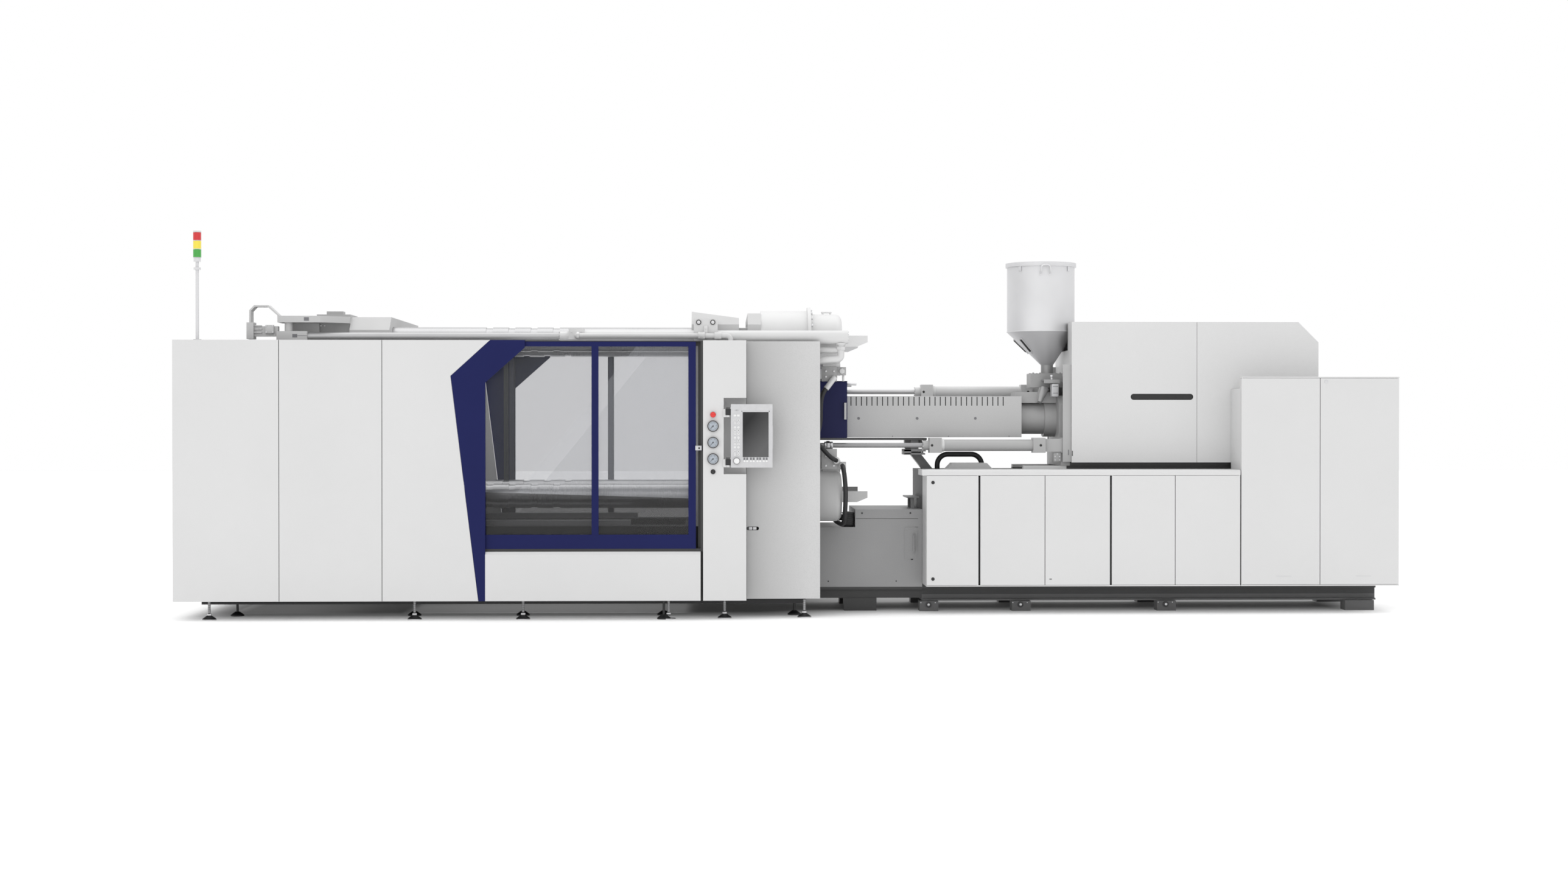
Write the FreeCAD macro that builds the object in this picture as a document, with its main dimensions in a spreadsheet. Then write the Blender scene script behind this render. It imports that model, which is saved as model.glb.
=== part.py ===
import FreeCAD, Part
import os
import re
import Sketcher

# A large two-platen injection moulding machine, in millimetres.
# X runs along the machine towards the injection end, Y across it with the operator at -Y, Z up.
# The origin lies on the floor, under the middle of the machine.

SIZES = [
    # The machine's axis, and the sheet-metal covers of the clamping unit
    ("axis_height", 1770, "height of the screw and of the clamp's middle"),
    ("cover_half", 1400, "from the middle plane to the outer face of the covers"),
    ("cover_left", -5450, "left end of the covers"),
    ("cover_low", 168, "lower edge of the covers"),
    ("cover_high", 2446, "upper edge of the covers"),
    ("cover_sheet", 4, "thickness of the cover sheet"),
    ("cover_lip", 132, "depth of the folded lips at the top and bottom"),
    ("cover_seam", 3, "open joint between two covers"),
    ("first_seam", -4532, "joint between the first two covers"),
    ("second_seam", -3639, "joint between the second and third cover"),
    ("elbow_x", -3042, "leftmost corner of the coloured panel"),
    ("elbow_z", 2133, "height of that corner"),
    ("panel_foot_x", -2802, "lower left corner of the coloured panel"),
    ("panel_head_x", -2697, "upper left corner of the coloured panel"),
    ("window_left", -2744, "left edge of the window"),
    ("window_shoulder_z", 2072, "height where the window's left edge starts to slope"),
    ("window_head_x", -2398, "where that slope ends"),
    ("window_head_z", 2380, "height where that slope ends"),
    # The frame of square tube that carries the covers, and the gate's tracks
    ("tube", 44, "side of the square tube"),
    ("tube_set_back", 82, "from the outer face of the covers to the tube"),
    ("gate_low", 622, "lower edge of the sliding gate"),
    ("gate_high", 2434, "upper edge of the sliding gate"),
    ("gate_left", -2800, "left edge of the sliding gate"),
    ("gate_right", -908, "right edge of the sliding gate"),
    ("gate_set_back", 35, "from the outer face of the covers to the gate"),
    ("gate_depth", 40, "thickness of the gate's bars"),
    ("gate_travel", 1750, "how far the gate slides"),
    ("gate_top_bar", 42, "height of the gate's upper bar"),
    ("gate_low_bar", 123, "height of the gate's lower bar"),
    ("gate_side_bar", 56, "width of the gate's left bar"),
    ("gate_lock_bar", 65, "width of the gate's right bar"),
    ("mullion_left", -1819, "left edge of the gate's middle bar"),
    ("mullion", 60, "width of the middle bar"),
    ("gate_glass", 8, "thickness of the panes"),
    ("gate_running_gap", 0.3, "between the gate and its lower rail"),
    ("rail_top_gap", 2, "between the gate and its upper rail"),
    ("latch_low", 1482, "lower edge of the latch plate"),
    ("latch_high", 1525, "upper edge of the latch plate"),
    ("latch_reach", 53, "how far the latch plate stands out of the gate"),
    ("latch_sheet", 8, "thickness of the latch plate"),
    ("latch_hole", 9, "radius of the hole in the latch plate"),
    ("post_left", -866, "left edge of the latch post"),
    ("post_right", -844, "right edge of the latch post"),
    ("sill_high", 597, "top of the fixed sill under the gate"),
    ("sill_bevel", 25, "bevel along the sill's upper edge"),
    # The column with the instruments, and the cover beside it
    ("column_right", -466, "right edge of the instrument column"),
    ("column_depth", 180, "depth of the instrument column"),
    ("niche_left", -664, "left wall of the niche for the control panel"),
    ("niche_low", 1275, "floor of the niche"),
    ("niche_high", 1942, "ceiling of the niche"),
    ("service_left", -462, "left edge of the recessed service cover"),
    ("service_right", 189, "right edge of the recessed service cover"),
    ("service_set_back", 210, "from the outer face of the covers to the service cover"),
    ("grip_x", -408, "middle of the oval grip in the service cover"),
    ("grip_z", 790, "height of that grip"),
    ("grip_length", 80, "distance between the centres of its round ends"),
    ("grip_radius", 16, "radius of its round ends"),
    ("dial_x", -757, "vertical line that the gauges sit on"),
    ("dial_top_z", 1695, "height of the upper gauge"),
    ("dial_pitch", 143.5, "distance from gauge to gauge"),
    ("dial_radius", 47, "outer radius of a gauge"),
    ("dial_wall", 5, "wall of a gauge's case"),
    ("dial_depth", 22, "how far a gauge stands out"),
    ("needle_length", 33, "from a gauge's middle to its needle's tip"),
    ("needle_hub", 6, "radius of a needle's hub"),
    ("needle_sheet", 2, "thickness of a needle"),
    ("spindle_radius", 3, "radius of a gauge's spindle"),
    ("stop_z", 1795, "height of the emergency stop"),
    ("stop_radius", 24, "radius of its mushroom head"),
    ("stop_collar", 31, "radius of its collar"),
    ("stop_collar_depth", 6, "thickness of its collar"),
    ("stop_travel", 6, "how far it can be pressed"),
    ("stop_head", 16, "thickness of its head"),
    ("stem_radius", 10, "radius of the stem of a pushbutton"),
    ("stem_reach", 30, "how far a stem reaches into the column"),
    ("button_z", 1296, "height of the small pushbutton"),
    ("button_radius", 16, "radius of its cap"),
    ("button_travel", 4, "how far it can be pressed"),
    ("running_gap", 0.05, "radial clearance of a pin or stem in its hole"),
    # The control panel
    ("screen_case_left", -601, "left edge of the control panel"),
    ("screen_case_right", -237, "right edge of the control panel"),
    ("screen_case_low", 1333, "lower edge of the control panel"),
    ("screen_case_high", 1887, "upper edge of the control panel"),
    ("screen_case_proud", 30, "how far its face stands out of the covers"),
    ("screen_case_depth", 80, "its depth"),
    ("screen_left", -498, "left edge of the screen"),
    ("screen_right", -272, "right edge of the screen"),
    ("screen_low", 1424, "lower edge of the screen"),
    ("screen_high", 1818, "upper edge of the screen"),
    ("screen_recess", 4, "how deep the screen lies in the case"),
    ("swivel_x", -625, "pivot of the control panel"),
    ("swivel_proud", 5, "how far that pivot stands out of the covers"),
    ("swivel_radius", 18, "radius of the swivel's knuckles"),
    ("swivel_pin", 8, "radius of the swivel's pins"),
    ("swivel_lower_z", 1336, "underside of the lower knuckle"),
    ("swivel_upper_z", 1774, "underside of the upper knuckle"),
    ("swivel_height", 70, "height of a knuckle"),
    ("swivel_lug", 15, "thickness of the panel's lugs"),
    ("wheel_x", -551, "middle of the rotary wheel on the control panel"),
    ("wheel_z", 1391, "height of that wheel"),
    ("wheel_radius", 28, "its radius"),
    ("wheel_depth", 14, "how far it stands out"),
    # The bed of the clamping unit
    ("bed_left", -5300, "left end of the bed"),
    ("bed_right", 60, "right end of the bed"),
    ("bed_half", 980, "half the width of the bed"),
    ("bed_beam", 340, "width of its side beams"),
    ("bed_low", 110, "underside of the bed"),
    ("bed_top", 800, "top of the bed"),
    ("bed_end_beam", 200, "width of its cross beams"),
    ("bed_cross_x", -3700, "left side of its middle cross beam"),
    ("bed_block_x", -1020, "left side of the solid part under the fixed platen"),
    ("bed_foot_inset", 90, "from the bed's side to the feet under it"),
    ("bed_rail", 180, "width of a rail for the moving platen"),
    ("bed_rail_height", 50, "height of a rail"),
    ("bed_rail_left", -4900, "left end of the rails"),
    ("bed_rail_right", -1500, "right end of the rails"),
    ("foot_radius", 60, "radius of a levelling foot"),
    ("foot_disc", 12, "thickness of its disc"),
    ("foot_cone", 40, "height of its cone above the floor"),
    ("foot_rod", 11, "radius of its rod"),
    # Platens, tie bars and the hydraulic clamp
    ("tie_half_y", 725, "from the middle plane to a tie bar"),
    ("tie_half_z", 705, "from the axis to the height of a tie bar"),
    ("tie_radius", 110, "radius of a tie bar"),
    ("tie_left", -4450, "left end of the tie bars"),
    ("groove_first", -2800, "left side of a tie bar's first groove"),
    ("groove_pitch", 200, "distance from groove to groove"),
    ("groove_width", 60, "width of a groove"),
    ("groove_depth", 8, "depth of a groove"),
    ("tie_play", 3, "radial play of a tie bar in the platens"),
    ("platen_half", 975, "half the width of the platens"),
    ("platen_corner", 120, "bevel of the platens' corners"),
    ("fixed_left", -950, "mould face of the fixed platen"),
    ("fixed_plate", 423, "thickness of its front wall"),
    ("fixed_waist", 77, "length of the waist behind that wall"),
    ("fixed_waist_step", 75, "how far the waist steps in"),
    ("fixed_flange", 119, "thickness of the wall that carries the cylinders"),
    ("fixed_flange_step", 15, "how far that wall stays inside the front wall"),
    ("fixed_high", 2723, "top of the fixed platen"),
    ("ring_radius", 125, "radius of the seat for the mould's locating ring"),
    ("ring_depth", 60, "depth of that seat"),
    ("nozzle_bore", 200, "radius of the bore that the nozzle comes through"),
    ("bolt_radius", 12, "radius of a tapped hole for a mould clamp"),
    ("bolt_depth", 60, "depth of such a hole"),
    ("bolt_inner", 560, "spacing of the inner square of holes"),
    ("bolt_outer", 980, "spacing of the outer square of holes"),
    ("moving_left", -3992, "back of the moving platen's plate"),
    ("moving_plate", 355, "thickness of that plate"),
    ("moving_low", 890, "underside of the moving platen"),
    ("moving_high", 2670, "top of the moving platen"),
    ("shoe_gap", 0.3, "between a shoe and its rail"),
    ("shoe_overhang", 100, "how far a shoe reaches past the plate"),
    ("spine_half", 480, "half the width of the box behind the moving plate"),
    ("spine_wall", 60, "wall of that box"),
    ("spine_depth", 345, "depth of that box"),
    ("housing_half_y", 190, "half the width of a lock housing"),
    ("housing_inward", 190, "from a tie bar to the housing's side that faces the axis"),
    ("housing_top", 2691, "top of the upper lock housings"),
    ("housing_room", 155, "half the height of the room in a lock housing"),
    ("housing_depth", 298, "depth of a lock housing"),
    ("housing_wall", 20, "wall of a lock housing"),
    ("nut_outer", 140, "outer radius of a lock nut"),
    ("nut_inner", 112, "inner radius of a lock nut"),
    ("nut_length", 190, "length of a lock nut"),
    ("nut_open", 24, "how far each half of a nut stands open"),
    ("nut_rod", 16, "radius of the rod that moves half a nut"),
    ("nut_meeting_gap", 4, "gap between the halves of a closed nut"),
    ("ejector_half", 260, "half the side of the ejector plate"),
    ("ejector_sheet", 60, "thickness of the ejector plate"),
    ("ejector_left", -4320, "left face of the ejector plate"),
    ("ejector_rod", 25, "radius of an ejector rod"),
    ("ejector_rod_x", 150, "from the axis to an ejector rod, across and up"),
    ("ejector_gap", 0.1, "running gap of an ejector rod, on the radius"),
    ("ejector_ram", 40, "radius of the ejector's own piston rod"),
    ("ejector_ram_left", -4640, "left end of that rod"),
    ("ejector_barrel", 90, "radius of the ejector's cylinder"),
    ("ejector_bar_left", -4400, "left side of the bar that carries that cylinder"),
    ("ejector_bar", 60, "thickness and half height of that bar"),
    ("ejector_tip_inset", 5, "how far a rod's tip lies behind the mould face"),
    ("clamp_radius", 262, "outer radius of a clamp cylinder"),
    ("clamp_length", 421, "length of its body"),
    ("clamp_flange_radius", 294, "radius of its flange"),
    ("clamp_flange", 30, "thickness of its flange"),
    ("clamp_cap_radius", 232, "radius of its end cap"),
    ("clamp_cap", 281, "length of its end cap"),
    ("clamp_cap_round", 60, "rounding of the end cap's edge"),
    ("piston_radius", 200, "radius of the piston on a tie bar"),
    ("piston_length", 100, "length of that piston"),
    ("piston_gap", 0.1, "between a piston and its cylinder, on the radius"),
    ("chamber_left", -200, "left end of the pressure chamber"),
    ("chamber_length", 330, "length of the pressure chamber"),
    ("piston_stroke", 50, "how far the tie bars are pulled"),
    ("port_block", 120, "width and height of the valve block on a cap"),
    ("port_block_left", 230, "left side of a valve block"),
    ("port_block_length", 200, "length of a valve block"),
    ("hanger_length", 240, "length of the plate bolted to a cap"),
    ("hanger_height", 100, "height of that plate"),
    ("hanger_sheet", 10, "thickness of that plate"),
    ("hanger_rise", 40, "how far that plate sits above the cylinder's middle"),
    # The cylinders that move the platen
    ("travel_half_y", 1080, "from the middle plane to a travel cylinder"),
    ("travel_rise", 717, "from the axis to the height of a travel cylinder"),
    ("travel_left", -2045, "left end of the cylinder tube"),
    ("travel_right", 442, "right end of the cylinder tube"),
    ("travel_radius", 59, "outer radius of the tube"),
    ("travel_bore", 50, "inner radius of the tube"),
    ("gland_length", 70, "length of the gland at the rod's side"),
    ("gland_radius", 47, "radius of the gland"),
    ("rod_radius", 37, "radius of the piston rod"),
    ("rod_left", -4480, "left end of the piston rod"),
    ("rod_piston", 80, "length of the piston"),
    ("rod_piston_right", -1940, "right face of the piston"),
    ("saddle_left", -928, "left side of the bracket that holds the cylinder"),
    ("saddle_right", -717, "right side of that bracket"),
    ("saddle_high", 160, "top of that bracket above the cylinder's middle"),
    ("saddle_low", 75, "underside of that bracket below the cylinder's middle"),
    ("arm_left", -4595, "left end of the driver arm"),
    ("arm_low", 123, "underside of the arm above the rod's middle"),
    ("arm_sheet", 58, "thickness of the arm"),
    ("arm_overhang", 59, "how far the arm reaches past the rod's middle"),
    ("yoke_right", -4336, "right side of the yoke on the rod's end"),
    ("yoke_half_y", 52, "half the width of the yoke"),
    ("yoke_half_z", 46, "half the height of the yoke"),
    ("yoke_pin_x", -4530, "place of the pin between yoke and arm"),
    ("yoke_pin", 35, "radius of that pin"),
    ("tag_left", -4865, "left side of the hose plate at the machine's left end"),
    ("tag_width", 61, "width of that plate"),
    ("tag_low", 70, "underside of that plate below the rod's middle"),
    ("tag_high", 122, "top of that plate above the rod's middle"),
    ("link_half_z", 45, "half the height of the link to that plate"),
    ("link_half_y", 30, "half the width of that link"),
    ("hoop_high", 274, "top of the bent guard above the rod's middle"),
    ("hoop_wire", 14, "thickness of that guard"),
    ("hoop_bevel", 45, "bevel of its upper corners"),
    # Pipes and hoses
    ("pipe_radius", 24, "radius of the steel pipe along the cylinder"),
    ("pipe_inset", 210, "from the front of the covers to that pipe"),
    ("pipe_y", "cover_half - pipe_inset", "from the middle plane to that pipe"),
    ("pipe_rise", 722, "height of that pipe above the axis"),
    ("pipe_left", -1960, "left end of that pipe"),
    ("pipe_right", -604, "where it turns down behind the column"),
    ("pipe_bend", 36, "radius of a pipe's bends"),
    ("pipe_drop", 260, "how far the pipe drops behind the column"),
    ("drain_radius", 28, "radius of the pipe at the cylinder's right end"),
    ("drain_x", 395, "place of that pipe's upper end"),
    ("drain_drop", 115, "how far it drops below the cylinder's middle"),
    ("drain_left", -420, "where it turns in to the platen"),
    ("drain_bend", 60, "radius of its bends"),
    ("hose_radius", 24, "radius of the thick black hose on the base"),
    ("hose_left", 1345, "left foot of that hose"),
    ("hose_span", 420, "distance between its feet"),
    ("hose_bend", 100, "radius of its bends"),
    ("hose_rise", 140, "how far it rises over the base"),
    # The links between the clamp bed and the injection base
    ("link_base_half", 500, "half the width of the middle base"),
    ("link_base_low", 116, "underside of the middle base"),
    ("link_base_step_x", 542, "where the middle base steps up"),
    ("link_base_step_z", 768, "its height before the step"),
    ("link_base_high", 931, "its height after the step"),
    ("hatch_left", 996, "left edge of the hatch in the middle base"),
    ("hatch_margin", 42, "from the hatch to the middle base's right end"),
    ("hatch_low", 476, "lower edge of that hatch"),
    ("hatch_high", 766, "upper edge of that hatch"),
    ("hatch_sheet", 4, "how far the hatch stands out"),
    ("hatch_corner", 14, "radius of the hatch's corners"),
    ("hatch_grip_inset", 84, "from the hatch's left edge to its grip"),
    ("hatch_grip_reach", 32, "how far the grip stands out"),
    ("hatch_grip_wire", 7, "radius of the grip's wire"),
    ("hatch_grip_margin", 70, "from the hatch's ends to those of the grip"),
    ("shelf_left", 1039, "left edge of the shelf on the middle base"),
    ("shelf_high", 1040, "top of that shelf"),
    ("shelf_sheet", 14, "thickness of that shelf"),
    ("shelf_half", 220, "half the width of that shelf"),
    ("shelf_post_x", 1082, "left side of the posts under it"),
    ("shelf_post", 30, "thickness of those posts"),
    ("link_pad_left", 440, "left side of the pad under the middle base"),
    ("link_pad_length", 300, "length of that pad"),
    ("link_pad_half", 180, "half its width"),
    # The injection base
    ("base_left", 1158, "left end of the injection base"),
    ("base_right", 5357, "right end of the injection base"),
    ("base_half", 500, "half the width of the injection base"),
    ("channel_low", 92, "underside of the base's channels"),
    ("channel_high", 219, "top of the base's channels"),
    ("channel_flange", 15, "thickness of a channel's flanges"),
    ("channel_recess", 34, "how deep a channel's web lies"),
    ("base_top", 1290, "top of the injection base"),
    ("valve_cover_left", 1399, "left foot of the cover over the base's valves"),
    ("valve_cover_right", 1836, "right foot of that cover"),
    ("valve_cover_slope", 60, "how far its ends slope in"),
    ("valve_cover_rise", 62, "height of that cover"),
    ("valve_cover_front", 330, "from the middle plane to its front"),
    ("valve_cover_deep", 270, "its depth"),
    ("base_rib", 60, "width of a rib"),
    ("base_recess", 40, "depth of the bays between the ribs"),
    ("base_pad_first", 1130, "left side of the first pad"),
    ("base_pad_second", 1978, "left side of the second pad"),
    ("base_pad_third", 3317, "left side of the third pad"),
    ("base_pad", 172, "length of a pad"),
    ("base_pad_deep", 160, "width of a pad"),
    ("base_end_pad_left", 5057, "left side of the end block"),
    ("base_end_pad", 267, "length of the end block"),
    ("base_pad_out", 60, "how far a pad stands out of the base"),
    ("pad_bolt_radius", 12, "radius of a pad's anchor hole"),
    ("slide_rail", 80, "width of a rail for the carriage"),
    ("slide_rail_y", 380, "from the middle plane to such a rail"),
    ("slide_rail_height", 40, "height of such a rail"),
    ("slide_rail_left", 2100, "left end of the rails"),
    ("slide_rail_right", 5330, "right end of the rails"),
    # Cabinets
    ("cabinet_front", 900, "from the middle plane to the cabinets' doors"),
    ("cabinet_back", 500, "from the middle plane to the cabinets' backs"),
    ("cabinet_low", 250, "underside of the cabinets"),
    ("cabinet_wall", 28, "wall of the cabinets"),
    ("low_left", 1160, "left side of the low cabinet"),
    ("low_high", 1301, "top of the low cabinet"),
    ("low_rail", 51, "height of the rounded rail over the doors"),
    ("low_round", 22, "rounding of that rail"),
    ("low_first_gap", 1632, "left side of the dark joint after the first door"),
    ("low_second_gap", 2822, "left side of the dark joint after the third door"),
    ("dark_joint", 13, "width of the dark joints"),
    ("low_first_pair", 2232, "joint between the second and third door"),
    ("low_second_pair", 3412, "joint between the fourth and fifth door"),
    ("low_right", 4004, "right side of the low cabinet"),
    ("door_gap", 3, "gap round a door"),
    ("door_depth", 28, "thickness of a door"),
    ("door_sheet", 3, "sheet of a door"),
    ("door_pin", 4, "radius of a door's pivot pins"),
    ("door_pin_inset", 5, "from a door's edge to its pivot"),
    ("door_pin_reach", 14, "how far a pivot pin stands out of a door"),
    ("shelf_lip", 10, "thickness of the sill and head that hold the pivots"),
    ("tall_gap", 6, "between the low cabinet and the tall one"),
    ("tall_left", "low_right + tall_gap", "left side of the tall cabinet's doors"),
    ("tall_door_one", 719, "width of the tall cabinet's first door"),
    ("tall_pair", "tall_left + tall_door_one", "joint between its doors"),
    ("tall_door_two", 721, "width of the tall cabinet's second door"),
    ("tall_right", "tall_pair + tall_door_two", "right side of the tall cabinet's doors"),
    ("tall_high", 2141, "top of the tall cabinet's front"),
    ("tall_body_high", 2035, "top of the tall cabinet's body"),
    ("tall_front_frame", 30, "depth of the taller frame behind the doors"),
    # The injection unit
    ("carriage_gap", 0.3, "between the carriage and its rails"),
    ("carriage_left", 2447, "front of the carriage"),
    ("carriage_right", 4720, "rear of the carriage"),
    ("carriage_half", 430, "half its width"),
    ("carriage_floor", 150, "height of its floor beam"),
    ("carriage_plate", 68, "thickness of its front plate"),
    ("carriage_plate_half", 330, "half the width of the front plate"),
    ("carriage_plate_high", 208, "top of the front plate above the axis"),
    ("carriage_plate_bevel", 90, "bevel of the front plate's corners"),
    ("rear_plate_left", 4400, "front face of the rear plate"),
    ("rear_plate", 180, "thickness of the rear plate"),
    ("column_radius", 50, "radius of a guide column"),
    ("column_half_y", 250, "from the middle plane to a guide column"),
    ("column_half_z", 130, "from the axis to a guide column"),
    ("drive_left", 3000, "front face of the injection plate"),
    ("drive_plate", 160, "thickness of the injection plate"),
    ("drive_half", 340, "half the width of the injection plate"),
    ("drive_rise", 240, "half the height of the injection plate"),
    ("motor_radius", 190, "radius of the screw's motor"),
    ("motor_length", 560, "length of the screw's motor"),
    ("guide_gap", 0.1, "between the injection plate and its columns"),
    ("barrel_left", 150, "front end of the barrel"),
    ("barrel_right", 2106, "rear end of the barrel"),
    ("barrel_radius", 130, "outer radius of the barrel"),
    ("barrel_bore", 70, "bore of the barrel"),
    ("adapter_length", 180, "length of the cap in front of the barrel"),
    ("adapter_radius", 150, "radius of that cap"),
    ("nozzle_left", -700, "tip of the nozzle"),
    ("nozzle_radius", 45, "radius of the nozzle"),
    ("nozzle_tip", 18, "radius of the nozzle's tip"),
    ("nozzle_taper", 60, "length of the taper to the tip"),
    ("melt_bore", 12, "radius of the melt channel"),
    ("screw_radius", 69.5, "radius of the screw"),
    ("screw_left", 180, "tip of the screw"),
    ("screw_tip", 120, "length of the screw's pointed tip"),
    ("screw_root", 52, "radius of the screw between its flights"),
    ("screw_flight_end", 2440, "rear end of the flighted part"),
    ("band_first", 500, "left side of the first heater band"),
    ("band_pitch", 315, "distance from band to band"),
    ("band_width", 250, "width of a heater band"),
    ("band_sheet", 14, "thickness of a heater band"),
    ("band_gap", 0.2, "between a band and the barrel"),
    ("guard_left", 483, "left end of the barrel guard"),
    ("guard_half", 260, "half the width of the barrel guard"),
    ("guard_low", 179, "lower edge of the guard, below the axis"),
    ("guard_high", 203, "top of the guard above the axis"),
    ("guard_sheet", 5, "sheet of the guard"),
    ("slot_first", 517, "middle of the guard's first slot"),
    ("slot_pitch", 48.9, "distance from slot to slot"),
    ("slot_count", 30, "number of slots"),
    ("slot_width", 9, "width of a slot"),
    ("slot_low", 114, "lower end of the slots above the axis"),
    ("slot_land", 6, "from a slot's upper end to the guard's top"),
    ("casting_radius", 150, "radius of the feed casting"),
    ("casting_neck_x", 2339, "where the feed casting widens"),
    ("casting_flange", 176, "radius of its flange"),
    ("casting_block_half", 150, "half the width of the block on top"),
    ("casting_block_high", 243, "top of that block above the axis"),
    ("casting_block_low", 142, "underside of that block above the axis"),
    ("chute_head", 2363, "right edge of the emptying chute's head"),
    ("chute_width", 79, "width of that head"),
    ("chute_foot", 2301, "right edge of the chute's foot"),
    ("throat_x", 2381, "middle of the feed throat"),
    ("throat_radius", 45, "radius of the feed throat"),
    ("hood_left", 2537, "left end of the hood"),
    ("hood_right", 4822, "right end of the hood"),
    ("hood_seam", 3694, "joint between the hood's two halves"),
    ("hood_half", 497, "half the width of the hood"),
    ("hood_low", 1360, "lower edge of the hood"),
    ("hood_high", 2654, "top of the hood"),
    ("hood_bevel", 187, "bevel of its upper right corner"),
    ("hood_sheet", 5, "sheet of the hood"),
    ("hood_post", 40, "side of the posts that carry the hood"),
    ("hood_slot_left", 3081, "left end of the hood's grip slot"),
    ("hood_slot_right", 3661, "right end of the hood's grip slot"),
    ("hood_slot_z", 1964, "height of the grip slot's middle"),
    ("hood_slot_half", 28, "half the height of the grip slot"),
    ("ram_half_y", 420, "from the middle plane to a carriage cylinder"),
    ("ram_rise", 252, "from the axis to the height of a carriage cylinder"),
    ("ram_radius", 53, "outer radius of its tube"),
    ("ram_bore", 46, "inner radius of its tube"),
    ("ram_left", 1339, "left end of its tube"),
    ("ram_right", 2184, "right end of its tube"),
    ("ram_head", 112, "length of its head block"),
    ("ram_head_half", 69, "half the height of its head block"),
    ("ram_gland", 56, "length of its gland"),
    ("ram_gland_radius", 44, "radius of its gland"),
    ("ram_end", 113, "length of its end block"),
    ("ram_rod", 22, "radius of its rod"),
    ("ram_rod_right", 2100, "right end of its rod"),
    ("ram_piston", 60, "length of its piston"),
    ("ram_arm_half_y", 36, "half the width of the arm from the end block to the carriage"),
    # Hopper
    ("hopper_x", 2322, "middle of the hopper"),
    ("hopper_radius", 316, "outer radius of the hopper"),
    ("hopper_wall", 5, "wall of the hopper"),
    ("hopper_low", 2577, "where the hopper's cone begins"),
    ("hopper_high", 3195, "top of the hopper's wall"),
    ("cone_low", 2268, "lower end of the cone"),
    ("neck_radius", 57, "outer radius of the neck"),
    ("gate_box_low", 2056, "underside of the slide-gate box"),
    ("gate_box_high", 2188, "top of the slide-gate box"),
    ("gate_box_left", 2209, "left side of the slide-gate box"),
    ("gate_box_right", 2503, "right side of the slide-gate box"),
    ("gate_box_half", 140, "half the width of the slide-gate box"),
    ("slide_half_x", 75, "half the width of the slide gate"),
    ("slide_sheet", 10, "thickness of the slide gate"),
    ("slide_length", 250, "length of the slide gate"),
    ("slide_inset", 60, "from the throat's middle to the open gate's end"),
    ("slide_handle", 24, "height of the slide gate's handle"),
    ("slide_gap", 0.3, "clearance round the slide gate"),
    ("lid_radius", 331, "radius of the hopper's lid"),
    ("lid_rim", 27, "height of the lid's rim"),
    ("lid_sheet", 4, "thickness of the lid"),
    ("lid_gap", 0.3, "between the lid and the hopper"),
    ("lid_pin", 6, "radius of the lid's hinge pin"),
    ("lid_hinge_out", 12, "from the lid's rim to its hinge"),
    # The purge guard behind the fixed platen
    ("purge_left", 220, "left side of the purge door"),
    ("purge_right", 472, "right side of the purge door"),
    ("purge_half", 450, "from the middle plane to the purge door"),
    ("purge_low", 186, "lower edge of the purge door, below the axis"),
    ("purge_high", 339, "top of the purge guard above the axis"),
    ("purge_sheet", 5, "sheet of the purge guard"),
    ("purge_door", 20, "thickness of the purge door"),
    ("purge_handle_x", 453, "place of its handle"),
    ("purge_handle_low", 14, "underside of its handle, below the axis"),
    ("purge_handle_high", 139, "top of its handle, above the axis"),
    ("purge_handle_half", 10, "half the width of its handle"),
    ("purge_handle_out", 34, "how far its handle stands out"),
    ("tray_sheet", 19, "height of the drip tray under the guard"),
    ("tray_half", 190, "half the width of the drip tray"),
    ("tray_right", 1230, "right end of the drip tray"),
    ("strut_foot_x", 1300, "right side of the tray's strut where it stands on the base"),
    ("strut_width", 100, "width of that strut"),
    ("strut_head_x", 1135, "right side of the strut under the tray's plate"),
    ("strut_head", 68, "height of the plate on the strut"),
    ("strut_half", 60, "half the width of the strut"),
    # Signal light
    ("light_x", -5256, "place of the signal light's pole"),
    ("light_inset", 100, "from the front of the covers to the pole"),
    ("light_y", "cover_half - light_inset", "its distance from the middle plane"),
    ("light_pole", 15, "radius of the pole"),
    ("light_low", 3165, "underside of the lamps"),
    ("light_module", 74, "height of a lamp"),
    ("light_radius", 35, "radius of a lamp"),
    ("light_base", 36, "height of the lamps' socket"),
    ("light_cap", 12, "height of the cap"),
    ("light_collar_z", 3059, "height of the pole's collar"),
    ("light_collar", 20, "height of that collar"),
]

doc = FreeCAD.newDocument("injection_moulding_machine")
sheet = doc.addObject("Spreadsheet::Sheet", "sizes")
for row, (alias, amount, meaning) in enumerate(SIZES, start=1):
    sheet.set(f"A{row}", meaning)
    sheet.set(f"B{row}", f"={amount}" if isinstance(amount, str) else str(amount))
    sheet.setAlias(f"B{row}", alias)
doc.recompute()
ALIASES = {alias for alias, amount, meaning in SIZES}
NODES = {}

# How an axis of a round piece lies: the turn that takes Z to it.
TURNS = {
    "x": FreeCAD.Rotation(FreeCAD.Vector(0, 1, 0), 90),
    "y": FreeCAD.Rotation(FreeCAD.Vector(1, 0, 0), -90),
    "z": FreeCAD.Rotation(),
}
# The plane of a sketch for each direction that its pad grows along.
PLANES = {"x": "YZ_Plane", "y": "XZ_Plane", "z": "XY_Plane"}


def words(expression):
    """An expression on the sheet's sizes, as another object has to write it."""
    return re.sub(r"[a-z]\w*", lambda word: ("sizes." if word[0] in ALIASES else "") + word[0],
                  str(expression))


def amount_of(expression):
    """What an expression on the sheet's sizes comes to now."""
    return float(sheet.evalExpression(str(expression)))


def bind(thing, **expressions):
    """Ties properties of an object to expressions on the sheet's sizes."""
    for name, expression in expressions.items():
        thing.setExpression(name, words(expression))
    return thing


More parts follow.
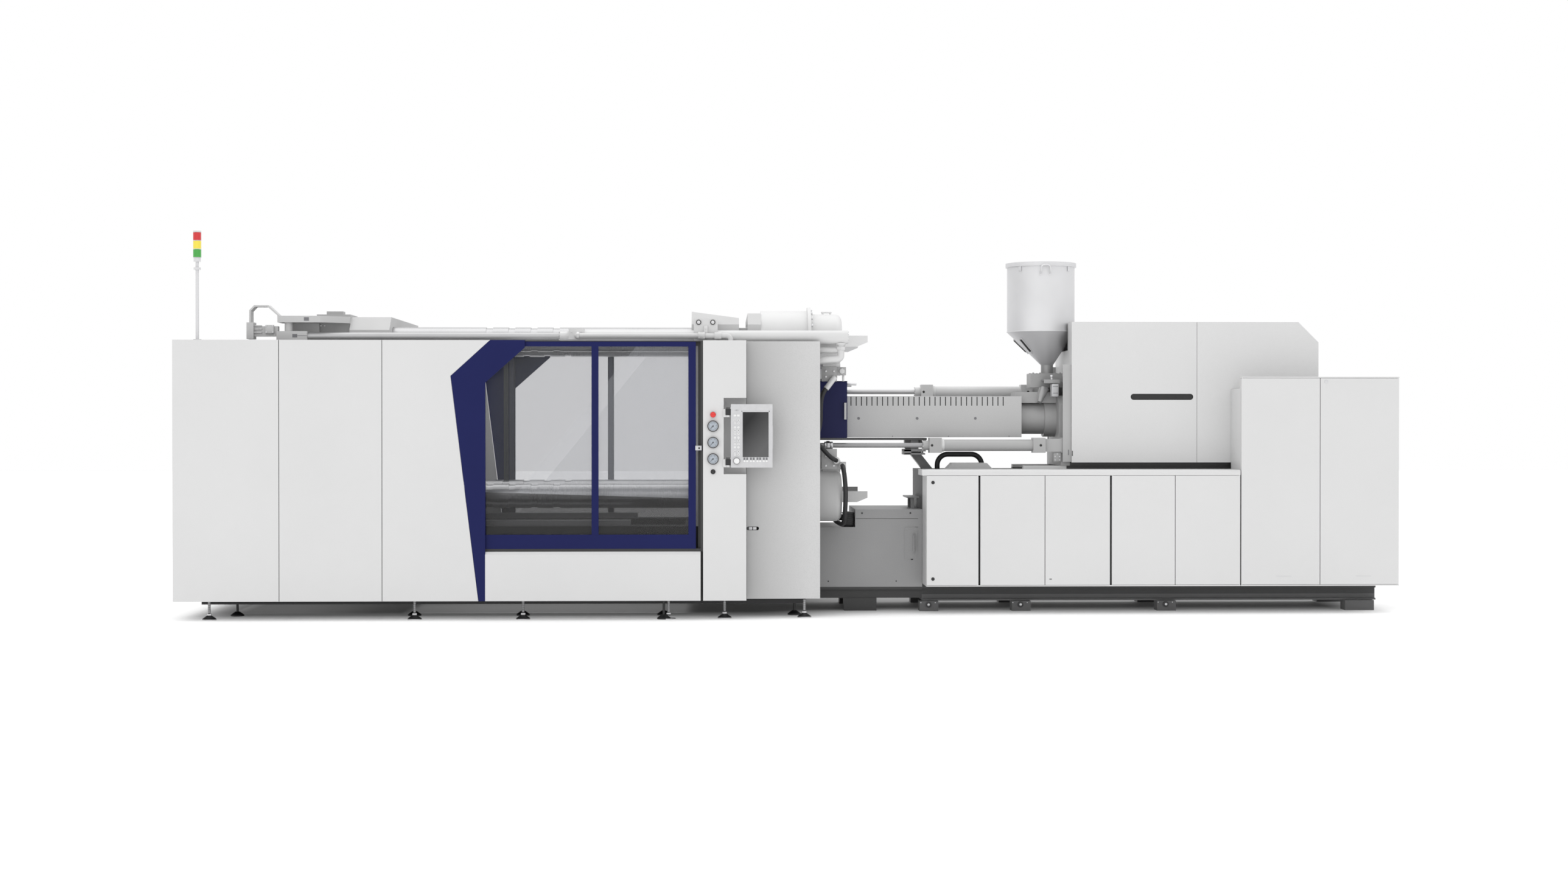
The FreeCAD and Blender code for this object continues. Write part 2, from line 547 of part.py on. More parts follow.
def place(thing, x, y, z, turn=None):
    """Ties an object's place to expressions, after an optional turn."""
    if turn is not None:
        thing.Placement = FreeCAD.Placement(FreeCAD.Vector(), turn)
    for letter, expression in (("x", x), ("y", y), ("z", z)):
        thing.setExpression(f".Placement.Base.{letter}", words(expression))
    return thing


def block(x, y, z):
    """A rectangular block between a pair of sizes along each axis, in either order."""
    solid = doc.addObject("Part::Box", "block")
    for side, (one, other) in (("Length", x), ("Width", y), ("Height", z)):
        solid.setExpression(side, words(f"abs(({other}) - ({one}))"))
    corner = [f"min({one}; {other})" for one, other in (x, y, z)]
    return place(solid, *corner)


def bar(along, ends, centre, radius):
    """A round bar between two sizes along an axis; centre gives the other two places."""
    solid = bind(doc.addObject("Part::Cylinder", "bar"), Radius=radius)
    solid.setExpression("Height", words(f"abs(({ends[1]}) - ({ends[0]}))"))
    start = f"min({ends[0]}; {ends[1]})"
    spots = {"x": (start, *centre), "y": (centre[0], start, centre[1]), "z": (*centre, start)}
    return place(solid, *spots[along], turn=TURNS[along])


def cone(ends, centre, low_radius, high_radius):
    """An upright cone between two heights."""
    solid = doc.addObject("Part::Cone", "cone")
    bind(solid, Radius1=low_radius, Radius2=high_radius, Height=f"({ends[1]}) - ({ends[0]})")
    return place(solid, *centre, ends[0])


def sketch_on(body, plane):
    """An empty sketch on one of a body's own origin planes."""
    sketch = body.newObject("Sketcher::SketchObject", "outline")
    origin_plane = next(item for item in body.Origin.OriginFeatures if item.Role == plane)
    sketch.AttachmentSupport = (origin_plane, [""])
    sketch.MapMode = "FlatFace"
    return sketch


def draw(sketch, corners):
    """A closed outline of straight lines, each corner held by its two distances."""
    spots = [FreeCAD.Vector(amount_of(across), amount_of(up), 0) for across, up in corners]
    count = len(corners)
    for index in range(count):
        sketch.addGeometry(Part.LineSegment(spots[index], spots[(index + 1) % count]), False)
    for index in range(count):
        sketch.addConstraint(Sketcher.Constraint("Coincident", index, 2, (index + 1) % count, 1))
    for index, (across, up) in enumerate(corners):
        for kind, size, now in (("DistanceX", across, spots[index].x), ("DistanceY", up, spots[index].y)):
            rule = sketch.addConstraint(Sketcher.Constraint(kind, -1, 1, index, 1, now))
            sketch.setExpression(f"Constraints[{rule}]", words(size))


def slab(along, corners, ends):
    """A plate of any straight-edged outline, padded along an axis between two sizes."""
    body = doc.addObject("PartDesign::Body", "slab")
    sketch = sketch_on(body, PLANES[along])
    draw(sketch, corners)
    pad = body.newObject("PartDesign::Pad", "pad")
    pad.Profile = sketch
    pad.setExpression("Length", words(f"abs(({ends[1]}) - ({ends[0]}))"))
    start = f"min({ends[0]}; {ends[1]})"
    # A sketch on the XZ plane pads towards -Y, so it starts from the larger of the two.
    spots = {"x": (start, "0", "0"), "y": ("0", f"max({ends[0]}; {ends[1]})", "0"), "z": ("0", "0", start)}
    return place(body, *spots[along])


def turned(along, profile, start, centre):
    """A turned piece: half its section as (distance along the axis, radius), spun round."""
    body = doc.addObject("PartDesign::Body", "turned")
    sketch = sketch_on(body, "XZ_Plane")
    draw(sketch, profile)
    spin = body.newObject("PartDesign::Revolution", "spin")
    spin.Profile = sketch
    spin.ReferenceAxis = (sketch, ["H_Axis"])
    spin.Angle = 360
    turn = {
        "x": FreeCAD.Rotation(),
        "-y": FreeCAD.Rotation(FreeCAD.Vector(0, 0, 1), -90),
        "z": FreeCAD.Rotation(FreeCAD.Vector(0, 1, 0), -90),
    }[along]
    spots = {"x": (start, *centre), "-y": (centre[0], start, centre[1]), "z": (*centre, start)}
    return place(body, *spots[along], turn=turn)


def rounded(solid, radius, chosen):
    """Rounds the edges of a finished solid that the test picks."""
    doc.recompute()
    fillet = doc.addObject("Part::Fillet", "rounded")
    fillet.Base = solid
    size = amount_of(radius)
    edges = [index for index, edge in enumerate(solid.Shape.Edges, start=1) if chosen(edge)]
    fillet.Edges = [(index, size, size) for index in edges]
    return fillet


def cut(base, *tools):
    """A piece with others taken away from it."""
    result = doc.addObject("Part::Cut", "cut")
    result.Base = base
    result.Tool = tools[0] if len(tools) == 1 else join(*tools)
    return result


def join(*pieces):
    """Pieces that are one solid: welded, cast or machined together."""
    result = doc.addObject("Part::MultiFuse", "join")
    result.Shapes = list(pieces)
    return result


def group(*pieces):
    """Like pieces that stay separate solids and share one node."""
    result = doc.addObject("Part::Compound", "group")
    result.Links = list(pieces)
    return result


def mirrored(piece):
    """The same piece on the machine's rear side."""
    result = doc.addObject("Part::Mirroring", "mirrored")
    result.Source = piece
    result.Base = FreeCAD.Vector(0, 0, 0)
    result.Normal = FreeCAD.Vector(0, 1, 0)
    return result


def elbow(centre, bend, radius, turn):
    """A quarter bend of round pipe: untured, it runs from +X to +Y round its centre."""
    solid = bind(doc.addObject("Part::Torus", "elbow"), Radius1=bend, Radius2=radius)
    solid.Angle3 = 90
    return place(solid, *centre, turn=turn)


def node(name, solid):
    """Names a finished piece; its file takes the same name."""
    solid.Label = name
    NODES[name] = solid


def both_sides(piece):
    """A piece on the operator's side and its like on the rear side."""
    return group(piece, mirrored(piece))


# Often used places: the covers' outer face, the planes of the sheet, the frame and the gate.
FACE = ("-cover_half", "-(cover_half - cover_sheet)")
FRAME_Y = ("-(cover_half - tube_set_back)", "-(cover_half - tube_set_back - tube)")
GATE_Y = ("-(cover_half - gate_set_back)", "-(cover_half - gate_set_back - gate_depth)")
LOWER_TUBE = ("cover_low + cover_sheet", "cover_low + cover_sheet + tube")
UPPER_TUBE = ("cover_high - cover_sheet - tube", "cover_high - cover_sheet")
BARS = [(y, z) for y in ("-tie_half_y", "tie_half_y") for z in
        ("axis_height - tie_half_z", "axis_height + tie_half_z")]

# --- Sheet-metal covers -----------------------------------------------------------------------


def lips(left, right, low_left, low_right):
    """The folded lips at the top and bottom edge of a cover."""
    top = block((left, right), ("-cover_half", "-(cover_half - cover_lip)"),
                ("cover_high - cover_sheet", "cover_high"))
    low = block((low_left, low_right), ("-cover_half", "-(cover_half - tube_set_back)"),
                ("cover_low", "cover_low + cover_sheet"))
    return top, low


def straight_cover(left, right):
    """A rectangular cover between two places, as a shallow channel."""
    face = block((left, right), FACE, ("cover_low", "cover_high"))
    return join(face, *lips(left, right, left, right))


cover_a = straight_cover("cover_left", "first_seam")
cover_a = cut(cover_a, block(("cover_left", "cover_left + cover_sheet"),
                             ("-(cover_half - cover_sheet)", "-(cover_half - cover_lip)"),
                             ("cover_low", "cover_high")))
cover_b = straight_cover("first_seam + cover_seam", "second_seam")
cover_c_face = slab("y", [
    ("second_seam + cover_seam", "cover_low"),
    ("panel_foot_x - cover_seam", "cover_low"),
    ("elbow_x - cover_seam", "elbow_z"),
    ("panel_head_x - cover_seam", "cover_high"),
    ("second_seam + cover_seam", "cover_high"),
], FACE)
cover_c = join(cover_c_face, *lips("second_seam + cover_seam", "panel_head_x - 4 * cover_seam",
                                   "second_seam + cover_seam", "panel_foot_x - cover_seam"))
end_face = block(("cover_left", "cover_left + cover_sheet"),
                 ("-(cover_half - cover_sheet)", "cover_half - cover_sheet"),
                 ("cover_low", "cover_high - cover_sheet"))
rear_column = mirrored(straight_cover("post_right", "column_right"))
node("clamp_covers", group(cover_a, cover_b, cover_c, mirrored(cover_a), mirrored(cover_b),
                           mirrored(cover_c),
                           end_face, rear_column))

chevron_face = slab("y", [
    ("panel_foot_x", "cover_low"),
    ("window_left", "cover_low"),
    ("window_left", "window_shoulder_z"),
    ("window_head_x", "window_head_z"),
    ("window_head_x", "cover_high"),
    ("panel_head_x", "cover_high"),
    ("elbow_x", "elbow_z"),
], FACE)
chevron = join(chevron_face, *lips("panel_head_x", "window_head_x", "panel_foot_x", "window_left"))
node("chevron_panels", both_sides(chevron))

# The sill is one folded sheet; its section lies in the plane across the machine.
sill = slab("x", [
    ("-cover_half", "cover_low"),
    ("-(cover_half - tube_set_back)", "cover_low"),
    ("-(cover_half - tube_set_back)", "cover_low + cover_sheet"),
    ("-(cover_half - cover_sheet)", "cover_low + cover_sheet"),
    ("-(cover_half - cover_sheet)", "sill_high - sill_bevel - cover_sheet / 2"),
    ("-(cover_half - sill_bevel)", "sill_high - cover_sheet"),
    ("-(cover_half - tube_set_back)", "sill_high - cover_sheet"),
    ("-(cover_half - tube_set_back)", "sill_high"),
    ("-(cover_half - sill_bevel + cover_sheet / 2)", "sill_high"),
    ("-cover_half", "sill_high - sill_bevel"),
], ("window_left", "post_left"))
node("gate_sills", both_sides(sill))

grip_ends = [bar("y", ("-(cover_half - service_set_back) - 10", "-(cover_half - service_set_back) + 20"),
                 (f"grip_x {sign} grip_length / 2", "grip_z"), "grip_radius") for sign in "-+"]
grip_middle = block(("grip_x - grip_length / 2", "grip_x + grip_length / 2"),
                    ("-(cover_half - service_set_back) - 10", "-(cover_half - service_set_back) + 20"),
                    ("grip_z - grip_radius", "grip_z + grip_radius"))
service = cut(block(("service_left", "service_right"),
                    ("-(cover_half - service_set_back)", "-(cover_half - service_set_back - cover_sheet)"),
                    ("cover_low", "cover_high")), *grip_ends, grip_middle)
node("service_covers", both_sides(service))

# --- Frame of square tube and the gate's tracks ---------------------------------------------

FRAME_LEFT = "cover_left + cover_sheet"
TRACK_LEFT = "gate_left - gate_travel - 2 * tube"
SERVICE_Y = ("-(cover_half - service_set_back - cover_sheet)",
             "-(cover_half - service_set_back - cover_sheet - tube)")
SERVICE_TOP = "axis_height + travel_rise - travel_radius - 8"
frame_pieces = [
    block((FRAME_LEFT, "post_right"), FRAME_Y, LOWER_TUBE),
    block((FRAME_LEFT, "post_right"), FRAME_Y, UPPER_TUBE),
    block((TRACK_LEFT, "post_right"), FRAME_Y,
          ("gate_low - gate_running_gap - tube", "gate_low - gate_running_gap")),
    block(("service_left", "service_right"), SERVICE_Y, LOWER_TUBE),
    block(("service_left", "service_right"), SERVICE_Y, (f"{SERVICE_TOP} - tube", SERVICE_TOP)),
]
UPRIGHTS = [FRAME_LEFT, "first_seam - tube / 2", "second_seam - tube / 2",
            "panel_foot_x - tube - cover_sheet",
            "post_right - tube"]
for left in UPRIGHTS:
    frame_pieces.append(block((left, f"{left} + tube"), FRAME_Y,
                              ("cover_low + cover_sheet", "cover_high - cover_sheet")))
for left in ("service_left", "service_right - tube"):
    frame_pieces.append(block((left, f"{left} + tube"), SERVICE_Y,
                              ("cover_low + cover_sheet", SERVICE_TOP)))
# Short ties at the foot join the frame to the bed.
for left in UPRIGHTS[1:]:
    frame_pieces.append(block((left, f"{left} + tube"), (FRAME_Y[1], "-bed_half"), LOWER_TUBE))
for left in ("service_left", "bed_right - tube"):
    frame_pieces.append(block((left, f"{left} + tube"), (SERVICE_Y[1], "-bed_half"), LOWER_TUBE))
front_frame = join(*frame_pieces)
end_tubes = [block((FRAME_LEFT, f"{FRAME_LEFT} + tube"),
                   ("-(cover_half - tube_set_back - tube)", "cover_half - tube_set_back - tube"),
                   height) for height in (LOWER_TUBE, UPPER_TUBE)]
end_tie = block((FRAME_LEFT, "bed_left"),
                ("-(bed_half - bed_beam / 2)", "-(bed_half - bed_beam / 2 - tube)"), LOWER_TUBE)
# The two long sides and the two tubes across the end are bolted together face to face.
node("cover_frame", group(front_frame, mirrored(front_frame),
                          join(end_tubes[0], end_tie, mirrored(end_tie)), end_tubes[1]))

upper_rail = block((TRACK_LEFT, "post_left"), ("-(cover_half - gate_set_back + 1)",
                                               "-(cover_half - tube_set_back)"),
                   ("gate_high + rail_top_gap", "cover_high - cover_sheet"))
lower_rail = block((TRACK_LEFT, "post_left"), ("-(cover_half - gate_set_back - 10)",
                                               "-(cover_half - tube_set_back)"),
                   ("sill_high", "gate_low - gate_running_gap"))
latch_post = block(("post_left", "post_right"),
                   ("-(cover_half - gate_set_back - 5)", "-(cover_half - tube_set_back)"),
                   ("sill_high", "cover_high - cover_sheet"))
node("gate_tracks", group(upper_rail, lower_rail, latch_post,
                          mirrored(upper_rail), mirrored(lower_rail), mirrored(latch_post)))

# --- Instrument column with its gauges and buttons ------------------------------------------

COLUMN_Y = ("-cover_half", "-(cover_half - column_depth)")


def column_outline(inset):
    """The column's outline, which goes round its niche, or the same outline further in."""
    left = f"post_right + {inset}"
    right = f"column_right - {inset}"
    wall = f"niche_left - {inset}"
    return [
        (left, f"cover_low + {inset}"), (right, f"cover_low + {inset}"), (right, f"niche_low - {inset}"),
        (wall, f"niche_low - {inset}"), (wall, f"niche_high + {inset}"), (right, f"niche_high + {inset}"),
        (right, f"cover_high - {inset}"), (left, f"cover_high - {inset}"),
    ]


column_outer = slab("y", column_outline("0"), COLUMN_Y)
column_inner = slab("y", column_outline("cover_sheet"),
                    ("-(cover_half - cover_sheet)", "-(cover_half - column_depth - 10)"))
niche_back = block(("niche_left - cover_sheet", "column_right"),
                   ("-(cover_half - column_depth)", "-(cover_half - column_depth + cover_sheet)"),
                   ("niche_low - cover_sheet", "niche_high + cover_sheet"))
column_parts = [cut(column_outer, column_inner), niche_back]
column_holes = []
DIALS = [f"dial_top_z - {number} * dial_pitch" for number in range(3)]
for height in DIALS:
    case = bar("y", ("-cover_half", "-(cover_half + dial_depth)"), ("dial_x", height), "dial_radius")
    room = bar("y", ("-(cover_half + cover_sheet)", "-(cover_half + dial_depth + 1)"), ("dial_x", height),
               "dial_radius - dial_wall")
    column_parts.append(cut(case, room))
    column_holes.append(bar("y", ("-(cover_half + dial_depth)", "-(cover_half - 10)"), ("dial_x", height),
                            "spindle_radius + running_gap"))
column_parts.append(bar("y", ("-cover_half", "-(cover_half + stop_collar_depth)"), ("dial_x", "stop_z"),
                        "stop_collar"))
column_parts.append(bar("y", ("-cover_half", "-(cover_half + 3)"), ("dial_x", "button_z"),
                        "button_radius + 4"))
for height in ("stop_z", "button_z"):
    column_holes.append(bar("y", ("-(cover_half + 20)", "-(cover_half - 10)"), ("dial_x", height),
                            "stem_radius + running_gap"))
SWIVEL_Y = "-(cover_half + swivel_proud)"
for low in ("swivel_lower_z", "swivel_upper_z"):
    heights = (low, f"{low} + swivel_height")
    column_parts.append(bar("z", heights, ("swivel_x", SWIVEL_Y), "swivel_radius"))
    column_parts.append(block(("niche_left - cover_sheet", "swivel_x"), (f"{SWIVEL_Y} - swivel_radius / 2",
                              "-(cover_half - cover_sheet)"), heights))
    column_holes.append(bar("z", (f"{low} + 10", f"{low} + swivel_height + 1"), ("swivel_x", SWIVEL_Y),
                            "swivel_pin + running_gap"))
node("control_column", cut(join(*column_parts), *column_holes))

for number, height in enumerate(DIALS, start=1):
    # The needle rests at the lower left, where a dial starts.
    needle = slab("y", [
        ("dial_x - 0.7071 * needle_length", f"{height} - 0.7071 * needle_length"),
        ("dial_x + 2", f"{height} - 2"),
        ("dial_x + 5", f"{height} + 5"),
        ("dial_x - 2", f"{height} + 2"),
    ], ("-(cover_half + 2 * cover_sheet)", "-(cover_half + 2 * cover_sheet + needle_sheet)"))
    hub = bar("y", ("-(cover_half + 2 * cover_sheet - 2)",
                    "-(cover_half + 2 * cover_sheet + needle_sheet)"),
              ("dial_x", height), "needle_hub")
    spindle = bar("y", ("-(cover_half + 2 * cover_sheet)", "-(cover_half - cover_sheet)"),
                  ("dial_x", height),
                  "spindle_radius")
    node(f"gauge_needle_{number}", join(needle, hub, spindle))

stop_head = bar("y", ("-(cover_half + stop_collar_depth + stop_travel + 2)",
                      "-(cover_half + stop_collar_depth + stop_travel + 2 + stop_head)"),
                      ("dial_x", "stop_z"),
                "stop_radius")
stop_stem = bar("y", ("-(cover_half + stop_collar_depth + stop_travel + 3)", "-(cover_half - stem_reach)"),
                ("dial_x", "stop_z"), "stem_radius")
node("estop_button", join(stop_head, stop_stem))
button_cap = bar("y", ("-(cover_half + 4 + button_travel)", "-(cover_half + 16 + button_travel)"),
                 ("dial_x", "button_z"), "button_radius")
button_stem = bar("y", ("-(cover_half + 5 + button_travel)", "-(cover_half - stem_reach)"),
                  ("dial_x", "button_z"),
                  "stem_radius")
node("push_button", join(button_cap, button_stem))

# --- Control panel ----------------------------------------------------------------------------

PANEL_FACE = "-(cover_half + screen_case_proud)"
case = block(("screen_case_left", "screen_case_right"), (PANEL_FACE, f"{PANEL_FACE} + screen_case_depth"),
             ("screen_case_low", "screen_case_high"))
case = cut(case, block(("screen_left", "screen_right"),
                       (f"{PANEL_FACE} - 1", f"{PANEL_FACE} + screen_recess"),
                       ("screen_low", "screen_high")),
           bar("y", (f"{PANEL_FACE} - 1", f"{PANEL_FACE} + 16"), ("wheel_x", "wheel_z"),
               "spindle_radius + running_gap"))
panel_parts = [case]
for low in ("swivel_lower_z", "swivel_upper_z"):
    seat = f"{low} + swivel_height + running_gap * 4"
    panel_parts.append(bar("z", (seat, f"{seat} + swivel_lug"), ("swivel_x", SWIVEL_Y), "swivel_radius"))
    panel_parts.append(block(("swivel_x", "screen_case_left + 1"), (f"{SWIVEL_Y} - swivel_radius",
                             f"{SWIVEL_Y} + swivel_radius"), (seat, f"{seat} + swivel_lug")))
    panel_parts.append(bar("z", (f"{low} + 20", f"{seat} + 1"), ("swivel_x", SWIVEL_Y), "swivel_pin"))
node("hmi_panel", join(*panel_parts))
wheel = bar("y", (f"{PANEL_FACE} - 0.3", f"{PANEL_FACE} - wheel_depth"), ("wheel_x", "wheel_z"),
            "wheel_radius")
wheel_axle = bar("y", (f"{PANEL_FACE} - 1", f"{PANEL_FACE} + 14"), ("wheel_x", "wheel_z"), "spindle_radius")
node("hmi_wheel", join(wheel, wheel_axle))

# --- Sliding gates ------------------------------------------------------------------------------

OPENINGS = [("gate_left + gate_side_bar", "mullion_left"),
            ("mullion_left + mullion", "gate_right - gate_lock_bar")]
GATE_ROOM = ("gate_low + gate_low_bar", "gate_high - gate_top_bar")
gate_cuts = []
panes = []
for left, right in OPENINGS:
    gate_cuts.append(block((left, right), (f"{GATE_Y[0]} - 1", f"{GATE_Y[1]} + 1"), GATE_ROOM))
    gate_cuts.append(block((f"{left} - 12", f"{right} + 12"),
                           (f"{GATE_Y[0]} + gate_depth / 2", f"{GATE_Y[1]} + 1"),
                           (f"{GATE_ROOM[0]} - 12", f"{GATE_ROOM[1]} + 12")))
    panes.append(block((f"{left} - 10", f"{right} + 10"),
                       (f"{GATE_Y[0]} + gate_depth / 2", f"{GATE_Y[0]} + gate_depth / 2 + gate_glass"),
                       (f"{GATE_ROOM[0]} - 10", f"{GATE_ROOM[1]} + 10")))
gate = cut(block(("gate_left", "gate_right"), GATE_Y, ("gate_low", "gate_high")), *gate_cuts)
latch = block(("gate_right - 22", "gate_right + latch_reach"), (GATE_Y[0], f"{GATE_Y[0]} - latch_sheet"),
              ("latch_low", "latch_high"))
latch_bore = bar("y", (f"{GATE_Y[0]} + 1", f"{GATE_Y[0]} - latch_sheet - 1"),
                 ("gate_right + latch_reach - 22", "(latch_low + latch_high) / 2"), "latch_hole")
gate = join(gate, cut(latch, latch_bore))
glazing = group(*panes)
node("front_gate_frame", gate)
node("front_gate_glass", glazing)
node("rear_gate_frame", mirrored(gate))
node("rear_gate_glass", mirrored(glazing))

# --- Bed, rails and feet ------------------------------------------------------------------------

BED_SIDE = ("-bed_half", "-(bed_half - bed_beam)")
RAIL_Y = ("-(bed_half - bed_beam / 2 + bed_rail / 2)", "-(bed_half - bed_beam / 2 - bed_rail / 2)")
side = block(("bed_left", "bed_right"), BED_SIDE, ("bed_low", "bed_top"))
ACROSS = ("-(bed_half - bed_beam)", "bed_half - bed_beam")
bed_parts = [side, mirrored(side)]
for left, right in (("bed_left", "bed_left + bed_end_beam"), ("bed_cross_x", "bed_cross_x + bed_end_beam"),
                    ("bed_block_x", "bed_right")):
    bed_parts.append(block((left, right), ACROSS, ("bed_low", "bed_top")))
node("clamp_bed", join(*bed_parts))
bed_rail = block(("bed_rail_left", "bed_rail_right"), RAIL_Y, ("bed_top", "bed_top + bed_rail_height"))
node("bed_rails", both_sides(bed_rail))


def levelling_foot(x, y, rod_top):
    """A round foot with a cone on its threaded rod."""
    return turned("z", [
        ("0", "0"), ("0", "foot_radius"), ("foot_disc", "foot_radius"), ("foot_cone", "foot_rod + 8"),
        ("foot_cone", "foot_rod"), (rod_top, "foot_rod"), (rod_top, "0"),
    ], "0", (x, y))


FRAME_LINE = "-(cover_half - tube_set_back - tube / 2)"
SERVICE_LINE = "-(cover_half - service_set_back - cover_sheet - tube / 2)"
feet = [levelling_foot(x, FRAME_LINE, "cover_low + cover_sheet") for x in
        ("cover_left + 292", "second_seam + 268", "panel_foot_x + 379", "gate_right - 282")]
feet.append(levelling_foot("column_right - 190", "-(cover_half - column_depth + 10)", "cover_low"))
feet.append(levelling_foot("bed_right - 10", SERVICE_LINE, "cover_low + cover_sheet"))
for x in ("bed_left + 297", "bed_cross_x + 272", "panel_foot_x + 342", "bed_block_x - 181",
          "bed_right - 90"):
    feet.append(levelling_foot(x, "-(bed_half - bed_foot_inset)", "bed_low"))
mirrored_feet = [mirrored(foot) for foot in feet if foot is not feet[4]]
mirrored_feet.append(mirrored(levelling_foot("column_right - 190", "-(cover_half - 40)", "cover_low")))
node("levelling_feet", group(*feet, *mirrored_feet))

# --- Fixed platen and the hydraulic clamp --------------------------------------------------------

FIXED_BACK = "fixed_left + fixed_plate + fixed_waist + fixed_flange"


def corner_prism(y_sign, height, up_sign, ends):
    """The prism that bevels one long corner of a platen."""
    edge = f"{y_sign}(platen_half + 1)"
    inner = f"{y_sign}(platen_half - platen_corner)"
    outer = f"{height} {up_sign} 1"
    level = f"{height} {'-' if up_sign == '+' else '+'} platen_corner"
    return slab("x", [(inner, outer), (edge, outer), (edge, level)], ends)


fixed_side = slab("y", [
    ("fixed_left", "bed_top"), ("fixed_left", "fixed_high"),
    ("fixed_left + fixed_plate", "fixed_high - fixed_waist_step + 16"),
    ("fixed_left + fixed_plate", "fixed_high - 2 * fixed_waist_step"),
    ("fixed_left + fixed_plate + fixed_waist", "fixed_high - 2 * fixed_waist_step"),
    ("fixed_left + fixed_plate + fixed_waist", "fixed_high - fixed_flange_step"),
    (FIXED_BACK, "fixed_high - fixed_flange_step"), (FIXED_BACK, "bed_top"),
], ("-platen_half", "platen_half"))
fixed_tools = [bar("x", ("fixed_left - 1", f"{FIXED_BACK} + 1"), spot,
                   "tie_radius + tie_play") for spot in BARS]
fixed_tools.append(turned("x", [
    ("-1", "0"), ("-1", "ring_radius"), ("ring_depth", "ring_radius"), ("ring_depth", "nozzle_bore"),
    (f"{FIXED_BACK} - fixed_left + 1", "nozzle_bore"), (f"{FIXED_BACK} - fixed_left + 1", "0"),
], "fixed_left", ("0", "axis_height")))
for sign in ("-", ""):
    fixed_tools.append(corner_prism(sign, "fixed_high", "+", ("fixed_left - 1", f"{FIXED_BACK} + 1")))
    # The waist between the two walls is narrower than they are.
    fixed_tools.append(block(("fixed_left + fixed_plate", "fixed_left + fixed_plate + fixed_waist"),
                             (f"{sign}(platen_half - fixed_waist_step)", f"{sign}(platen_half + 1)"),
                             ("bed_top + 2 * platen_corner", "fixed_high + 1")))


def clamp_holes(face, depth):
    """The two squares of tapped holes for clamping a mould to a platen."""
    holes = []
    for spacing in ("bolt_inner", "bolt_outer"):
        for y in (f"-{spacing} / 2", f"{spacing} / 2"):
            for z in (f"axis_height - {spacing} / 2", f"axis_height + {spacing} / 2"):
                holes.append(bar("x", (face, f"{face} + {depth}"), (y, z), "bolt_radius"))
    return holes


fixed_tools += clamp_holes("fixed_left", "bolt_depth")
node("fixed_platen", cut(fixed_side, *fixed_tools))

clamps = []
for y, z in BARS:
    body = bar("x", (FIXED_BACK, f"{FIXED_BACK} + clamp_length"), (y, z), "clamp_radius")
    flange = bar("x", (f"{FIXED_BACK} + clamp_length", f"{FIXED_BACK} + clamp_length + clamp_flange"),
                 (y, z),
                 "clamp_flange_radius")
    cap_left = f"{FIXED_BACK} + clamp_length + clamp_flange"
    cap = bar("x", (cap_left, f"{cap_left} + clamp_cap"), (y, z), "clamp_cap_radius")
    reach = amount_of(f"{cap_left} + clamp_cap")
    cap = rounded(cap, "clamp_cap_round", lambda edge: len(edge.Vertexes) == 1 and
                  abs(edge.Vertexes[0].X - reach) < 1 and edge.BoundBox.XLength < 1)
    inward = "-" if "+" in z else "+"
    valve = block(("port_block_left", "port_block_left + port_block_length - 40"), (f"{y} - port_block / 2",
                  f"{y} + port_block / 2"), (f"{z} {inward} (clamp_cap_radius - 20)",
                  f"{z} {inward} (clamp_cap_radius + 90)"))
    hanger = slab("y", [
        (f"{cap_left} + clamp_cap", f"{z} - hanger_height + hanger_rise"),
        (f"{cap_left} + clamp_cap + hanger_length * 0.6", f"{z} - hanger_height + hanger_rise"),
        (f"{cap_left} + clamp_cap + hanger_length", f"{z} - hanger_rise / 2"),
        (f"{cap_left} + clamp_cap + hanger_length", f"{z} + hanger_rise"),
        (f"{cap_left} + clamp_cap", f"{z} + hanger_rise"),
    ], (f"{y} - hanger_sheet / 2", f"{y} + hanger_sheet / 2"))
    chamber = bar("x", ("chamber_left", "chamber_left + chamber_length"), (y, z),
                  "piston_radius + piston_gap")
    entry = bar("x", (f"{FIXED_BACK} - 1", "chamber_left + 1"), (y, z), "tie_radius + tie_play")
    clamps.append(cut(join(body, flange, cap, valve, hanger), chamber, entry))
node("clamp_cylinders", group(*clamps))

# Tie bars: grooves for the lock nuts, and a piston at the right end.
PISTON_RIGHT = "chamber_left + piston_stroke + piston_length"
GROOVES = [f"groove_first + {number} * groove_pitch" for number in range(4)]
bars = []
for y, z in BARS:
    section = [("0", "0"), ("0", "tie_radius - 12"), ("12", "tie_radius")]
    for left in GROOVES:
        section += [(f"{left} - tie_left", "tie_radius"),
                    (f"{left} - tie_left", "tie_radius - groove_depth"),
                    (f"{left} + groove_width - tie_left", "tie_radius - groove_depth"),
                    (f"{left} + groove_width - tie_left", "tie_radius")]
    section += [(f"{PISTON_RIGHT} - piston_length - tie_left", "tie_radius"),
                (f"{PISTON_RIGHT} - piston_length - tie_left", "piston_radius"),
                (f"{PISTON_RIGHT} - tie_left", "piston_radius"), (f"{PISTON_RIGHT} - tie_left", "0")]
    bars.append(turned("x", section, "tie_left", (y, z)))
node("tie_bars", group(*bars))

# --- Moving platen with lock housings, nuts and ejector -----------------------------------------

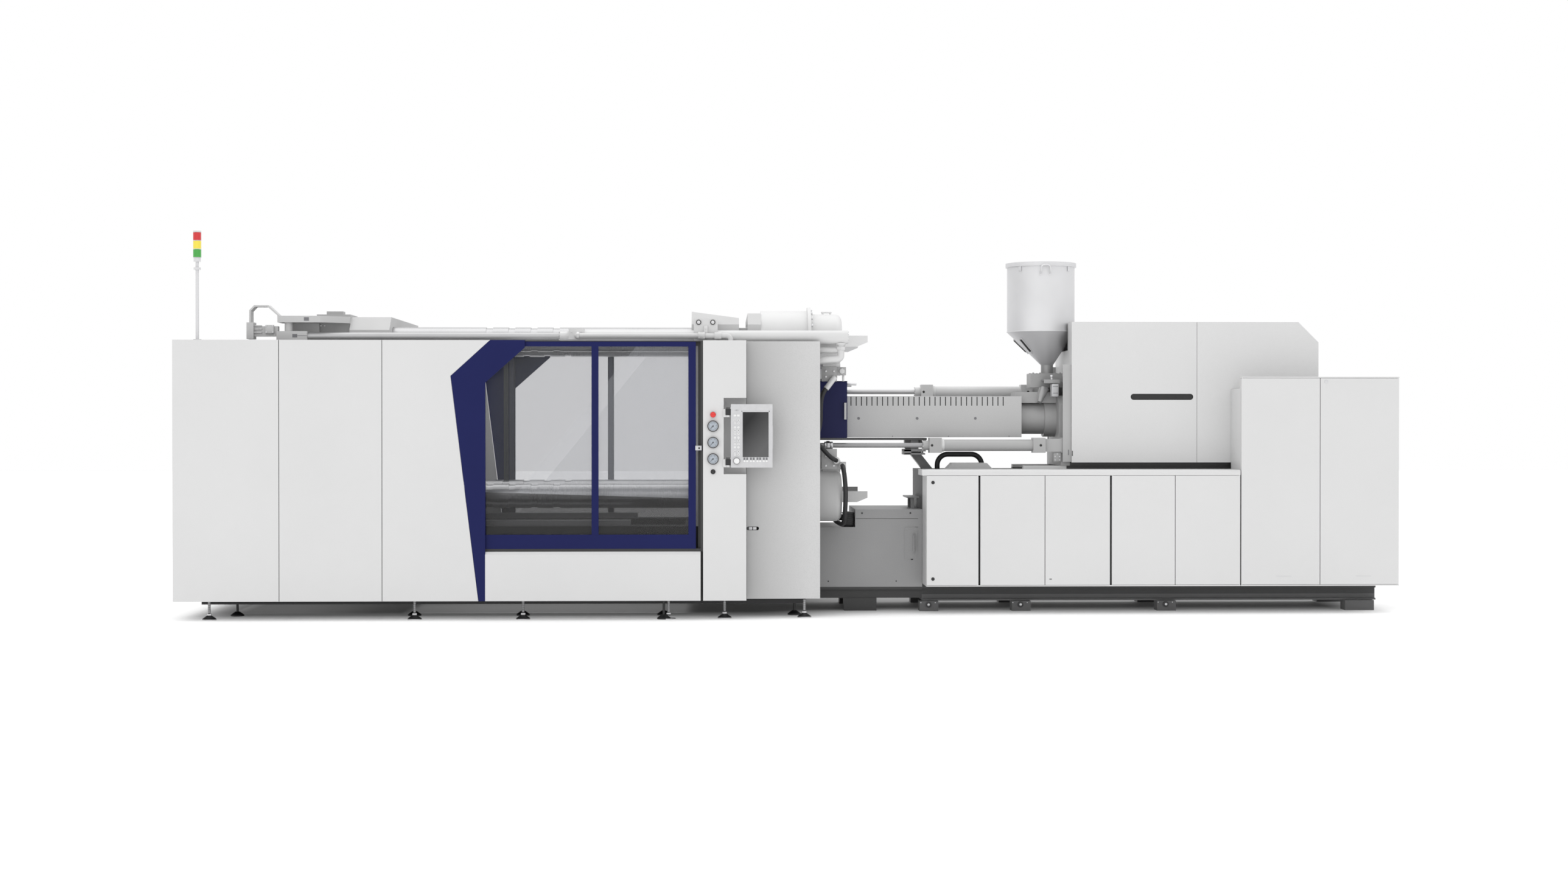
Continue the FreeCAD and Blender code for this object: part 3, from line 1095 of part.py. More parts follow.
MOVING_FACE = "moving_left + moving_plate"
SPINE_LEFT = "moving_left - spine_depth"
plate = block(("moving_left", MOVING_FACE), ("-platen_half", "platen_half"), ("moving_low", "moving_high"))
spine = cut(block((SPINE_LEFT, "moving_left"), ("-spine_half", "spine_half"),
                  ("axis_height - spine_half", "axis_height + spine_half")),
            block((f"{SPINE_LEFT} - 1", "moving_left"),
                  ("-(spine_half - spine_wall)", "spine_half - spine_wall"),
                  ("axis_height - spine_half + spine_wall", "axis_height + spine_half - spine_wall")))
ejector_bar = block(("ejector_bar_left", "ejector_bar_left + ejector_bar"), ("-spine_half", "spine_half"),
                    ("axis_height - ejector_bar", "axis_height + ejector_bar"))
cheeks = [block(("ejector_bar_left", f"{SPINE_LEFT} + 1"),
                (f"{sign}spine_half", f"{sign}(spine_half - spine_wall)"),
                ("axis_height - ejector_bar", "axis_height + ejector_bar")) for sign in ("-", "")]
ejector_tube = bar("x", ("ejector_ram_left - 30", "ejector_bar_left + 1"), ("0", "axis_height"),
                   "ejector_barrel")
shoe = block(("moving_left - shoe_overhang", f"{MOVING_FACE} + shoe_overhang"), RAIL_Y,
             ("bed_top + bed_rail_height + shoe_gap", "moving_low"))
platen_tools = [bar("x", ("moving_left - 1", f"{MOVING_FACE} + 1"), spot,
                    "tie_radius + tie_play") for spot in BARS]
for sign in ("-", ""):
    platen_tools.append(corner_prism(sign, "moving_high", "+", ("moving_left - 1", f"{MOVING_FACE} + 1")))
EJECTOR_SPOTS = [(y, f"axis_height {z} ejector_rod_x") for y in ("-ejector_rod_x",
                                                                 "ejector_rod_x") for z in "-+"]
for spot in EJECTOR_SPOTS:
    platen_tools.append(bar("x", ("moving_left - 1", f"{MOVING_FACE} + 1"), spot,
                            "ejector_rod + ejector_gap"))
platen_tools.append(bar("x", ("ejector_ram_left - 10", "ejector_bar_left + ejector_bar + 1"),
                        ("0", "axis_height"),
                        "ejector_ram + ejector_gap"))
platen_tools += clamp_holes(MOVING_FACE, "-bolt_depth")
platen_parts = [plate, spine, ejector_bar, *cheeks, ejector_tube, shoe, mirrored(shoe)]
node("moving_platen", cut(join(*platen_parts), *platen_tools))

ejector_plate = block(("ejector_left", "ejector_left + ejector_sheet"), ("-ejector_half", "ejector_half"),
                      ("axis_height - ejector_half", "axis_height + ejector_half"))
ejector_parts = [ejector_plate, bar("x", ("ejector_ram_left", "ejector_left + 1"), ("0", "axis_height"),
                                    "ejector_ram")]
for spot in EJECTOR_SPOTS:
    ejector_parts.append(bar("x", ("ejector_left + 1", f"{MOVING_FACE} - ejector_tip_inset"), spot,
                             "ejector_rod"))
node("ejector", join(*ejector_parts))

HOUSING = ("moving_left - housing_depth", "moving_left")
NUT = ("moving_left - housing_depth + housing_wall + 30",
       "moving_left - housing_depth + housing_wall + 30 + nut_length")
housings = []
front_halves = []
rear_halves = []
for y, z in BARS:
    upper = "+" in z
    heights = (f"{z} - housing_inward", "housing_top") if upper else ("moving_low", f"{z} + housing_inward")
    box = block(HOUSING, (f"{y} - housing_half_y", f"{y} + housing_half_y"), heights)
    if upper and y.startswith("-"):
        box = join(box, block((f"{HOUSING[0]} + 64", "moving_left - 88"), (f"{y} - 60", f"{y} + 60"),
                              ("housing_top - 1", "housing_top + 34")))
    room = block((f"{HOUSING[0]} + housing_wall", "moving_left + 1"),
                 (f"{y} - housing_half_y + housing_wall", f"{y} + housing_half_y - housing_wall"),
                 (f"{z} - housing_room", f"{z} + housing_room"))
    hole = bar("x", (f"{HOUSING[0]} - 1", "moving_left + 1"), (y, z), "tie_radius + tie_play")
    nut_middle = f"({NUT[0]} + {NUT[1]}) / 2"
    sides = bar("y", (f"{y} - housing_half_y - 1", f"{y} + housing_half_y + 1"), (nut_middle, z),
                "nut_rod + running_gap")
    housings.append(cut(box, room, hole, sides))
    for sign, halves in (("-", front_halves), ("+", rear_halves)):
        shell = cut(bar("x", NUT, (f"{y} {sign} nut_open", z), "nut_outer"),
                    bar("x", (f"{NUT[0]} - 1", f"{NUT[1]} + 1"), (f"{y} {sign} nut_open", z), "nut_inner"))
        away = "+" if sign == "-" else "-"
        other = block((f"{NUT[0]} - 1", f"{NUT[1]} + 1"),
                      (f"{y} {sign} nut_open {sign} nut_meeting_gap / 2",
                       f"{y} {sign} nut_open {away} (nut_outer + 1)"),
                      (f"{z} - nut_outer - 1", f"{z} + nut_outer + 1"))
        rod = bar("y", (f"{y} {sign} (nut_open + nut_outer - 6)", f"{y} {sign} (housing_half_y + 30)"),
                  (nut_middle, z), "nut_rod")
        halves.append(join(cut(shell, other), rod))
node("lock_housings", group(*housings))
node("lock_nuts_front", group(*front_halves))
node("lock_nuts_rear", group(*rear_halves))

# --- Travel cylinders: one above at the front, one below at the rear ----------------------------

GLAND_LEFT = "travel_left - gland_length"
tubes = []
rods = []
yokes = []
for y, z, up in (("-travel_half_y", "axis_height + travel_rise", "+"),
                 ("travel_half_y", "axis_height - travel_rise", "-")):
    out = "-" if up == "+" else "+"
    away = "+" if out == "-" else "-"
    whole = "travel_right - travel_left + gland_length"
    tube_section = [
        ("0", "rod_radius + running_gap"), ("0", "gland_radius"), ("gland_length", "gland_radius"),
        ("gland_length", "travel_radius"), (whole, "travel_radius"), (whole, "0"), (f"{whole} - 50", "0"),
        (f"{whole} - 50", "travel_bore"), ("gland_length + 10", "travel_bore"),
        ("gland_length + 10", "rod_radius + running_gap"),
    ]
    barrel_tube = turned("x", tube_section, GLAND_LEFT, (y, z))
    saddle = block(("saddle_left", "saddle_right"),
                   (f"{y} {out} travel_radius", f"{y} {away} (travel_half_y - platen_half)"),
                   (f"{z} {out if up == '-' else '-'} saddle_low", f"{z} {up} saddle_high"))
    saddle = cut(saddle, bar("x", ("saddle_left - 1", "saddle_right + 1"), (y, z), "travel_bore + 4"))
    port = block(("travel_left + 11", "travel_left + 146"), (f"{y} {out} 70", f"{y} {away} 70"),
                 (f"{z} - 25" if up == "+" else f"{z} + 25", f"{z} {up} 72"))
    port = cut(port, bar("x", ("travel_left", "travel_left + 160"), (y, z), "travel_bore + 4"))
    tubes.append(join(barrel_tube, saddle, port))
    piston_left = "rod_piston_right - rod_piston"
    rods.append(turned("x", [
        ("0", "0"), ("0", "rod_radius"), (f"{piston_left} - rod_left", "rod_radius"),
        (f"{piston_left} - rod_left", "travel_bore - running_gap"),
        ("rod_piston_right - rod_left", "travel_bore - running_gap"), ("rod_piston_right - rod_left", "0"),
    ], "rod_left", (y, z)))
    arm = slab("z", [
        ("arm_left", f"{y} {out} arm_overhang"), ("arm_left + 371", f"{y} {out} arm_overhang"),
        ("moving_left", f"{y} {away} (travel_half_y - platen_half)"),
        ("moving_left", f"{y} {away} (travel_half_y - tie_half_y - housing_half_y)"),
        ("arm_left", f"{y} {away} (travel_half_y - tie_half_y - housing_half_y)"),
    ], (f"{z} {up} arm_low", f"{z} {up} (arm_low + arm_sheet)"))
    yoke = block(("arm_left - 10", "yoke_right"), (f"{y} - yoke_half_y", f"{y} + yoke_half_y"),
                 (f"{z} - yoke_half_z", f"{z} + yoke_half_z"))
    yoke = cut(yoke, bar("x", ("rod_left", "yoke_right + 1"), (y, z), "rod_radius"))
    pin = bar("z", (f"{z} {up} (yoke_half_z - 1)", f"{z} {up} (arm_low + 1)"), ("yoke_pin_x + 23", y),
              "yoke_pin")
    yoke_parts = [arm, yoke, pin]
    if up == "+":
        tag = block(("tag_left", "tag_left + tag_width"),
                    (f"{y} - link_half_y * 2", f"{y} + link_half_y * 2"),
                    (f"{z} - tag_low + 46", f"{z} + tag_high"))
        link = block(("tag_left + tag_width - 1", "arm_left"), (f"{y} - link_half_y", f"{y} + link_half_y"),
                     (f"{z}", f"{z} + 2 * link_half_z"))
        hoop_top = f"{z} + hoop_high"
        hoop_left = "tag_left + 24"
        hoop = slab("y", [
            (hoop_left, f"{z} + tag_high - 1"), (hoop_left, f"{hoop_top} - hoop_bevel"),
            ("tag_left + 67", hoop_top), ("tag_left + 191", hoop_top),
            ("arm_left + 20", f"{z} + arm_low + arm_sheet"),
            ("arm_left + 4", f"{z} + arm_low + arm_sheet - 1"),
            (f"tag_left + 191 - hoop_wire / 2", f"{hoop_top} - hoop_wire"),
            (f"tag_left + 67 + hoop_wire / 2", f"{hoop_top} - hoop_wire"),
            (f"{hoop_left} + hoop_wire", f"{hoop_top} - hoop_bevel - hoop_wire / 2"),
            (f"{hoop_left} + hoop_wire", f"{z} + tag_high - 1"),
        ], (f"{y} - link_half_y * 2", f"{y} + link_half_y * 2"))
        yoke_parts += [tag, link, hoop]
    yokes.append(join(*yoke_parts))
node("travel_cylinders", group(*tubes))
node("travel_rods", group(*rods))
node("rod_yokes", group(*yokes))

# --- Pipes and hoses --------------------------------------------------------------------------------

PIPE_Z = "axis_height + pipe_rise"
# Quarter bends, by the way they turn: towards the cylinder, down, and from down to the platen.
TURN_IN = FreeCAD.Rotation(FreeCAD.Vector(0, 0, 1), 180)
TURN_DOWN = FreeCAD.Rotation(FreeCAD.Vector(1, 0, 0), 90)
port_end = "-(travel_half_y + 70)"
pipe_parts = [
    bar("y", ("-(pipe_y - pipe_bend)", port_end), ("pipe_left", PIPE_Z), "pipe_radius"),
    elbow(("pipe_left + pipe_bend", "-(pipe_y - pipe_bend)", PIPE_Z), "pipe_bend", "pipe_radius", TURN_IN),
    bar("x", ("pipe_left + pipe_bend", "pipe_right - pipe_bend"), ("-pipe_y", PIPE_Z), "pipe_radius"),
    bar("x", ("saddle_left + 39", "saddle_left + 98"), ("-pipe_y", PIPE_Z), "pipe_radius + 10"),
    bar("x", ("saddle_right - 28", "saddle_right + 32"), ("-pipe_y", PIPE_Z), "pipe_radius + 10"),
    elbow(("pipe_right - pipe_bend", "-pipe_y", f"{PIPE_Z} - pipe_bend"), "pipe_bend", "pipe_radius",
          TURN_DOWN),
    bar("z", (f"{PIPE_Z} - pipe_drop", f"{PIPE_Z} - pipe_bend"), ("pipe_right", "-pipe_y"), "pipe_radius"),
    elbow(("pipe_right", "-(pipe_y - pipe_bend)", f"{PIPE_Z} - pipe_drop"), "pipe_bend", "pipe_radius",
          FreeCAD.Rotation(FreeCAD.Vector(0, 0, -1), FreeCAD.Vector(0, -1, 0), FreeCAD.Vector(-1, 0, 0),
                           "ZXY")),
    bar("y", ("-(pipe_y - pipe_bend)", "-platen_half"), ("pipe_right", f"{PIPE_Z} - pipe_drop - pipe_bend"),
        "pipe_radius"),
]
DRAIN_Z = "axis_height + travel_rise - drain_drop"
DRAIN_Y = "-(travel_half_y - 15)"
drain_parts = [
    bar("z", (f"{DRAIN_Z} + drain_bend", "axis_height + travel_rise - 20"), ("drain_x", DRAIN_Y),
        "drain_radius"),
    elbow(("drain_x - drain_bend", DRAIN_Y, f"{DRAIN_Z} + drain_bend"), "drain_bend", "drain_radius",
          FreeCAD.Rotation(FreeCAD.Vector(1, 0, 0), -90)),
    bar("x", ("drain_left + drain_bend", "drain_x - drain_bend"), (DRAIN_Y, DRAIN_Z), "drain_radius"),
    elbow(("drain_left + drain_bend", f"{DRAIN_Y} + drain_bend", DRAIN_Z), "drain_bend", "drain_radius",
          FreeCAD.Rotation(FreeCAD.Vector(0, 0, 1), 180)),
    bar("y", (f"{DRAIN_Y} + drain_bend", "-platen_half"), ("drain_left", DRAIN_Z), "drain_radius"),
]
HOSE_Z = "base_top + hose_rise"
hose_right = "hose_left + hose_span"
hose_parts = [
    bar("z", ("base_top", f"{HOSE_Z} - hose_bend"), ("hose_left", "0"), "hose_radius"),
    elbow(("hose_left + hose_bend", "0", f"{HOSE_Z} - hose_bend"), "hose_bend", "hose_radius",
          FreeCAD.Rotation(FreeCAD.Vector(-1, 0, 0), FreeCAD.Vector(0, 0, 1), FreeCAD.Vector(0, 1, 0),
                           "ZXY")),
    bar("x", ("hose_left + hose_bend", f"{hose_right} - hose_bend"), ("0", HOSE_Z), "hose_radius"),
    elbow((f"{hose_right} - hose_bend", "0", f"{HOSE_Z} - hose_bend"), "hose_bend", "hose_radius",
          TURN_DOWN),
    bar("z", ("base_top", f"{HOSE_Z} - hose_bend"), (hose_right, "0"), "hose_radius"),
]
tube_room = bar("x", ("travel_left", "travel_right"), ("-travel_half_y", "axis_height + travel_rise"),
                "travel_radius")
node("hydraulic_lines", group(join(*pipe_parts), cut(join(*drain_parts), tube_room), join(*hose_parts)))

# --- Signal light ------------------------------------------------------------------------------------

lamp_section = [("0", "0"), ("0", "light_radius"), ("8", "light_radius"), ("8", "light_pole")]
for low, high in (("light_collar_z", "light_collar_z + light_collar"),
                  ("light_low - light_base", "light_low - 2")):
    lamp_section += [(f"{low} - cover_high", "light_pole"), (f"{low} - cover_high", "light_radius - 4"),
                     (f"{high} - cover_high", "light_radius - 4"), (f"{high} - cover_high", "light_pole")]
for number in range(4):
    low = f"light_low + {number} * light_module"
    high = f"light_low + {number + 1} * light_module - 2" if number < 3 else "light_low + 3 * light_module + light_cap"
    lamp_section += [(f"{low} - cover_high", "light_pole"), (f"{low} - cover_high", "light_radius"),
                     (f"{high} - cover_high", "light_radius")]
    if number < 3:
        lamp_section.append((f"{high} - cover_high", "light_pole"))
lamp_section.append(("light_low + 3 * light_module + light_cap - cover_high", "0"))
node("stack_light", turned("z", lamp_section, "cover_high", ("light_x", "-light_y")))

# --- Middle base and injection base -----------------------------------------------------------------

middle = slab("y", [
    ("bed_right", "link_base_low + 79"), ("bed_right", "link_base_step_z"),
    ("link_base_step_x", "link_base_step_z"),
    ("link_base_step_x", "link_base_high"), ("base_left", "link_base_high"),
    ("base_left", "link_base_low + 79"),
], ("-link_base_half", "link_base_half"))
middle_foot = block(("bed_right", "base_left"),
                    ("-(link_base_half - channel_recess)", "link_base_half - channel_recess"),
                    ("link_base_low", "link_base_low + 80"))
middle_pads = [block(("link_pad_left", "link_pad_left + link_pad_length"),
                     (f"{sign}(link_base_half - 20)", f"{sign}(link_base_half - 20 - link_pad_half)"),
                     ("0", "link_base_low")) for sign in ("-", "")]
HATCH_RIGHT = "base_left - hatch_margin"
HATCH_FACE = "-(link_base_half + hatch_sheet)"
hatch = rounded(block(("hatch_left", HATCH_RIGHT), (HATCH_FACE, "-link_base_half"),
                      ("hatch_low", "hatch_high")), "hatch_corner",
                lambda edge: edge.BoundBox.XLength < 1 and edge.BoundBox.ZLength < 1)
GRIP_X = "hatch_left + hatch_grip_inset"
GRIP_Y = f"{HATCH_FACE} - hatch_grip_reach"
GRIP_Z = ("hatch_low + hatch_grip_margin", "hatch_high - hatch_grip_margin")
hatch_grip = [bar("z", (f"{GRIP_Z[0]} - hatch_grip_wire", f"{GRIP_Z[1]} + hatch_grip_wire"),
                  (GRIP_X, GRIP_Y), "hatch_grip_wire")]
for height in GRIP_Z:
    hatch_grip.append(bar("y", (GRIP_Y, HATCH_FACE), (GRIP_X, height), "hatch_grip_wire"))
shelf = [block(("shelf_left", "base_left"), ("-shelf_half", "shelf_half"),
               ("shelf_high - shelf_sheet", "shelf_high"))]
for sign in ("-", ""):
    shelf.append(block(("shelf_post_x", "shelf_post_x + shelf_post"),
                       (f"{sign}(shelf_half - shelf_post)", f"{sign}(shelf_half - 2 * shelf_post)"),
                       ("link_base_high", "shelf_high - shelf_sheet")))
node("middle_base", join(middle, middle_foot, *middle_pads, hatch, *hatch_grip, *shelf))

channel = block(("base_left", "base_right"), ("-base_half", "base_half"), ("channel_low", "channel_high"))
channel_cuts = [block(("base_left - 1", "base_right + 1"),
                      (f"{sign}(base_half + 1)", f"{sign}(base_half - channel_recess)"),
                      ("channel_low + channel_flange", "channel_high - channel_flange")) for sign in ("-",
                                                                                                      "")]
housing_block = block(("base_left", "base_right"), ("-base_half", "base_half"),
                      ("channel_high", "base_top"))
bay = "(base_right - base_left - base_rib) / 6"
bays = [block((f"base_left + base_rib + {number} * {bay}", f"base_left + {number + 1} * {bay}"),
              ("base_half - base_recess", "base_half + 1"),
              ("channel_high + base_rib", "base_top - base_rib"))
        for number in range(6)]
base_parts = [cut(channel, *channel_cuts), cut(housing_block, *bays)]
pad_holes = []
PADS = [("base_pad_first", "base_pad"), ("base_pad_second", "base_pad"), ("base_pad_third", "base_pad"),
        ("base_end_pad_left", "base_end_pad")]
for left, length in PADS:
    for sign in ("-", ""):
        base_parts.append(block((left, f"{left} + {length}"), (f"{sign}(base_half + base_pad_out)",
                                f"{sign}(base_half + base_pad_out - base_pad_deep)"), ("0", "channel_low")))
        pad_holes.append(bar("z", ("-1", "channel_low + 1"), (f"{left} + {length} / 2",
                             f"{sign}(base_half + base_pad_out / 2)"), "pad_bolt_radius"))
for sign in ("-", ""):
    base_parts.append(block(("slide_rail_left", "slide_rail_right"),
                            (f"{sign}(slide_rail_y - slide_rail / 2)",
                            f"{sign}(slide_rail_y + slide_rail / 2)"),
                            ("base_top", "base_top + slide_rail_height")))
node("injection_base", cut(join(*base_parts), *pad_holes))

# --- Cabinets ------------------------------------------------------------------------------------------

DOOR_Y = ("-cabinet_front", "-(cabinet_front - door_depth)")
BODY_FRONT = "-(cabinet_front - door_depth - door_gap + 1)"
pin_x = "(door_gap + door_pin_inset)"


def pin_places(left, right, hinge):
    """Where a door's pivot stands, for a door that is hung on its left or right edge."""
    x = f"{left} + {pin_x}" if hinge == "left" else f"{right} - {pin_x}"
    return x, "-(cabinet_front - door_pin_inset)"


def door(left, right, low, high, hinge):
    """A door folded from sheet, with pivot pins above and below its outer front corner."""
    body = block((f"{left} + door_gap", f"{right} - door_gap"), DOOR_Y,
                 (f"{low} + door_gap", f"{high} - door_gap"))
    hang = "14"
    free = "door_sheet"
    inner_left, inner_right = (hang, free) if hinge == "left" else (free, hang)
    room = block((f"{left} + door_gap + {inner_left}", f"{right} - door_gap - {inner_right}"),
                 (f"{DOOR_Y[0]} + door_sheet", f"{DOOR_Y[1]} + 1"),
                 (f"{low} + door_gap + door_sheet", f"{high} - door_gap - door_sheet"))
    spot = pin_places(left, right, hinge)
    low_pin = bar("z", (f"{low} + door_gap + 5", f"{low} + door_gap - door_pin_reach + 4"), spot,
                  "door_pin")
    high_pin = bar("z", (f"{high} - door_gap - 5", f"{high} - door_gap + door_pin_reach - 4"), spot,
                   "door_pin")
    return join(cut(body, room), low_pin, high_pin)


def pin_holes(left, right, low, high, hinge):
    """The holes for a door's pins, in the sill and head of a cabinet."""
    spot = pin_places(left, right, hinge)
    return [bar("z", (f"{low} + 1", f"{low} - door_pin_reach"), spot, "door_pin + running_gap"),
            bar("z", (f"{high} - 1", f"{high} + door_pin_reach"), spot, "door_pin + running_gap")]


SILL_TOP = "cabinet_low + shelf_lip"
LOW_HEAD = "low_high - low_rail"
LOW_DOORS = [
    ("low_left", "low_first_gap", "right"),
    ("low_first_gap + dark_joint", "low_first_pair", "left"),
    ("low_first_pair", "low_second_gap", "right"),
    ("low_second_gap + dark_joint", "low_second_pair", "left"),
    ("low_second_pair", "low_right", "right"),
]
low_parts = [
    block(("low_left", "low_right"), DOOR_Y, ("cabinet_low", SILL_TOP)),
    block(("low_left", "low_right"), (BODY_FRONT, "-cabinet_back"), ("cabinet_low", LOW_HEAD)),
]
rail_top = block(("low_left - 39", "low_right"), ("-cabinet_front", "-cabinet_back"),
                 (LOW_HEAD, "low_high"))
front_line = amount_of("-cabinet_front")
top_line = amount_of("low_high")
rail_top = rounded(rail_top, "low_round",
                   lambda edge: edge.BoundBox.YLength < 1 and edge.BoundBox.ZLength < 1
                   and abs(edge.BoundBox.YMin - front_line) < 1 and abs(edge.BoundBox.ZMin - top_line) < 1)
rooms = [block((f"{left} + cabinet_wall", f"{right} - cabinet_wall"),
               (f"{BODY_FRONT} - 1", "-(cabinet_back + cabinet_wall)"),
               ("cabinet_low + cabinet_wall", f"{LOW_HEAD} - cabinet_wall"))
         for left, right in (("low_left", "low_first_gap"),
                             ("low_first_gap + dark_joint", "low_second_gap"),
                             ("low_second_gap + dark_joint", "low_right"))]
low_tools = list(rooms)
for number, (left, right, hinge) in enumerate(LOW_DOORS, start=1):
    low_tools += pin_holes(left, right, SILL_TOP, LOW_HEAD, hinge)
    node(f"low_door_{number}", door(left, right, SILL_TOP, LOW_HEAD, hinge))
# The body meets the sill behind the doors.
low_parts.append(block(("low_left", "low_right"), (DOOR_Y[0], BODY_FRONT), ("cabinet_low", SILL_TOP)))
valve_cover = slab("y", [
    ("valve_cover_left", "base_top"),
    ("valve_cover_left + valve_cover_slope", "base_top + valve_cover_rise"),
    ("valve_cover_right - valve_cover_slope", "base_top + valve_cover_rise"),
    ("valve_cover_right", "base_top"),
], ("-valve_cover_front", "-(valve_cover_front - valve_cover_deep)"))
node("low_cabinet", group(cut(join(*low_parts, rail_top), *low_tools), valve_cover))

TALL_HEAD = "tall_high - shelf_lip"
TALL_DOORS = [("tall_left", "tall_pair", "left"), ("tall_pair", "tall_right", "right")]
tall_body = block(("tall_left", "tall_right"), (BODY_FRONT, "-cabinet_back"),
                  ("cabinet_low", "tall_body_high"))
tall_frame = block(("tall_left", "tall_right"), (BODY_FRONT, f"{BODY_FRONT} + tall_front_frame"),
                   ("cabinet_low", "tall_high"))
tall_sill = block(("tall_left", "tall_right"), ("-cabinet_front", BODY_FRONT), ("cabinet_low", SILL_TOP))
tall_head = block(("tall_left", "tall_right"), ("-cabinet_front", BODY_FRONT), (TALL_HEAD, "tall_high"))
tall_room = block(("tall_left + cabinet_wall", "tall_right - cabinet_wall"),
                  (f"{BODY_FRONT} - 1", "-(cabinet_back + cabinet_wall)"),
                  ("cabinet_low + cabinet_wall", "tall_body_high - cabinet_wall"))
tall_tools = [tall_room]
for number, (left, right, hinge) in enumerate(TALL_DOORS, start=1):
    tall_tools += pin_holes(left, right, SILL_TOP, TALL_HEAD, hinge)
    node(f"tall_door_{number}", door(left, right, SILL_TOP, TALL_HEAD, hinge))
node("tall_cabinet", cut(join(tall_body, tall_frame, tall_sill, tall_head), *tall_tools))

# --- Carriage of the injection unit ---------------------------------------------------------------------

CARRIAGE_LOW = "base_top + slide_rail_height + carriage_gap"
FLOOR_TOP = f"{CARRIAGE_LOW} + carriage_floor"
PLATE_X = ("carriage_left", "carriage_left + carriage_plate")
RAMS = [("-ram_half_y", "axis_height - ram_rise"), ("ram_half_y", "axis_height + ram_rise")]
COLUMNS = [(f"{y}column_half_y", f"axis_height {z} column_half_z") for y in ("-", "") for z in "-+"]
floor = block(("carriage_left", "carriage_right"), ("-carriage_half", "carriage_half"),
              (CARRIAGE_LOW, FLOOR_TOP))
high = "axis_height + carriage_plate_high"
front_plate = slab("x", [
    ("-carriage_plate_half", CARRIAGE_LOW), ("-carriage_plate_half", f"{high} - carriage_plate_bevel"),
    ("-(carriage_plate_half - carriage_plate_bevel)", high),
    ("carriage_plate_half - carriage_plate_bevel", high),
    ("carriage_plate_half", f"{high} - carriage_plate_bevel"), ("carriage_plate_half", CARRIAGE_LOW),
], PLATE_X)
rear_plate = block(("rear_plate_left", "rear_plate_left + rear_plate"), ("-drive_half", "drive_half"),
                   (CARRIAGE_LOW, "axis_height + drive_rise"))
carriage_parts = [floor, front_plate, rear_plate]
for spot in COLUMNS:
    carriage_parts.append(bar("x", ("carriage_left + carriage_plate - 1", "rear_plate_left + 1"), spot,
                              "column_radius"))
for y, z in RAMS:
    sign = "-" if y.startswith("-") else ""
    ear_y = (f"{sign}(ram_half_y + ram_arm_half_y)",
             f"{sign}(carriage_plate_half - carriage_plate_bevel - 10)")
    ear_z = (f"{z} - ram_head_half", f"{z} + ram_head_half")
    if not sign:
        ear_z = (f"{high} - 2 * carriage_plate_bevel", f"{z} + ram_head_half")
    carriage_parts.append(block(PLATE_X, ear_y, ear_z))
# Outriggers and a portal carry the hood.
for left in ("hood_left + 100", "hood_seam - hood_post / 2", "carriage_right - 160"):
    for sign in ("-", ""):
        carriage_parts.append(block((left, f"{left} + hood_post"), (f"{sign}(carriage_half - 1)",
                                    f"{sign}(hood_half - hood_sheet)"),
                                    (f"{FLOOR_TOP} - 2 * hood_post", FLOOR_TOP)))
portal_x = ("hood_seam - hood_post / 2", "hood_seam + hood_post / 2")
for sign in ("-", ""):
    carriage_parts.append(block(portal_x, (f"{sign}carriage_half", f"{sign}(carriage_half - hood_post)"),
                                (f"{FLOOR_TOP} - 1", "hood_high - hood_sheet")))
carriage_parts.append(block(portal_x, ("-carriage_half", "carriage_half"),
                            ("hood_high - hood_sheet - hood_post", "hood_high - hood_sheet")))
front_bore = bar("x", ("carriage_left - 1", "carriage_left + carriage_plate + 1"), ("0", "axis_height"),
                 "barrel_bore")
node("carriage", cut(join(*carriage_parts), front_bore))

# The barrel with its cap and nozzle is one turned piece round the melt channel.
ADAPTER_LEFT = "(barrel_left - adapter_length - nozzle_left)"
node("barrel", turned("x", [
    ("0", "melt_bore"), ("0", "nozzle_tip"), ("nozzle_taper", "nozzle_radius"),
    (ADAPTER_LEFT, "nozzle_radius"),
    (ADAPTER_LEFT, "adapter_radius"), ("barrel_left - nozzle_left", "adapter_radius"),
    ("barrel_left - nozzle_left", "barrel_radius"), ("barrel_right - nozzle_left", "barrel_radius"),
    ("barrel_right - nozzle_left", "barrel_bore"), ("barrel_left - nozzle_left", "barrel_bore"),
    ("barrel_left - nozzle_left", "melt_bore"),
], "nozzle_left", ("0", "axis_height")))
bands = []
for number in range(5):
    left = f"band_first + {number} * band_pitch"
    bands.append(turned("x", [
        ("0", "barrel_radius + band_gap"), ("0", "barrel_radius + band_gap + band_sheet"),
        ("band_width", "barrel_radius + band_gap + band_sheet"), ("band_width", "barrel_radius + band_gap"),
    ], left, ("0", "axis_height")))
node("heater_bands", group(*bands))

GUARD_Z = ("axis_height - guard_low", "axis_height + guard_high")
guard = block(("guard_left", "barrel_right"), ("-guard_half", "guard_half"), GUARD_Z)
guard_room = block(("guard_left + guard_sheet", "barrel_right - guard_sheet"),
                   ("-(guard_half - guard_sheet)", "guard_half - guard_sheet"),
                   ("axis_height - guard_low - 1", "axis_height + guard_high - guard_sheet"))
guard_bore = bar("x", ("guard_left - 1", "barrel_right + 1"), ("0", "axis_height"),
                 "barrel_radius + band_gap")
slots = [block((f"slot_first + {number} * slot_pitch - slot_width / 2",
                f"slot_first + {number} * slot_pitch + slot_width / 2"),
               ("-(guard_half + 1)", "guard_half + 1"),
               ("axis_height + slot_low", "axis_height + guard_high - slot_land"))
         for number in range(int(amount_of("slot_count")))]
guard_notch = block(("barrel_right - 49", "barrel_right + 1"),
                    ("-(casting_block_half + 2)", "casting_block_half + 2"),
                    ("axis_height + casting_block_low - 2", "axis_height + guard_high + 1"))
node("barrel_guard", cut(guard, guard_room, guard_bore, guard_notch, *slots))

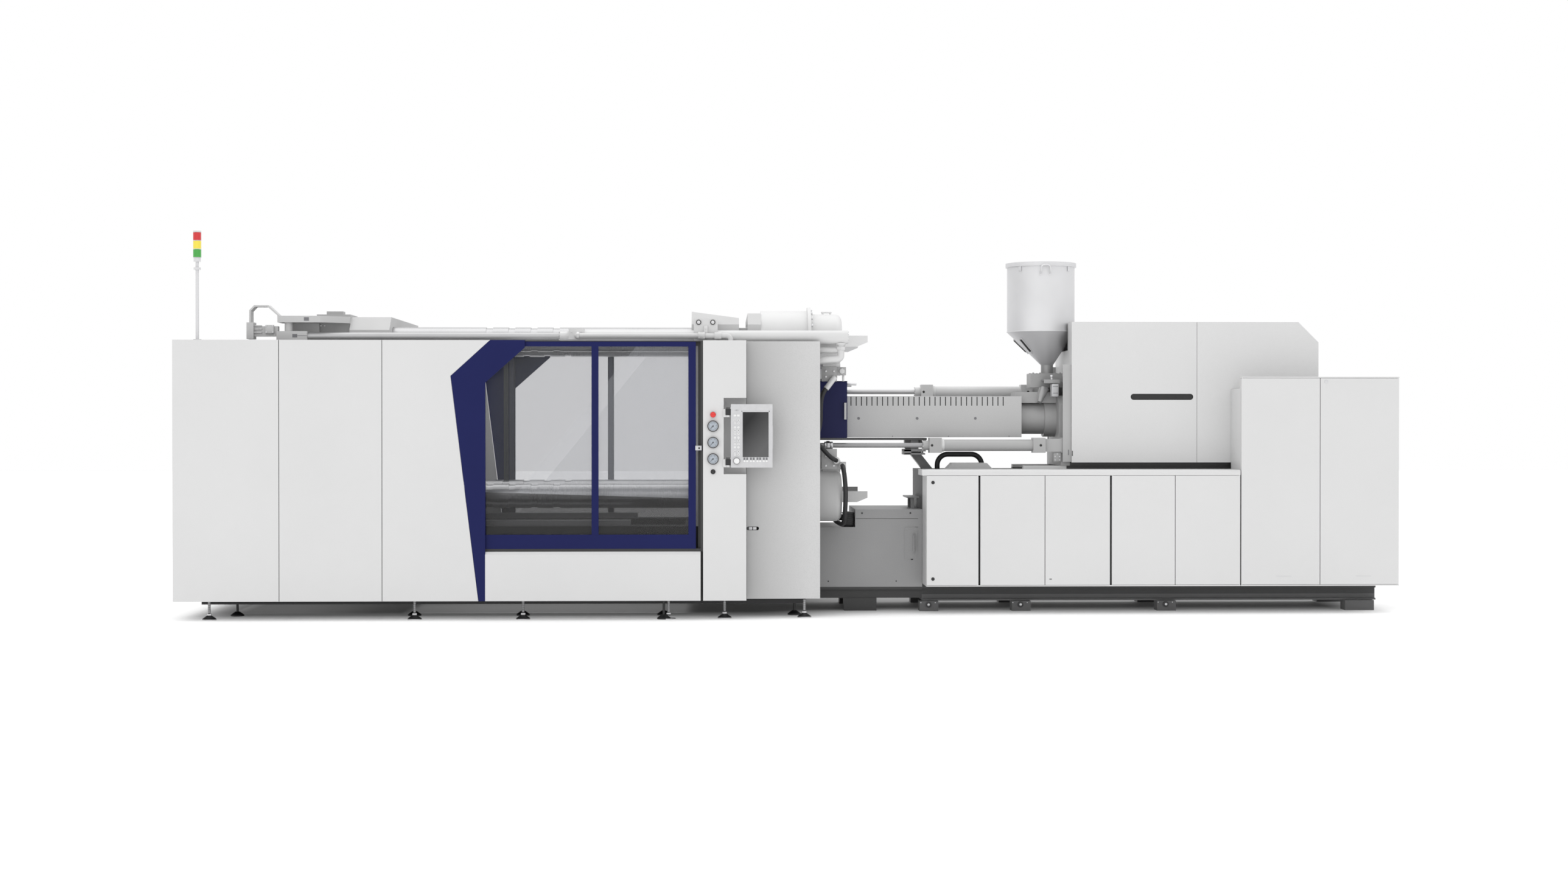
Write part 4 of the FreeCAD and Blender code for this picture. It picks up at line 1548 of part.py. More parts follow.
CASTING_X = ("barrel_right", "carriage_left")
casting_body = turned("x", [
    ("0", "barrel_bore"), ("0", "casting_radius"), ("casting_neck_x - barrel_right", "casting_radius"),
    ("casting_neck_x - barrel_right", "casting_flange"), ("carriage_left - barrel_right", "casting_flange"),
    ("carriage_left - barrel_right", "barrel_bore"),
], "barrel_right", ("0", "axis_height"))
casting_block = block(("barrel_right - 47", "carriage_left"), ("-casting_block_half", "casting_block_half"),
                      ("axis_height + casting_block_low", "axis_height + casting_block_high"))
casting_neck = bar("z", ("axis_height + casting_block_high - 1", "gate_box_low"), ("throat_x", "0"),
                   "neck_radius")
chute = slab("y", [("chute_head - chute_width", "gate_box_low"), ("chute_head", "gate_box_low"),
                   ("chute_foot", "axis_height + casting_radius - 4"),
                   ("chute_foot - 0.6 * chute_width", "axis_height + casting_radius - 4")],
             ("-casting_block_half", "-(casting_block_half + 50)"))
throat = bar("z", ("axis_height + barrel_bore / 2", "gate_box_low + 1"), ("throat_x", "0"), "throat_radius")
node("feed_casting", cut(join(casting_body, casting_block, casting_neck, chute), throat))

# The hood has two halves that meet over the portal.
SEAM = ("hood_seam - cover_seam / 2", "hood_seam + cover_seam / 2")
hood_y = ("-hood_half", "hood_half")
hood_inside = ("-(hood_half - hood_sheet)", "hood_half - hood_sheet")
left_half = block(("hood_left", SEAM[0]), hood_y, ("hood_low", "hood_high"))
left_room = block(("hood_left + hood_sheet", f"{SEAM[0]} + 1"), hood_inside,
                  ("hood_low - 1", "hood_high - hood_sheet"))
left_door = block(("hood_left - 1", "hood_left + hood_sheet + 1"),
                  ("-(carriage_half + 45)", "carriage_half + 45"),
                  ("hood_low - 1", "axis_height + ram_rise + ram_head_half + 20"))
notch = bar("z", ("cone_low + 130", "hood_high + 1"), ("hopper_x", "0"), "hopper_radius + 20")
slot_ends = [bar("y", ("-(hood_half + 1)", "hood_half + 1"), (x, "hood_slot_z"), "hood_slot_half")
             for x in ("hood_slot_left + hood_slot_half", "hood_slot_right - hood_slot_half")]
slot_middle = block(("hood_slot_left + hood_slot_half", "hood_slot_right - hood_slot_half"),
                    ("-(hood_half + 1)", "hood_half + 1"),
                    ("hood_slot_z - hood_slot_half", "hood_slot_z + hood_slot_half"))
hood_a = cut(left_half, left_room, left_door, notch, *slot_ends, slot_middle)
right_half = slab("y", [
    (SEAM[1], "hood_low"), ("hood_right", "hood_low"), ("hood_right", "hood_high - hood_bevel"),
    ("hood_right - hood_bevel", "hood_high"), (SEAM[1], "hood_high"),
], hood_y)
right_room = slab("y", [
    (f"{SEAM[1]} - 1", "hood_low - 1"), ("hood_right - hood_sheet", "hood_low - 1"),
    ("hood_right - hood_sheet", "hood_high - hood_bevel - hood_sheet * 0.4"),
    ("hood_right - hood_bevel - hood_sheet * 0.4", "hood_high - hood_sheet"),
    (f"{SEAM[1]} - 1", "hood_high - hood_sheet"),
], hood_inside)
node("hood", group(hood_a, cut(right_half, right_room)))

ram_tubes = []
ram_rods = []
RAM_HEAD_LEFT = "(ram_left - ram_head)"
for y, z in RAMS:
    gland_left = f"{RAM_HEAD_LEFT} - ram_gland"
    total = "ram_right - ram_left + ram_head + ram_gland"
    inner = "ram_head + ram_gland"
    tube_body = turned("x", [
        ("0", "ram_rod + running_gap"), ("0", "ram_gland_radius"), ("ram_gland", "ram_gland_radius"),
        (f"{inner} - 1", "ram_gland_radius"), (f"{inner} - 1", "ram_radius"), (total, "ram_radius"),
        (total, "0"),
        (f"{total} - 20", "0"), (f"{total} - 20", "ram_bore"), (inner, "ram_bore"),
        (inner, "ram_rod + running_gap"),
    ], gland_left, (y, z))
    head = cut(block((RAM_HEAD_LEFT, "ram_left"), (f"{y} - ram_head_half", f"{y} + ram_head_half"),
                     (f"{z} - ram_head_half", f"{z} + ram_head_half")),
               bar("x", (f"{RAM_HEAD_LEFT} - 1", "ram_left + 1"), (y, z), "ram_gland_radius - 2"))
    end = block(("ram_right", "ram_right + ram_end"), (f"{y} - ram_head_half", f"{y} + ram_head_half"),
                (f"{z} - ram_head_half", f"{z} + ram_head_half"))
    arm = block(("ram_right + ram_end - 1", "carriage_left"),
                (f"{y} - ram_arm_half_y", f"{y} + ram_arm_half_y"),
                (f"{z} - ram_head_half + 10", f"{z} + ram_head_half - 10"))
    ram_tubes.append(join(tube_body, head, end, arm))
    piston_left = "ram_rod_right - ram_piston"
    ram_rods.append(turned("x", [
        ("0", "0"), ("0", "ram_rod"), (f"{piston_left} - ({FIXED_BACK})", "ram_rod"),
        (f"{piston_left} - ({FIXED_BACK})", "ram_bore - running_gap"),
        (f"ram_rod_right - ({FIXED_BACK})", "ram_bore - running_gap"),
        (f"ram_rod_right - ({FIXED_BACK})", "0"),
    ], FIXED_BACK, (y, z)))
node("carriage_cylinders", group(*ram_tubes))
node("carriage_rods", group(*ram_rods))

# --- Screw and the plate that drives it ---------------------------------------------------------------

drive = block(("drive_left", "drive_left + drive_plate"), ("-drive_half", "drive_half"),
              ("axis_height - drive_rise", "axis_height + drive_rise"))
motor = bar("x", ("drive_left + drive_plate - 1", "drive_left + drive_plate + motor_length"),
            ("0", "axis_height"),
            "motor_radius")
drive_tools = [bar("x", ("drive_left - 1", "drive_left + drive_plate + 1"), spot,
                   "column_radius + guide_gap")
               for spot in COLUMNS]
drive_tools.append(bar("x", ("drive_left - 1", "drive_left + drive_plate / 2"), ("0", "axis_height"),
                       "screw_root + running_gap"))
node("injection_plate", cut(join(drive, motor), *drive_tools))
node("screw", turned("x", [
    ("0", "0"), ("screw_tip", "screw_root"), ("screw_tip + 20", "screw_root"),
    ("screw_tip + 20", "screw_radius"),
    ("screw_flight_end - screw_left", "screw_radius"), ("screw_flight_end - screw_left", "screw_root"),
    ("drive_left + drive_plate / 2 - 1 - screw_left", "screw_root"),
    ("drive_left + drive_plate / 2 - 1 - screw_left", "0"),
], "screw_left", ("0", "axis_height")))

# --- Hopper with lid and slide gate ----------------------------------------------------------------------


def funnel(inset):
    """The body of the hopper, or the room inside it, from the neck up to the rim."""
    low_ring = bind(doc.addObject("Part::Circle", "ring"), Radius=f"neck_radius - {inset}")
    place(low_ring, "throat_x", "0", "cone_low")
    high_ring = bind(doc.addObject("Part::Circle", "ring"), Radius=f"hopper_radius - {inset}")
    place(high_ring, "hopper_x", "0", "hopper_low")
    cone_part = doc.addObject("Part::Loft", "cone")
    cone_part.Sections = [low_ring, high_ring]
    cone_part.Solid = True
    cone_part.Ruled = True
    drum = bar("z", ("hopper_low", f"hopper_high + {inset}"), ("hopper_x", "0"), f"hopper_radius - {inset}")
    neck = bar("z", (f"gate_box_high - {inset}", "cone_low"), ("throat_x", "0"), f"neck_radius - {inset}")
    return [cone_part, drum, neck]


SLIDE_Z = ("(gate_box_low + gate_box_high) / 2 - slide_sheet / 2",
           "(gate_box_low + gate_box_high) / 2 + slide_sheet / 2")
box = block(("gate_box_left", "gate_box_right"), ("-gate_box_half", "gate_box_half"),
            ("gate_box_low", "gate_box_high"))
rim = bar("z", ("hopper_high - 10", "hopper_high"), ("hopper_x", "0"), "lid_radius")
HINGE_Y = "lid_radius + lid_hinge_out"
HINGE_Z = "hopper_high + 10"
lugs = [slab("x", [
    ("hopper_radius - 4", "hopper_high - 30"), (f"{HINGE_Y} + 12", "hopper_high - 14"),
    (f"{HINGE_Y} + 12", f"{HINGE_Z} + 10"),
    (f"{HINGE_Y} - 4", f"{HINGE_Z} + 10"), ("lid_radius + 1", f"{HINGE_Z} + 2"),
    ("lid_radius + 1", "hopper_high - 1"),
    ("hopper_radius - 4", "hopper_high - 1"),
], (f"hopper_x {sign} 34", f"hopper_x {sign} 46")) for sign in "-+"]
hopper_tools = funnel("hopper_wall")
hopper_tools.append(bar("z", ("gate_box_low - 1", "gate_box_high + 1"), ("throat_x", "0"), "throat_radius"))
hopper_tools.append(block(("throat_x - slide_half_x - slide_gap", "throat_x + slide_half_x + slide_gap"),
                          ("-(gate_box_half + 1)", "slide_inset + 1"),
                          (f"{SLIDE_Z[0]} - slide_gap", f"{SLIDE_Z[1]} + slide_gap")))
hopper_tools.append(bar("x", ("hopper_x - 60", "hopper_x + 60"), (HINGE_Y, HINGE_Z),
                        "lid_pin + running_gap"))
node("hopper", cut(join(box, rim, *lugs, *funnel("0")), *hopper_tools))

slide_plate = block(("throat_x - slide_half_x", "throat_x + slide_half_x"),
                    ("-slide_inset", "-(slide_inset + slide_length)"),
                    SLIDE_Z)
slide_grip = block(("throat_x - slide_half_x", "throat_x + slide_half_x"), ("-(slide_inset + slide_length)",
                   "-(slide_inset + slide_length + 10)"), (f"{SLIDE_Z[0]} - slide_handle", SLIDE_Z[1]))
node("slide_gate", join(slide_plate, slide_grip))

LID_Z = ("hopper_high + lid_gap", "hopper_high + lid_rim")
lid = cut(bar("z", LID_Z, ("hopper_x", "0"), "lid_radius"),
          bar("z", (f"{LID_Z[0]} - 1", f"{LID_Z[1]} - lid_sheet"), ("hopper_x", "0"),
              "lid_radius - lid_sheet"))
knuckle = block(("hopper_x - 30", "hopper_x + 30"), ("lid_radius - 3", HINGE_Y),
                (f"{HINGE_Z} - 8", f"{HINGE_Z} + 8"))
knuckle_end = bar("x", ("hopper_x - 30", "hopper_x + 30"), (HINGE_Y, HINGE_Z), "lid_pin + 2")
hinge_pin = bar("x", ("hopper_x - 46", "hopper_x + 46"), (HINGE_Y, HINGE_Z), "lid_pin")
node("hopper_lid", join(lid, knuckle, knuckle_end, hinge_pin))

# --- Purge guard and drip tray ---------------------------------------------------------------------------

PURGE_LOW = "axis_height - purge_low"
PURGE_TOP = "axis_height + purge_high"
DOOR_TOP = f"{PURGE_TOP} - purge_sheet"
purge_parts = [
    block((FIXED_BACK, "purge_right"), ("-purge_half", "purge_half"), (DOOR_TOP, PURGE_TOP)),
    block((FIXED_BACK, "purge_right"), ("purge_half", "purge_half - purge_sheet"), (PURGE_LOW, PURGE_TOP)),
    block((FIXED_BACK, "purge_left - 3"), ("-purge_half", "-(purge_half - purge_sheet)"),
          (PURGE_LOW, PURGE_TOP)),
    block((FIXED_BACK, "purge_right"), ("-purge_half", "-(purge_half - purge_door)"),
          (f"{PURGE_LOW} - purge_sheet", PURGE_LOW)),
    block(("purge_right - purge_sheet", "purge_right"), ("-(purge_half - purge_door - 3)", "purge_half"),
          (f"{PURGE_LOW} - purge_sheet", PURGE_TOP)),
    # Drip tray under the nozzle and the barrel, on its strut
    block((FIXED_BACK, "tray_right"), ("-tray_half", "tray_half"),
          (f"{PURGE_LOW} - tray_sheet", PURGE_LOW)),
    block(("strut_head_x - strut_width", "strut_head_x + strut_width"), ("-strut_half", "strut_half"),
          (f"{PURGE_LOW} - tray_sheet - strut_head", f"{PURGE_LOW} - tray_sheet")),
    slab("y", [
        ("strut_foot_x - strut_width", "base_top"), ("strut_foot_x", "base_top"),
        ("strut_head_x", f"{PURGE_LOW} - tray_sheet - strut_head"),
        ("strut_head_x - strut_width", f"{PURGE_LOW} - tray_sheet - strut_head"),
    ], ("-strut_half", "strut_half")),
]
PURGE_HINGE = ("purge_left + 6", "-(purge_half - 6)")
purge_tools = [
    block(("purge_right - purge_sheet - 1", "purge_right + 1"),
          ("-(barrel_radius + 40)", "barrel_radius + 40"),
          (PURGE_LOW, "axis_height + barrel_radius + 40")),
    block((f"{FIXED_BACK} + 1", "tray_right - 5"), ("-(tray_half - 5)", "tray_half - 5"),
          (f"{PURGE_LOW} - tray_sheet + 4", f"{PURGE_LOW} + 0.5")),
    bar("x", ("purge_right - purge_sheet - 1", "purge_right + 1"), RAMS[1], "ram_rod + 8"),
    bar("z", (f"{PURGE_LOW} - purge_sheet - 1", f"{PURGE_TOP} + 1"), PURGE_HINGE, "door_pin + running_gap"),
]
node("purge_shell", cut(join(*purge_parts), *purge_tools))

purge_body = cut(
    block(("purge_left", "purge_right - 1"), ("-purge_half", "-(purge_half - purge_door)"),
          (f"{PURGE_LOW} + 3", f"{DOOR_TOP} - 3")),
    block(("purge_left + 12", "purge_right - 4"), ("-(purge_half - 3)", "-(purge_half - purge_door - 1)"),
          (f"{PURGE_LOW} + 6", f"{DOOR_TOP} - 6")))
handle = block(("purge_handle_x - purge_handle_half", "purge_handle_x + purge_handle_half"),
               ("-(purge_half - 1)",
               "-(purge_half + purge_handle_out)"),
               ("axis_height - purge_handle_low", "axis_height + purge_handle_high"))
handle_room = block(("purge_handle_x - purge_handle_half - 1", "purge_handle_x + purge_handle_half + 1"),
                    ("-purge_half",
                    "-(purge_half + purge_handle_out - 12)"), ("axis_height - purge_handle_low + 20",
                    "axis_height + purge_handle_high - 20"))
purge_pins = [bar("z", (f"{PURGE_LOW} - purge_sheet", f"{PURGE_LOW} + 10"), PURGE_HINGE, "door_pin"),
              bar("z", (f"{DOOR_TOP} - 10", PURGE_TOP), PURGE_HINGE, "door_pin")]
node("purge_door", join(purge_body, cut(handle, handle_room), *purge_pins))

doc.recompute()
bad = [item.Name for item in doc.Objects if "Invalid" in item.State or "Error" in item.State]
if bad:
    raise SystemExit(f"these objects don't compute: {bad}")
os.makedirs("parts", exist_ok=True)
for name, solid in NODES.items():
    if solid.Shape.isNull() or not solid.Shape.isValid() or not solid.Shape.Solids:
        raise SystemExit(f"{name} has no valid solid")
    solid.Shape.exportStep(f"parts/{name}.step")
print(len(NODES), "pieces")
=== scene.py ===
# %% [markdown]
# # Dressing a large injection moulding machine
# The solids of this machine come ready made from its CAD source and stay fixed: platens, tie bars,
# covers, cabinets, hopper and hood. What they lack is everything that a person sees from close by, such
# as powder coat, brushed steel, bolt heads, dials, hinges, keys and hoses. This lesson adds them step by
# step. Every length is in metres, X runs along the machine, the operator stands on the -Y side, and Z is
# up.

# %% Load the fixed frame
import math
import bmesh
import bpy
from mathutils import Matrix, Vector


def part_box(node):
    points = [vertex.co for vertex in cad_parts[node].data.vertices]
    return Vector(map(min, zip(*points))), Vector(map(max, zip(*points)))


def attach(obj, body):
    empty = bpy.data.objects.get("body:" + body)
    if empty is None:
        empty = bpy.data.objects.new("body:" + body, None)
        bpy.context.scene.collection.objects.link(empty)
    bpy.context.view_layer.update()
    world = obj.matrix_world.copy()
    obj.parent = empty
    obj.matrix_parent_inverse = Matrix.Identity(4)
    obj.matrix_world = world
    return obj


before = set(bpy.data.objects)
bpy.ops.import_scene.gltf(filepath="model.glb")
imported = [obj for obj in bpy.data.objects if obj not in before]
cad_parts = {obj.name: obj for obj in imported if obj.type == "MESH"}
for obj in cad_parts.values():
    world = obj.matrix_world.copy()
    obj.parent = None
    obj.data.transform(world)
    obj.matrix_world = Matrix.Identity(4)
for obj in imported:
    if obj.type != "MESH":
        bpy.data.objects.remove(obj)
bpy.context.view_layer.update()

# %% [markdown]
# ## Shader maths as sums
# A material is a web of nodes. Written out by hand, the sum of two masks takes five lines, so a small
# class wraps one output socket and lets Python's own signs build the Math nodes: `1 - mask * 0.4` adds
# two of them. A second class owns the material and makes any other node from one call, with its settings
# given first.

# %% Wire: one socket that can be added, multiplied and compared
class Wire:
    def __init__(self, finish, socket):
        self.finish = finish
        self.socket = socket

    def maths(self, operation, other=None, flip=False, clamp=False):
        pair = (other, self) if flip else (self, other)
        inputs = {number: value for number, value in enumerate(pair) if value is not None}
        return self.finish.node("ShaderNodeMath", {"operation": operation, "use_clamp": clamp}, inputs)

    def __add__(self, other):
        return self.maths("ADD", other)

    def __radd__(self, other):
        return self.maths("ADD", other)

    def __sub__(self, other):
        return self.maths("SUBTRACT", other)

    def __rsub__(self, other):
        return self.maths("SUBTRACT", other, flip=True)

    def __mul__(self, other):
        return self.maths("MULTIPLY", other)

    def __rmul__(self, other):
        return self.maths("MULTIPLY", other)

    def __truediv__(self, other):
        return self.maths("DIVIDE", other)

    def __gt__(self, other):
        return self.maths("GREATER_THAN", other)

    def __lt__(self, other):
        return self.maths("LESS_THAN", other)

    def clamped(self):
        return self.maths("ADD", 0.0, clamp=True)


# %% Finish: one material and its nodes
class Finish:
    def __init__(self, name, **numbers):
        self.material = bpy.data.materials.new(name)
        self.material.use_nodes = True
        self.tree = self.material.node_tree
        self.shader = self.tree.nodes["Principled BSDF"]
        self.place = None
        for socket, value in numbers.items():
            self.shader.inputs[socket.replace("_", " ")].default_value = value

    def node(self, kind, settings=None, inputs=None, output=0):
        made = self.tree.nodes.new(kind)
        for key, value in (settings or {}).items():
            setattr(made, key, value)
        for socket, value in (inputs or {}).items():
            self.connect(made.inputs[socket], value)
        return Wire(self, made.outputs[output])

    def connect(self, socket, value):
        if isinstance(value, Wire):
            self.tree.links.new(value.socket, socket)
        elif isinstance(value, tuple) and len(value) == 3 and socket.type == "RGBA":
            socket.default_value = (*value, 1.0)
        else:
            socket.default_value = value

    def feed(self, socket, value):
        self.connect(self.shader.inputs[socket], value)

    def spot(self):
        if self.place is None:
            self.place = self.node("ShaderNodeTexCoord", output=3)
        return self.place

    def along(self, axis):
        parts = self.node("ShaderNodeSeparateXYZ", None, {0: self.spot()})
        return Wire(self, parts.socket.node.outputs["XYZ".index(axis)])

    def stretched(self, scale):
        return self.node("ShaderNodeMapping", None, {"Vector": self.spot(), "Scale": scale})

    def noise(self, scale, detail=2.0, rough=0.5, at=None):
        inputs = {"Vector": at or self.spot(), "Scale": scale, "Detail": detail, "Roughness": rough}
        return self.node("ShaderNodeTexNoise", None, inputs)

    def mixed(self, factor, low, high):
        made = self.tree.nodes.new("ShaderNodeMix")
        made.data_type = "RGBA"
        self.connect(made.inputs[0], factor)
        self.connect(made.inputs[6], low)
        self.connect(made.inputs[7], high)
        return Wire(self, made.outputs[2])

    def relief(self, height, strength, distance):
        inputs = {"Height": height, "Strength": strength, "Distance": distance}
        self.feed("Normal", self.node("ShaderNodeBump", None, inputs))


print("node kit ready")

# %% [markdown]
# ## Powder coat on sheet steel
# Most of the machine is folded sheet steel with a fine textured powder coat in pale grey. Up close the
# coat has the skin of an orange, and a few darker grains show in it. A photograph or an image texture
# could carry this, but the grain would then have one size for all panels, so two noise textures on Object
# coordinates make it: a fine one lifts the surface, and a coarse one shifts the shade a little from place
# to place.

# %% Greys
def grey(level, cool=0.0):
    """A grey paint colour, with a little more blue where it is cool."""
    return (level, level, level + cool)


DARK_GREY = grey(0.046, 0.001)
RUBBER_BLACK = grey(0.014, 0.001)
COVER_GREY = grey(0.635)
GUARD_BLUE = (0.011, 0.013, 0.066)
print("shared colours:", DARK_GREY, RUBBER_BLACK, COVER_GREY, GUARD_BLUE)

# %% [markdown]
# ## Two tones on one solid
# Some solids of the CAD source carry two paints, such as a blue door with a pale handle, or a pipe that
# ends in a black hose. A second object with its own skin would lie inside the first and flicker, so the
# paint changes where a coordinate passes a limit. Other limits stand for light: the lower cylinders and
# rods, the hopper's cone, the lower bands of the bases and the carriage inside the hood get less light in
# the studio than this scene gives them, so a darker tone is painted there. It belongs to that picture and
# not to the surface.

# %% Limits between two tones
# The first limit ends the painted shade of the bases: below it their lower bands are darkened.
SHADED_BAND_TOP = 0.2195  # the bases are dark below it
FLANGE_TOP = 0.148  # the injection base's lowest band is a little brighter
RAIL_LEVEL = 1.30  # the injection base is pale above it
BASE_LEFT = 1.1345  # the injection base's left end is pale
HOOD_LEFT = 2.50  # the injection base is dark right of it
FRAME_LEFT = 2.53  # the carriage's frame lies inside the hood right of it
TRAY_TOP = 1.5835  # the purge shell is grey below it
DOOR_SKIN = 0.4515  # the purge door's handle stands out past its blue skin
# Above the second of the sills' limits their top is painted lighter: a painted highlight on the top bevel.
SILL_FACE, SILL_TOP = 1.3965, 0.5715  # the sills are dark behind the first and brightest above the second
LOWER_CLAMP, LOWER_CARRIAGE = 1.55, 1.75  # between the lower and the upper cylinders
HOSE_START = 1.2  # the hydraulic lines are black hose right of it
CONE_LOW, CONE_HIGH = 2.268, 2.577  # the lower and the upper end of the hopper's cone
HOUSING_LEFT = -0.606  # the panel is dark left of it, where its swivels are


def zoned(finish, tone, zones):
    """Repaints where a coordinate is under (<) or over (>) a limit; |Y| counts from the middle."""
    for test, limit, other in zones:
        place = finish.along(test.strip("<>|"))
        if "|" in test:
            place = place.maths("ABSOLUTE")
        inside = place > limit if test.startswith(">") else place < limit
        tone = finish.mixed(inside, tone, other)
    return tone


print("limits ready, such as the cone from", CONE_LOW, "to", CONE_HIGH)

# %% A powder coat for any paint colour
def powder_coat(name, colour, shade=0.93, grain=0.0012, speckle=0.0, rough=0.42, lift=0.25, sheen=0.5,
                zones=(), painted_light_ramp=None):
    coat = Finish(name, Roughness=rough, IOR=1.5, Specular_IOR_Level=sheen)
    fine = coat.noise(1.0 / grain, 2.0, 0.6)
    broad = coat.noise(1.3, 3.0, 0.55)
    darker = tuple(channel * shade for channel in colour)
    tone = coat.mixed((broad * 1.6 - 0.3).clamped(), darker, colour)
    if speckle:
        grains = (coat.noise(170.0, 3.0, 0.75) - 0.5) * 3.2
        tone = coat.mixed((grains * speckle).clamped(), tone, tuple(channel * 0.55 for channel in colour))
    # The ramp paints light: left of its start the coat has the darker first tone, which turns into the coat's
    # own tone over the width, so a cover gets lighter towards +X.
    if painted_light_ramp:
        start, width, first = painted_light_ramp
        tone = coat.mixed(((coat.along("X") - start) * (1.0 / width)).clamped(), first, tone)
    coat.feed("Base Color", zoned(coat, tone, zones))
    coat.feed("Roughness", rough - 0.05 + fine * 0.1)
    coat.relief(fine, lift, grain * 0.25)
    return coat.material


panel_coat = powder_coat("powder_coat_pale_grey", COVER_GREY, 0.965, speckle=0.14)
# The service covers get a painted light ramp: darker at their left, lighter to the right.
service_coat = powder_coat("powder_coat_service_grey", grey(0.57), 0.92, speckle=0.6,
                           painted_light_ramp=(-0.48, 0.58, grey(0.41)))
guard_coat = powder_coat("powder_coat_guard_grey", grey(0.50), 0.90, speckle=0.35)
base_coat = powder_coat("powder_coat_base_grey", grey(0.33, 0.002), 0.88, speckle=0.5, sheen=0.35,
                        zones=[("<Z", SHADED_BAND_TOP, grey(0.05))])
blue_coat = powder_coat("powder_coat_deep_blue", (0.0125, 0.016, 0.086), 0.86, rough=0.36, sheen=0.10)
guard_blue_coat = powder_coat("powder_coat_guard_blue", GUARD_BLUE, 0.86, rough=0.36, sheen=0.14,
                              zones=[("<Z", TRAY_TOP, grey(0.19))])
purge_door_coat = powder_coat("powder_coat_purge_door", grey(0.56), 0.9, sheen=0.2,
                              zones=[("<|Y|", DOOR_SKIN, GUARD_BLUE)])
# The sills' upper bevel gets a painted highlight, a lighter grey above SILL_TOP.
sill_coat = powder_coat("powder_coat_sill", COVER_GREY, 0.965, speckle=0.14,
                        zones=[("<|Y|", SILL_FACE, grey(0.085, 0.002)), (">Z", SILL_TOP, grey(0.66))])
rear_gate_coat = powder_coat("powder_coat_rear_gate", (0.075, 0.077, 0.10), 0.9)
dark_coat = powder_coat("powder_coat_dark_grey", DARK_GREY, 0.8, grain=0.002, rough=0.55)
injection_base_coat = powder_coat("powder_coat_injection_base", DARK_GREY, 0.8, grain=0.002, rough=0.55,
                                  zones=[("<X", BASE_LEFT, grey(0.50)), (">Z", RAIL_LEVEL, grey(0.72)),
                                         (">X", HOOD_LEFT, DARK_GREY), ("<Z", SHADED_BAND_TOP, DARK_GREY),
                                         ("<Z", FLANGE_TOP, grey(0.105, 0.001))])
print("powder coats ready")

# %% [markdown]
# ## Castings, machined steel and chrome
# The platens and cylinder blocks are iron castings under satin paint, so their skin is a little lumpy.
# Guide rods and tie bars are ground and hard chromed, with hair lines round the bar. A clean bar is
# nearly a mirror, but this scene has only white light around the bars for a mirror to show, so the chrome
# is duller here. The lines come from a noise that is squeezed along X, so a bar shows rings, and a plate
# shows brushing in one direction.

# %% Painted castings
def casting_paint(name, colour, lump=0.02, rough=0.5, zones=()):
    paint = Finish(name, Roughness=rough)
    sand = paint.noise(1.0 / lump, 4.0, 0.6)
    grit = paint.noise(420.0, 2.0, 0.6)
    broad = paint.noise(2.1, 2.0, 0.5)
    tone = paint.mixed((broad * 1.5 - 0.25).clamped(), tuple(channel * 0.86 for channel in colour), colour)
    paint.feed("Base Color", zoned(paint, tone, zones))
    paint.feed("Roughness", rough - 0.08 + grit * 0.16)
    paint.relief(sand * 0.7 + grit * 0.3, 0.35, 0.0014)
    return paint.material


casting_grey = casting_paint("casting_paint_grey", grey(0.43))
carriage_paint = casting_paint("carriage_paint", grey(0.43), zones=[(">X", FRAME_LEFT, grey(0.06))])
cylinder_grey = casting_paint("cylinder_paint_light_grey", grey(0.68), lump=0.05, rough=0.4)
clamp_cylinder_paint = casting_paint("clamp_cylinder_paint", grey(0.68), lump=0.05, rough=0.4,
                                     zones=[("<Z", LOWER_CLAMP, grey(0.42))])
carriage_cylinder_paint = casting_paint("carriage_cylinder_paint", grey(0.60), lump=0.05, rough=0.45,
                                        zones=[("<Z", LOWER_CARRIAGE, grey(0.40))])
yoke_paint = casting_paint("platen_paint_grey", grey(0.56), lump=0.03)
pipe_paint = casting_paint("pipe_paint_and_hose", grey(0.62), lump=0.05, rough=0.4,
                           zones=[(">X", HOSE_START, RUBBER_BLACK)])
machine_bed_paint = casting_paint("machine_bed_paint", grey(0.028, 0.001), lump=0.03)
print("casting paints ready")

# %% Bare metals with hair lines
def bare_metal(name, colour, rough, squeeze, lines=0.12, lift=0.15, share=1.0, zones=()):
    metal = Finish(name, Metallic=share, Roughness=rough)
    hair = metal.noise(1.0, 3.0, 0.7, metal.stretched(squeeze))
    smear = metal.noise(3.0, 2.0, 0.5)
    tone = metal.mixed((smear * 1.4 - 0.2).clamped(), tuple(channel * 0.88 for channel in colour), colour)
    metal.feed("Base Color", zoned(metal, tone, zones))
    metal.feed("Roughness", rough - lines / 2 + hair * lines + smear * 0.05)
    metal.relief(hair, lift, 0.0002)
    return metal.material


chrome = bare_metal("hard_chrome", grey(0.47, 0.005), 0.26, (900.0, 4.0, 4.0), 0.10, 0.06, share=0.8)
ground_steel = bare_metal("ground_steel", grey(0.56, 0.01), 0.3, (1100.0, 14.0, 14.0), 0.2)
rod_steel = bare_metal("dull_rod_steel", grey(0.52, 0.005), 0.45, (900.0, 9.0, 9.0), 0.16, share=0.6,
                       zones=[("<Z", LOWER_CARRIAGE, grey(0.34, 0.005))])
turned_steel = bare_metal("turned_steel", grey(0.50, 0.01), 0.34, (14.0, 14.0, 900.0), 0.2)
brushed_stainless = bare_metal("brushed_stainless", grey(0.70, 0.01), 0.46, (6.0, 6.0, 700.0), 0.16,
                               share=0.55, zones=[("<Z", CONE_HIGH, grey(0.54, 0.01)),
                                                  ("<Z", CONE_LOW, grey(0.34))])
zinc = bare_metal("zinc_plated_steel", grey(0.66, 0.01), 0.36, (90.0, 90.0, 90.0), 0.14)
print("bare metals ready")

